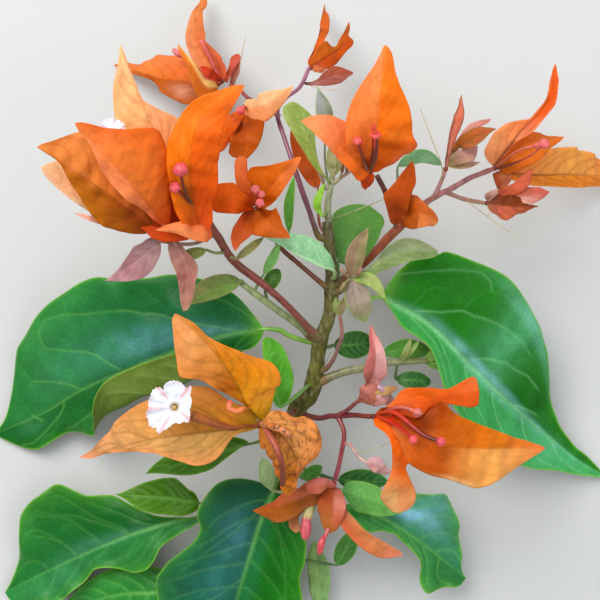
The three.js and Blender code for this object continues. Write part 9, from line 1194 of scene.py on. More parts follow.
def flower_bud(path, r, cols, seed, five=0.07, long=2.0, thin=0.62, m=0):
    """slender tube with a closed five-folded head; the last colour is the head's"""
    P = [np.array(p, float) for p in path]
    d = P[-1] - P[-2]
    d /= np.linalg.norm(d)
    r0, r1 = r[0], r[-1]
    P = P + [P[-1] + d * r1 * 0.8]
    rm = max(r[1:-1]) if len(r) > 2 else r0
    L = length(crom(P, 60))
    hb = min(long * r1 / L, 0.6)
    neck = rm * thin * 0.85

    def shape(T, A):
        q = np.clip((T - (1 - hb)) / hb, 0, 1)
        head = r1 * np.sqrt(np.clip(1 - (2 * q - 1) ** 2, 0, 1)) ** (1.0 if long < 2.6 else 0.8)
        tube = np.interp(T, [0, 0.12, 0.4, 1 - hb, 1 - hb * 0.5, 1], [r0 * 0.7, r0 * 0.95, rm * thin, neck, neck * 0.6, 0.03])
        out = np.maximum(tube, np.where(q > 0, head, 0))
        out = np.maximum(out, 0.03)
        return out * (1 + five * np.cos(5 * A + 2.5 * T) * (0.6 + 0.6 * (q > 0)))

    def colour(T, A, V):
        c = stops(cols[:-1], np.clip(T / max(1 - hb, 0.1), 0, 1).ravel()).reshape(T.shape + (3,))
        e = ease((T - (1 - hb) + 0.02) / 0.06)[..., None]
        c = c * (1 - e) + lin(cols[-1]) * e
        # darker in the grooves between the five folds: painted shade
        groove = 1 - 0.22 * np.clip(-np.cos(5 * A + 2.5 * T), 0, 1) ** 2
        return c * groove[..., None] * (1 + 0.08 * field(V, seed + 5, 1.6))[..., None]
    return rod(P, 1.0, 20, 0.2, colour, m, shape, (0.02, 0.03), seed)


# ---------------------------------------------------------------- materials
def sockets(nt, cls, **k):
    n = nt.nodes.new(cls)
    for a, b in k.items():
        setattr(n, a, b)
    return n


def material(name, rough, spec=0.5, coat=0.0, coat_rough=0.2, through=0.0, warm=(1, 1, 1), net=0.0, cell=5.5, vary=0.10, bump=0.15, speck=None, sheen=0.0):
    """plant tissue: colour from the mesh, fine net of veins, a little light let through"""
    m = bpy.data.materials.new(name)
    m.use_nodes = True
    nt = m.node_tree
    nt.nodes.clear()
    out = sockets(nt, "ShaderNodeOutputMaterial")
    b = sockets(nt, "ShaderNodeBsdfPrincipled")
    b.inputs["Roughness"].default_value = rough
    b.inputs["Specular IOR Level"].default_value = spec
    b.inputs["Coat Weight"].default_value = coat
    b.inputs["Coat Roughness"].default_value = coat_rough
    base = sockets(nt, "ShaderNodeAttribute", attribute_name="base", attribute_type="GEOMETRY")
    mask = sockets(nt, "ShaderNodeAttribute", attribute_name="mask", attribute_type="GEOMETRY")
    uv = sockets(nt, "ShaderNodeUVMap", uv_map="Flat")
    obj = sockets(nt, "ShaderNodeTexCoord")
    n1 = sockets(nt, "ShaderNodeTexNoise")
    n1.inputs["Scale"].default_value = 420.0
    n1.inputs["Detail"].default_value = 3.0
    nt.links.new(obj.outputs["Object"], n1.inputs["Vector"])
    n2 = sockets(nt, "ShaderNodeTexNoise")
    n2.inputs["Scale"].default_value = 2600.0
    n2.inputs["Detail"].default_value = 2.0
    nt.links.new(obj.outputs["Object"], n2.inputs["Vector"])

    def ramp(src, a, z, lo, hi):
        r = sockets(nt, "ShaderNodeMapRange")
        r.inputs["From Min"].default_value, r.inputs["From Max"].default_value = a, z
        r.inputs["To Min"].default_value, r.inputs["To Max"].default_value = lo, hi
        nt.links.new(src, r.inputs["Value"])
        return r.outputs["Result"]

    def math_(op, a, c):
        n = sockets(nt, "ShaderNodeMath", operation=op)
        for i, x in enumerate((a, c)):
            if isinstance(x, (int, float)):
                n.inputs[i].default_value = x
            else:
                nt.links.new(x, n.inputs[i])
        return n.outputs[0]

    k = math_("MULTIPLY", ramp(n1.outputs["Fac"], 0.3, 0.7, 1 - vary, 1 + vary), ramp(n2.outputs["Fac"], 0.3, 0.7, 1 - vary * 0.5, 1 + vary * 0.5))
    height = ramp(n2.outputs["Fac"], 0.3, 0.7, 0.0, 0.25)
    if net:
        warp = sockets(nt, "ShaderNodeMixRGB", blend_type="ADD")
        warp.inputs["Fac"].default_value = 0.10
        nz = sockets(nt, "ShaderNodeTexNoise")
        nz.inputs["Scale"].default_value = 4.0
        nt.links.new(uv.outputs["UV"], nz.inputs["Vector"])
        nt.links.new(uv.outputs["UV"], warp.inputs[1])
        nt.links.new(nz.outputs["Color"], warp.inputs[2])
        vo = sockets(nt, "ShaderNodeTexVoronoi", feature="DISTANCE_TO_EDGE")
        vo.inputs["Scale"].default_value = cell
        nt.links.new(warp.outputs["Color"], vo.inputs["Vector"])
        line = ramp(vo.outputs["Distance"], 0.0, 0.09, 1.0, 0.0)
        k = math_("MULTIPLY", k, ramp(line, 0.0, 1.0, 1.0, 1.0 + net))
        height = math_("ADD", height, ramp(vo.outputs["Distance"], 0.0, 0.16, 0.0, 0.75))
    mul = sockets(nt, "ShaderNodeVectorMath", operation="SCALE")
    nt.links.new(base.outputs["Color"], mul.inputs[0])
    nt.links.new(k, mul.inputs["Scale"])
    col = mul.outputs[0]
    if speck:
        sp = sockets(nt, "ShaderNodeTexVoronoi", feature="F1")
        sp.inputs["Scale"].default_value = speck[1]
        nt.links.new(obj.outputs["Object"], sp.inputs["Vector"])
        mix = sockets(nt, "ShaderNodeMixRGB")
        mix.inputs[2].default_value = (*lin(speck[0]), 1)
        nt.links.new(ramp(sp.outputs["Distance"], 0.12, 0.26, speck[2], 0.0), mix.inputs["Fac"])
        nt.links.new(col, mix.inputs[1])
        col = mix.outputs["Color"]
    nt.links.new(col, b.inputs["Base Color"])
    bm = sockets(nt, "ShaderNodeBump")
    bm.inputs["Strength"].default_value = bump
    bm.inputs["Distance"].default_value = 0.0001
    nt.links.new(height, bm.inputs["Height"])
    nt.links.new(bm.outputs["Normal"], b.inputs["Normal"])
    if through:
        tr = sockets(nt, "ShaderNodeBsdfTranslucent")
        wv = sockets(nt, "ShaderNodeVectorMath", operation="MULTIPLY")
        wv.inputs[1].default_value = warm
        nt.links.new(col, wv.inputs[0])
        nt.links.new(wv.outputs[0], tr.inputs["Color"])
        nt.links.new(bm.outputs["Normal"], tr.inputs["Normal"])
        mx = sockets(nt, "ShaderNodeMixShader")
        mx.inputs["Fac"].default_value = through
        nt.links.new(b.outputs[0], mx.inputs[1])
        nt.links.new(tr.outputs[0], mx.inputs[2])
        nt.links.new(mx.outputs[0], out.inputs["Surface"])
    else:
        nt.links.new(b.outputs[0], out.inputs["Surface"])
    return m


MATS = {
    "leaf": material("leaf_upper", 0.36, 0.14, net=0.20, cell=7.0, vary=0.04, bump=0.30),
    "leaf_matt": material("leaf_upper_matt", 0.50, 0.25, net=0.16, cell=7.0, vary=0.04, bump=0.25),
    "leaf_back": material("leaf_underside", 0.62, 0.25, net=0.18, cell=7.0, vary=0.04, bump=0.4),
    "young": material("young_leaf", 0.46, 0.35, through=0.12, net=0.10, cell=9.0, vary=0.04, bump=0.3),
    "bract": material("bract_paper", 0.50, 0.13, through=0.22, warm=(1.0, 0.92, 0.7), net=-0.07, cell=8.0, vary=0.02, bump=0.35),
    "flower": material("flower_tube", 0.42, 0.45, 0.1, 0.3, vary=0.12, bump=0.25),
    "petal": material("petal_paper", 0.6, 0.3, through=0.15, vary=0.03, bump=0.2),
    "stalk": material("stalk_skin", 0.34, 0.55, 0.1, 0.3, vary=0.14, bump=0.35),
    "bark": material("bark_skin", 0.66, 0.3, vary=0.14, bump=0.45, speck=((150, 138, 112), 900.0, 0.30)),
    "cut": material("cut_wood", 0.8, 0.2, vary=0.15, bump=0.4),
    "hair": material("down", 0.7, 0.2, vary=0.05, bump=0.0),
}


def put(name, parts, nodes):
    """one mesh of parts whose material codes are names"""
    used = []
    for p, mats in parts:
        for m in mats:
            if m not in used:
                used.append(m)
    for p, mats in parts:
        code = np.array([used.index(m) for m in mats])
        p.qmat, p.tmat = code[p.qmat], code[p.tmat]
    ob = build(name, [p for p, _ in parts], [MATS[m] for m in used], nodes)
    tris = sum(2 * len(p.quads) + len(p.tris) for p, _ in parts)
    COUNT.append((name, tris))
    return ob


COUNT = []


def blade_parts(key):
    """sheet, stalk and foot of one blade"""
    o = BLADES[key]
    look = LOOKS[key]
    p = blade(key, o, look, look["fine"] * 1.22)
    out = [(p, look["mats"])]
    P = [np.array(q, float) for q in o["spine"]]
    if "stalk" in o:
        path = [np.array(q, float) for q in o["stalk"]]
        d = P[1] - P[0]
        d /= np.linalg.norm(d)
        n = o["stalk_r"]
        path[-1] = P[0]
        path.append(P[0] + d * n * 3.5)
        cols = STALK_OF.get(key, [WOODISH.get(o["node"], (120, 140, 76)), LOOKS[key]["c"][0]])
        out.append((rod(path, [n * 1.25, n, n, n, n * 0.8, n * 0.35], 14, 0.3, cols, 0, None, (0.0, 0.05), 3, 0.02), ("stalk",)))
    elif o.get("foot"):
        seat = np.array(SEATS[o["node"]])
        d = P[1] - P[0]
        d /= np.linalg.norm(d)
        out.append((rod([seat, (seat + P[0]) / 2, P[0], P[0] + d * 1.2], [0.5, 0.42, 0.34, 0.12], 12, 0.25, [look["c"][0]], 0, None, (0.0, 0.05), 4), ("flower",)))
    return out


WOODISH = {"rosette": (140, 144, 84)}

nodes = []
for table_ in (AXES, BLADES):
    for o in table_.values():
        if o["node"] not in nodes:
            nodes.append(o["node"])


def needles(places, dirs, r, size, colour, seed):
    """joined fine hairs, each a closed three-sided needle"""
    rng = np.random.default_rng(seed)
    n = len(places)
    d = dirs / np.linalg.norm(dirs, axis=1)[:, None]
    d = d + rng.normal(size=(n, 3)) * 0.35
    d /= np.linalg.norm(d, axis=1)[:, None]
    a = np.cross(d, rng.normal(size=(n, 3)))
    a /= np.linalg.norm(a, axis=1)[:, None]
    b = np.cross(d, a)
    L = size * rng.uniform(0.6, 1.3, n)[:, None]
    root = places - d * 0.05
    V = np.stack([root + a * r, root - a * r * 0.5 + b * r * 0.87, root - a * r * 0.5 - b * r * 0.87, root + d * L], 1).reshape(-1, 3)
    k = np.arange(n)[:, None] * 4
    tris = np.concatenate([k + np.array([[0, 2, 1]]), k + np.array([[0, 1, 3]]), k + np.array([[1, 2, 3]]), k + np.array([[2, 0, 3]])])
    side = int(math.ceil(math.sqrt(n)))
    cx, cy = (np.arange(n) % side) / side, (np.arange(n) // side) / side
    w = 0.9 / side
    one = np.array([[[0, 0], [.4, .4], [.4, 0]], [[0, .5], [.4, .5], [.2, 1]], [[.5, 0], [.9, 0], [.7, .45]], [[.5, .5], [.9, .5], [.7, 1]]])
    uvt = np.concatenate([np.stack([cx, cy], -1)[:, None] + one[i] * w for i in range(4)])
    col = np.repeat(lin(colour)[None] * rng.uniform(0.8, 1.15, (n, 1)), 4, 0)
    fl = np.zeros((4 * n, 2))
    return Part(V, [], tris, np.clip(col, 0, 1), np.zeros((4 * n, 3)), fl, 0, 0, None, None, uvt, area=2.0)


# ---------------------------------------------------------------- stem
MAIN = AXES["main"]
rng = np.random.default_rng(11)
stem_dense = crom(MAIN["path"], 400)
stem_T = np.gradient(stem_dense, axis=0)
stem_T /= np.linalg.norm(stem_T, axis=1)[:, None]
JOINTS = []
for o in list(AXES.values()) + list(BLADES.values()):
    p0 = o.get("stalk", o.get("path"))
    if p0 is None or o is MAIN:
        continue
    d = np.linalg.norm(stem_dense - np.array(p0[0]), axis=1)
    if d.min() < 2.8:
        JOINTS.append(d.argmin() / 400)
LENT = np.stack([rng.uniform(0, 1, 240), rng.uniform(0, 2 * math.pi, 240), rng.uniform(0.12, 0.32, 240)], 1)
STEM_L = length(stem_dense)


def bark_shape(T, A):
    w = np.ones_like(T)
    for j in JOINTS:
        w += 0.06 * np.exp(-((T - j) * STEM_L / 1.8) ** 2)
    ph = 3.0 * np.sin(T * 9.0) + 1.3 * np.sin(T * 31.0)
    w += 0.007 * np.sin(9 * A + ph) * (0.6 + 0.4 * np.sin(T * 47))
    w += 0.009 * np.sin(17 * A - 2 * ph + 5 * np.sin(T * 23)) + 0.007 * np.sin(29 * A + 3 * ph)
    w += 0.006 * np.sin(T * STEM_L * 2.1 + 2 * np.sin(A)) * np.sin(3 * A + T * 40)
    for t0, a0, r in LENT:
        da = np.angle(np.exp(1j * (A - a0))) * 1.8
        w += 0.016 * np.exp(-((T - t0) * STEM_L / (r * 1.5)) ** 2 - (da / r) ** 2)
    return w


def bark_colour(T, A, P):
    c = stops([(84, 70, 34), (90, 78, 28), (90, 86, 22), (86, 88, 18), (94, 94, 28), (102, 98, 50), (94, 88, 54)], T.ravel()).reshape(T.shape + (3,))
    f1, f2 = field(P, 31, 2.4), field(P * np.array([3, 1, 3.0]), 32, 3.2)
    c = c * (1 + 0.13 * f1 + 0.10 * f2)[..., None]
    grey = ease((f2 - 0.7) / 1.1)[..., None] * 0.5
    c = c * (1 - grey) + lin((148, 140, 112)) * grey
    red = ease((field(P, 33, 6.0) - 0.6) / 1.2)[..., None] * 0.35 * ease((0.8 - T) / 0.5)[..., None]
    c = c * (1 - red) + lin((108, 66, 34)) * red
    for t0, a0, r in LENT:
        da = np.angle(np.exp(1j * (A - a0))) * 1.8
        e = 0.42 * np.exp(-((T - t0) * STEM_L / (r * 1.2)) ** 2 - (da / (r * 0.8)) ** 2)[..., None]
        c = c * (1 - e) + lin((168, 156, 126)) * e
    return np.clip(c, 0.002, 1)


stem = rod(MAIN["path"], MAIN["r"], 56, 0.30, bark_colour, 0, bark_shape, (0.02, 0.02), 7, 0.03)
P0, P1 = stem_dense[0], stem_dense[-1]
R = MAIN["r"]
foot = rod([P0 - stem_T[0] * 0.10, P0 + stem_T[0] * 0.3], R[0] * 0.93, 40, 0.2,
           lambda T, A, P: np.repeat(lin((196, 186, 140))[None], T.size, 0).reshape(T.shape + (3,)) * (1 + 0.15 * field(P, 5, 0.8))[..., None], 0, None, (0, 0), 2)
pith = rod([P0 - stem_T[0] * 0.14, P0 + stem_T[0] * 0.3], R[0] * 0.30, 24, 0.2, [(222, 214, 180)], 0, None, (0.02, 0), 2)
top = rod([P1 - stem_T[-1] * 0.4, P1 + stem_T[-1] * 0.08], R[-1] * 0.90, 32, 0.2, [(74, 80, 92)], 0, lambda T, A: 1 + 0.05 * np.sin(5 * A + 1), (0, 0), 2)
ring = rod([P1 - stem_T[-1] * 0.4, P1 + stem_T[-1] * 0.12], R[-1] * 0.45, 24, 0.2, [(46, 48, 56)], 0, None, (0, 0.02), 2)
put("stem", [(stem, ("bark",)), (foot, ("cut",)), (pith, ("cut",)), (top, ("cut",)), (ring, ("cut",))], ["stem_main"])
collars = []
for k in ("pa", "sg", "pt", "pe", "sb", "sc", "pl", "pk", "sr", "rt"):
    C = crom(AXES[k]["path"], 200)
    run = np.concatenate([[0], np.cumsum(np.linalg.norm(np.diff(C, axis=0), axis=1))])
    q = [np.array([np.interp(x, run, C[:, i]) for i in range(3)]) for x in (0.6, 2.2, 3.4, 4.8)]
    r0 = min(AXES[k]["r"][0], 1.0)
    skin = WOOD[k][0]
    collars.append((rod(q, [r0 * 1.5, r0 * 1.32, r0 * 1.12, r0 * 0.97], 24, 0.2, [(104, 94, 48), (118, 104, 62), (124, 96, 64), skin], 0, lambda T, A: 1 + 0.03 * np.sin(5 * A + 6 * T), (0.05, 0.0), 3), ("bark",)))
put("collars", collars, [])
# short stalks that carry each bloom, bud and bract from its branch
SHORT = [
    ([(5.6, 22.6, 28.3), (5.6, 23.8, 29.1), (5.5, 24.9, 29.7)], [0.7, 0.8, 0.8], WOOD["side"][0]),
    ([(11.75, -17.4, 38.5), (11.88, -17.25, 39.07), (12.0, -17.1, 39.6)], 0.42, (150, 84, 70)),
    ([(-0.25, 56.9, 22.2), (-0.15, 57.05, 20.8), (0.25, 57.15, 19.4)], 0.30, (150, 74, 60)),
    ([(8.95, -27.3, 32.7), (9.65, -27.33, 33.05), (10.4, -27.36, 33.4)], 0.24, (190, 128, 124)),
    ([(6.7, -37.4, 30.4), (4.0, -39.3, 29.2), (1.2, -41.4, 29.1), (-0.5, -42.6, 29.5), (-0.9, -43.2, 29.4)], [0.42, 0.32, 0.30, 0.34, 0.2], (170, 84, 60)),
    ([(6.9, -36.6, 30.3), (7.0, -36.95, 31.0), (6.95, -37.15, 31.9)], 0.45, (160, 78, 60)),
    ([(-9.45, -22.96, 35.1), (-9.75, -22.93, 35.8), (-10.1, -22.6, 36.9), (-9.8, -21.7, 37.7)], [0.5, 0.6, 0.6, 0.45], (140, 88, 56)),
    ([(44.35, 36.6, 30.3), (44.26, 36.3, 30.72), (44.15, 35.95, 31.1)], 0.40, (160, 74, 58)),
    ([(-11.6, 52.1, 23.5), (-12.5, 51.6, 24.8), (-13.5, 50.7, 26.2), (-13.9, 49.9, 27.4)], [0.45, 0.42, 0.42, 0.5], (130, 66, 56)),
    ([(-9.9, 25.4, 39.9), (-10.15, 25.7, 41.2), (-10.4, 25.95, 42.6), (-10.4, 26.1, 43.3)], [0.5, 0.5, 0.5, 0.42], (150, 74, 54)),
    ([(21.5, 22.0, 40.9), (21.3, 22.05, 42.3), (20.75, 22.0, 44.0)], [0.55, 0.5, 0.42], (160, 78, 50)),
    ([(-13.0, -18.48, 41.2), (-12.6, -18.5, 41.4), (-12.2, -18.54, 41.5)], 0.28, (238, 124, 84)),
    ([(-19.9, 57.05, 21.15), (-20.5, 56.85, 20.9), (-21.2, 56.6, 20.65)], 0.30, (170, 84, 60)),
]
put("short_stalks", [(rod(q, r, 20, 0.2, [c, c], 0, None, (0.1, 0.1), 5), ("bark",)) for q, r, c in SHORT], [])


def axis_part(key):
    o = AXES[key]
    rr = o["r"]
    mean = float(np.mean(rr))
    sides = 28 if mean > 0.6 else 20
    seed = len(key) * 7 + ord(key[-1])
    cols = WOOD[key]

    def shape(T, A):
        return 1 + 0.03 * np.sin(5 * A + 4 * T + seed) + 0.02 * np.sin(11 * A - 7 * T) + 0.10 * np.exp(-(T * 14) ** 2)

    def colour(T, A, P):
        c = stops(cols, T.ravel()).reshape(T.shape + (3,))
        if o["node"] == "stalk_upper_left" and key == "pa":
            near = 0.85 * np.exp(-(T * 46 / 4.2) ** 2)[..., None]
            down = ease((field(P, 91, 7.0) - 0.3) / 0.8)[..., None] * 0.5 * near
            c = c * (1 - near) + lin((116, 102, 60)) * near
            c = c * (1 - down) + lin((186, 178, 146)) * down
        return c * (1 + 0.10 * field(P, seed, 2.0) + 0.08 * field(P * np.array([2.5, 1, 2.5]), seed + 1, 1.4))[..., None]
    return rod(o["path"], rr, sides, 0.28, colour, 0, shape, (0.0, 0.12), seed, 0.025)


for node in nodes:
    if node == "stem_main":
        continue
    wood = [(axis_part(k), ("stalk",)) for k, o in AXES.items() if o["node"] == node]
    sheets = []
    for k, o in BLADES.items():
        if o["node"] == node:
            sheets += blade_parts(k)
    tubes = []
    for k, o in TUBES.items():
        if o["node"] == node:
            seed = sum(map(ord, k))
            if k == "k_t4":
                def freckled(T, A, V):
                    c = stops(HEADS["k_t4"], T.ravel()).reshape(T.shape + (3,))
                    e = (ease((field(V, 5, 0.9, 20) - 0.6) / 0.5) * 0.8)[..., None]
                    return c * (1 - e) + lin((40, 30, 24)) * e
                tubes.append((rod(o["path"], o["r"], 20, 0.16, freckled, 0, lambda T, A: np.where(T > 0.85, np.sqrt(np.clip(1 - ((T - 0.85) / 0.155) ** 2, 0.02, 1)), 1) * (1 + 0.06 * np.cos(5 * A)), (0, 0.05), seed, 0.02), ("flower",)))
            elif k == "k_t1":
                tubes.append((rod(o["path"], o["r"], 24, 0.28, HEADS[k], 0, lambda T, A: 1 + 0.09 * np.cos(5 * A) + 0.12 * ease((T - 0.85) / 0.15), (0, 0.02), seed, 0.02), ("flower",)))
            else:
                lg, th = LONG.get(k, (2.1, 0.55))
                tubes.append((flower_bud(o["path"], o["r"], HEADS[k], seed, 0.07, lg, th), ("flower",)))
    if node in SEATS and node.startswith(("bloom", "bud")):
        c = SEATS[node]
        tubes.append((ball(c, 0.6, [(124, 50, 26), (134, 56, 30)] if node != "bloom_lower_right" else [(96, 14, 6)], seed=len(node)), ("flower",)))
    name = node
    if node in ("bud_pink",):
        put(name, sheets + tubes, [node])
    elif tubes:
        put(name + "_bracts", sheets, [node])
        put(name + "_flowers", tubes, [node])
    else:
        put(name, wood + sheets, [node])


# ---------------------------------------------------------------- open flower
def limb(centre, axis, up, r, seed, cup=0.22, outline=None, seams=None):
    """five notched white lobes in one flat sheet round a throat"""
    n = np.array(axis, float) / np.linalg.norm(axis)
    x = np.array(up, float) - n * (np.array(up, float) @ n)
    x /= np.linalg.norm(x)
    y = np.cross(n, x)
    na, nr = 180, 26
    A = np.linspace(0, 2 * math.pi, na, endpoint=False)
    rr = np.linspace(0.10, 1, nr + 1)
    rng = np.random.default_rng(seed)
    lob = np.zeros(na)
    a5 = (A * 5 / (2 * math.pi)) % 1 - 0.5
    which = (A * 5 / (2 * math.pi)).astype(int) % 5
    size = rng.uniform(0.93, 1.05, 5)[which]
    edge = (1 - 0.22 * np.exp(-((np.abs(a5) - 0.5) / 0.045) ** 2)) * (1 - 0.10 * np.exp(-(a5 / 0.06) ** 2)) * size
    edge = edge * (1 + 0.030 * np.cos(35 * A + 1.0) + 0.016 * np.cos(61 * A) + 0.03 * np.sin(3 * A + seed))
    if outline is not None:
        q = np.array(outline, float)
        ang, rad_ = np.arctan2(q[:, 1], q[:, 0]) % (2 * math.pi), np.hypot(q[:, 0], q[:, 1])
        k_ = np.argsort(ang)
        edge = np.interp(A, np.concatenate([ang[k_] - 2 * math.pi, ang[k_], ang[k_] + 2 * math.pi]), np.tile(rad_[k_], 3)) / r
        edge = edge * (1 + 0.018 * np.cos(43 * A + 1.0) + 0.012 * np.cos(71 * A))
        cuts = np.sort(np.radians(np.array(seams, float)) % (2 * math.pi))
        gap = np.diff(np.concatenate([cuts, cuts[:1] + 2 * math.pi]))
        i_ = np.searchsorted(cuts, A, side="right") - 1
        a5 = (((A - cuts[i_]) % (2 * math.pi)) / gap[i_]) - 0.5
    AA, RR = np.meshgrid(A, rr, indexing="xy")
    E, K5 = np.meshgrid(edge, rr)[0], np.meshgrid(a5, rr)[0]
    rad = r * (RR * (1 + (E - 1) * RR ** 2.2))
    h = r * (cup * RR ** 1.6 + 0.05 * np.cos(2 * math.pi * K5 * 2) * RR ** 2 - 0.10 * np.exp(-(RR / 0.16) ** 2))
    h = h + 0.02 * r * field(np.stack([rad * np.cos(AA), rad * np.sin(AA)], -1), seed, 2.0) + 0.05 * r * RR ** 3 * np.sin(10 * AA + 1)
    P = np.array(centre) + rad[..., None] * (np.cos(AA)[..., None] * x + np.sin(AA)[..., None] * y) + h[..., None] * n
    th = 0.10
    F, B = P + n * th / 2, P - n * th / 2
    white, pink, throat, red = lin("petal"), lin("petal_pink"), lin("throat"), lin((120, 70, 20))
    c = np.repeat(white[None, None], nr + 1, 0).repeat(na, 1)
    e = (0.85 * np.exp(-((np.abs(K5) - 0.5) / 0.075) ** 2) * ease((RR - 0.25) / 0.3))[..., None]
    c = c * (1 - e) + pink * e
    e = (0.45 * ease((RR - 0.80) / 0.2) * (0.5 + 0.5 * np.cos(3 * AA + seed)) * (0.4 + np.abs(K5)))[..., None]
    c = c * (1 - e) + pink * e
    e = np.exp(-((RR - 0.08) / 0.13) ** 2)[..., None]
    c = c * (1 - e) + throat * e
    e = (RR < 0.13)[..., None] * 0.8
    c = c * (1 - e) + red * e
    cb = c * 0.93
    n1 = (nr + 1) * na
    I, J = np.meshgrid(np.arange(nr), np.arange(na), indexing="ij")
    p, q = I * na + J, I * na + (J + 1) % na
    fq = np.stack([p, p + na, q + na, q], -1).reshape(-1, 4)
    bq = np.stack([q, q + na, p + na, p], -1).reshape(-1, 4) + n1
    j = np.arange(na)
    jn = (j + 1) % na
    o_ = nr * na
    rq = np.stack([o_ + jn, o_ + j, o_ + j + n1, o_ + jn + n1], -1)
    V = np.vstack([F.reshape(-1, 3), B.reshape(-1, 3), [np.array(centre) - n * 0.15 * r + n * th / 2], [np.array(centre) - n * 0.15 * r - n * th / 2]])
    tris = np.vstack([np.stack([np.full(na, 2 * n1), j, jn], -1), np.stack([np.full(na, 2 * n1 + 1), jn + n1, j + n1], -1)])
    uf = np.stack([0.25 + 0.24 * RR * np.cos(AA), 0.5 + 0.48 * RR * np.sin(AA)], -1).reshape(-1, 2)
    ub = uf + np.array([0.5, 0])
    uall = np.vstack([uf, ub, [[0.25, 0.5]], [[0.75, 0.5]]])
    uq = [uall[fq], uall[bq]]
    s0, s1 = j / na, (j + 1) / na
    uq.append(np.stack([np.stack([s1, 0 * s1], -1), np.stack([s0, 0 * s0], -1), np.stack([s0, 0 * s0 + 0.01], -1), np.stack([s1, 0 * s1 + 0.01], -1)], 1))
    base = np.vstack([c.reshape(-1, 3), cb.reshape(-1, 3), red[None], red[None]])
    K = len(base)
    fl = np.zeros((K, 2))
    fl[:n1] = np.stack([rad * np.cos(AA), rad * np.sin(AA)], -1).reshape(-1, 2) / 10
    fl[n1:2 * n1] = fl[:n1]
    sharp = np.concatenate([np.zeros(2 * len(fq), bool), np.ones(na, bool)])
    return Part(V, np.vstack([fq, bq, rq]), tris, base, np.zeros((K, 3)), fl, 0, 0, sharp, np.concatenate(uq), uall[tris], area=60)


flowers = []
tip = np.array(TUBES["k_t1"]["path"][-1])
c1 = at(174.5, 407, 50.5)
flowers.append((rod([tip, (tip + c1) / 2 - np.array([0, 0, 0.9]), c1 - np.array([0.1, 0, 1.2]), c1 - np.array([0, 0, 0.35])], [1.0, 0.9, 0.75, 0.6], 20, 0.25, [(186, 100, 30), (206, 150, 110), (236, 214, 200)], 0, None, (0, 0), 5), ("flower",)))
mm = PX * (CAM_Z - 50.5) / 300.0
OPEN = [(170, 381), (174, 380.2), (179, 381), (182.5, 383), (185, 386.5), (186, 390.5), (187, 386.5), (191, 383.5), (192, 389), (190.5, 394.5), (192, 399.5), (191.5, 405), (189.8, 410), (190.5, 416), (189, 422.5), (184, 421.3),
        (180, 423.3), (176, 422), (172, 424.3), (168, 428), (163.5, 430), (159, 434), (156.8, 430), (156.6, 427), (152.6, 427.8), (149.4, 424), (149, 419), (146.4, 416), (146.8, 412), (149.6, 408), (148.6, 404), (149, 399.6),
        (151.4, 395.6), (152.4, 390.6), (156.6, 387.4), (161, 387), (163.8, 390), (164.6, 385), (167.6, 382)]
flowers.append((limb(c1, (0.0, 0.0, 1.0), (1.0, 0.0, 0), 4.9, 3, 0.20, [((x - 174.5) * mm, (407 - y) * mm) for x, y in OPEN], [55, 130, 183, 240, 322]), ("petal",)))
for i in range(5):
    a = i * 1.257 + 0.4
    d = np.array([math.cos(a), math.sin(a), 0]) * 0.30
    flowers.append((ball(c1 + d + np.array([0, 0, 0.05 + 0.08 * (i % 2)]), 0.17, [(206, 176, 60)], seed=i), ("flower",)))
put("open_flower", flowers, ["bloom_lower_left"])
seat_a = np.array(SEATS["bloom_front_left"])
c2 = at(113, 131, 62.5)
tube2 = [seat_a, at(185, 205, 55), at(150, 170, 58), at(128, 146, 60.5), c2 + np.array([0.3, -0.3, -0.2])]
put("back_flower", [(rod(tube2, [0.5, 0.7, 0.8, 0.75, 0.6], 18, 0.3, [(170, 80, 50), (196, 110, 60), (230, 200, 190)], 0, lambda T, A: 1 + 0.08 * np.cos(5 * A), (0, 0), 5), ("flower",)),
                    (limb(c2, (-0.10, 0.35, 0.9), (1, 0.2, 0), 2.7, 8), ("petal",))], ["bloom_front_left"])

# ---------------------------------------------------------------- fine threads and small buds
threads = []


def thread(points, r, cols, seed):
    threads.append((rod([at(*p) for p in points], [r, r * 0.9, r * 0.6], 8, 0.5, cols, 0, None, (0, 0.05), seed, 0.01), ("stalk",)))


thread([(441, 183, 38), (442, 167, 41), (433, 142, 44), (420, 108, 45)], 0.11, [(176, 160, 90), (196, 190, 120)], 1)
thread([(464, 199, 33), (484, 214, 32), (505, 229, 33), (528, 242, 33)], 0.11, [(176, 150, 90), (200, 196, 140)], 2)
thread([(484, 203, 29.6), (489, 210, 30), (488, 217, 30.5)], 0.10, [(190, 170, 120)], 3)
thread([(232, 84.5, 20.3), (238, 74, 24), (241.5, 56, 26), (245.5, 37.5, 27)], 0.13, [(176, 120, 90), (196, 170, 120)], 4)
thread([(304, 83, 19), (319, 88, 22.5), (342, 91, 23)], 0.10, [(190, 150, 110), (220, 180, 140)], 5)
thread([(333, 219, 29.3), (352, 212, 32), (384, 199, 34)], 0.16, [(130, 140, 90), (170, 170, 120)], 6)
thread([(350, 446, 33.6), (362, 452, 34.5), (376, 448, 35), (388, 443, 35)], 0.11, [(170, 160, 110)], 7)
thread([(331, 352, 26.4), (326, 362, 25), (318, 372, 23)], 0.10, [(140, 150, 90)], 8)
put("threads", threads, [])

buds = []


def bud(points, r, cols, seed):
    buds.append((flower_bud([at(*p) for p in points], r, cols, seed, 0.06, 5.0, 0.8), ("flower",)))


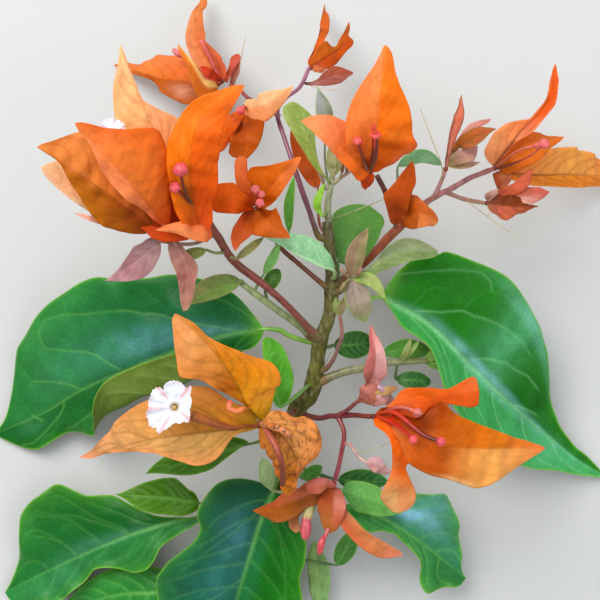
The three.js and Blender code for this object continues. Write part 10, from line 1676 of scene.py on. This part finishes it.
bud([(326, 190, 32.6), (321, 176, 34.5), (313, 155, 35.5)], [0.35, 0.6, 0.75], [(160, 150, 110), (176, 120, 110), (214, 130, 130)], 1)
bud([(338, 181, 33.4), (342, 172, 34.5), (343, 165, 35)], [0.25, 0.3, 0.45], [(160, 150, 110), (130, 76, 50)], 2)
bud([(344, 176, 33.4), (347, 170, 34.4), (347, 166, 34.8)], [0.22, 0.3, 0.4], [(160, 150, 110), (140, 80, 56)], 3)
bud([(350, 277, 35), (345, 274, 37), (341, 269, 38)], [0.3, 0.45, 0.5], [(160, 150, 110), (166, 130, 104)], 4)
bud([(354, 277, 35), (358, 274, 37), (361, 269, 38)], [0.3, 0.45, 0.5], [(160, 150, 110), (160, 120, 96)], 5)
bud([(350, 279, 35), (345, 283, 36.5), (342, 288, 36.5)], [0.3, 0.4, 0.45], [(170, 160, 120), (150, 130, 80)], 6)
bud([(388, 398, 42), (384, 391, 45), (379, 387, 46)], [0.3, 0.5, 0.6], [(170, 120, 120), (210, 160, 180)], 8)
put("small_buds", buds, [])

# ---------------------------------------------------------------- down on the young wood
spots, out = [], []
r2 = np.random.default_rng(23)


def furry(path, r, n, t0=0.0, t1=1.0):
    C = crom(path, 200)
    T = np.gradient(C, axis=0)
    T /= np.linalg.norm(T, axis=1)[:, None]
    i = (r2.uniform(t0, t1, n) * 200).astype(int)
    rr = along(list(r) if isinstance(r, (list, tuple)) else r, i / 200)
    d = r2.normal(size=(n, 3))
    d -= T[i] * (d * T[i]).sum(1)[:, None]
    d /= np.linalg.norm(d, axis=1)[:, None]
    spots.append(C[i] + d * rr[:, None])
    out.append(d + T[i] * 0.3)


furry(MAIN["path"], MAIN["r"], 1500, 0.35, 1.0)
for k, n in (("side", 260), ("sideb", 120), ("sr", 500), ("sg", 320), ("rt", 160), ("pa", 380), ("sc", 160), ("pe", 260), ("sb", 160)):
    furry(AXES[k]["path"], AXES[k]["r"], n)
d = r2.normal(size=(420, 3))
d /= np.linalg.norm(d, axis=1)[:, None]
d[:, 2] = np.abs(d[:, 2])
spots.append(np.array(SEATS["rosette"]) + d * np.array([0.9, 0.9, 0.7]))
out.append(d)
put("down", [(needles(np.vstack(spots), np.vstack(out), 0.022, 0.34, (196, 196, 164), 4), ("hair",))], [])

# ---------------------------------------------------------------- camera, floor and light
scene = bpy.context.scene
cam = bpy.data.cameras.new("camera")
cam.sensor_width = 36.0
cam.lens = 78.26
cam.clip_start = 0.01
cam.dof.use_dof = False
co = bpy.data.objects.new("camera", cam)
co.location = (SHIFT[0] * 0.001, SHIFT[1] * 0.001, (CAM_Z + SHIFT[2]) * 0.001)
scene.collection.objects.link(co)
scene.camera = co

me = bpy.data.meshes.new("floor")
me.from_pydata([(-1.5, -1.5, 0), (1.5, -1.5, 0), (1.5, 1.5, 0), (-1.5, 1.5, 0)], [], [(0, 1, 2, 3)])
floor = bpy.data.objects.new("floor", me)
floor.location.z = -0.0002
scene.collection.objects.link(floor)
fm = bpy.data.materials.new("floor")
fm.use_nodes = True
bs = fm.node_tree.nodes["Principled BSDF"]
bs.inputs["Base Color"].default_value = (0.60, 0.60, 0.585, 1)
bs.inputs["Roughness"].default_value = 0.9
me.materials.append(fm)

world = bpy.data.worlds.new("world")
scene.world = world
world.use_nodes = True
bg = world.node_tree.nodes["Background"]
bg.inputs["Color"].default_value = (0.93, 0.97, 1.0, 1)
bg.inputs["Strength"].default_value = 0.48


def area(name, place, size, power, colour, target=(0, 0, 0.03)):
    li = bpy.data.lights.new(name, "AREA")
    li.shape = "RECTANGLE"
    li.size, li.size_y = size
    li.energy = power
    li.color = colour
    ob = bpy.data.objects.new(name, li)
    ob.location = place
    ob.rotation_euler = (Vector(target) - Vector(place)).to_track_quat("-Z", "Y").to_euler()
    scene.collection.objects.link(ob)


area("key", (-0.30, 0.36, 0.55), (0.42, 0.42), 4.2, (1.0, 0.99, 0.97))
area("sky", (-0.12, 0.20, 0.75), (0.36, 0.36), 1.2, (0.84, 0.93, 1.0))
area("fill", (0.45, -0.10, 0.45), (0.5, 0.5), 1.2, (0.93, 0.97, 1.0))
scene.view_settings.view_transform = "Standard"
scene.view_settings.look = "None"

print("pieces", len(COUNT), "triangles", sum(c for _, c in COUNT), "most", sorted(COUNT, key=lambda c: -c[1])[:6])
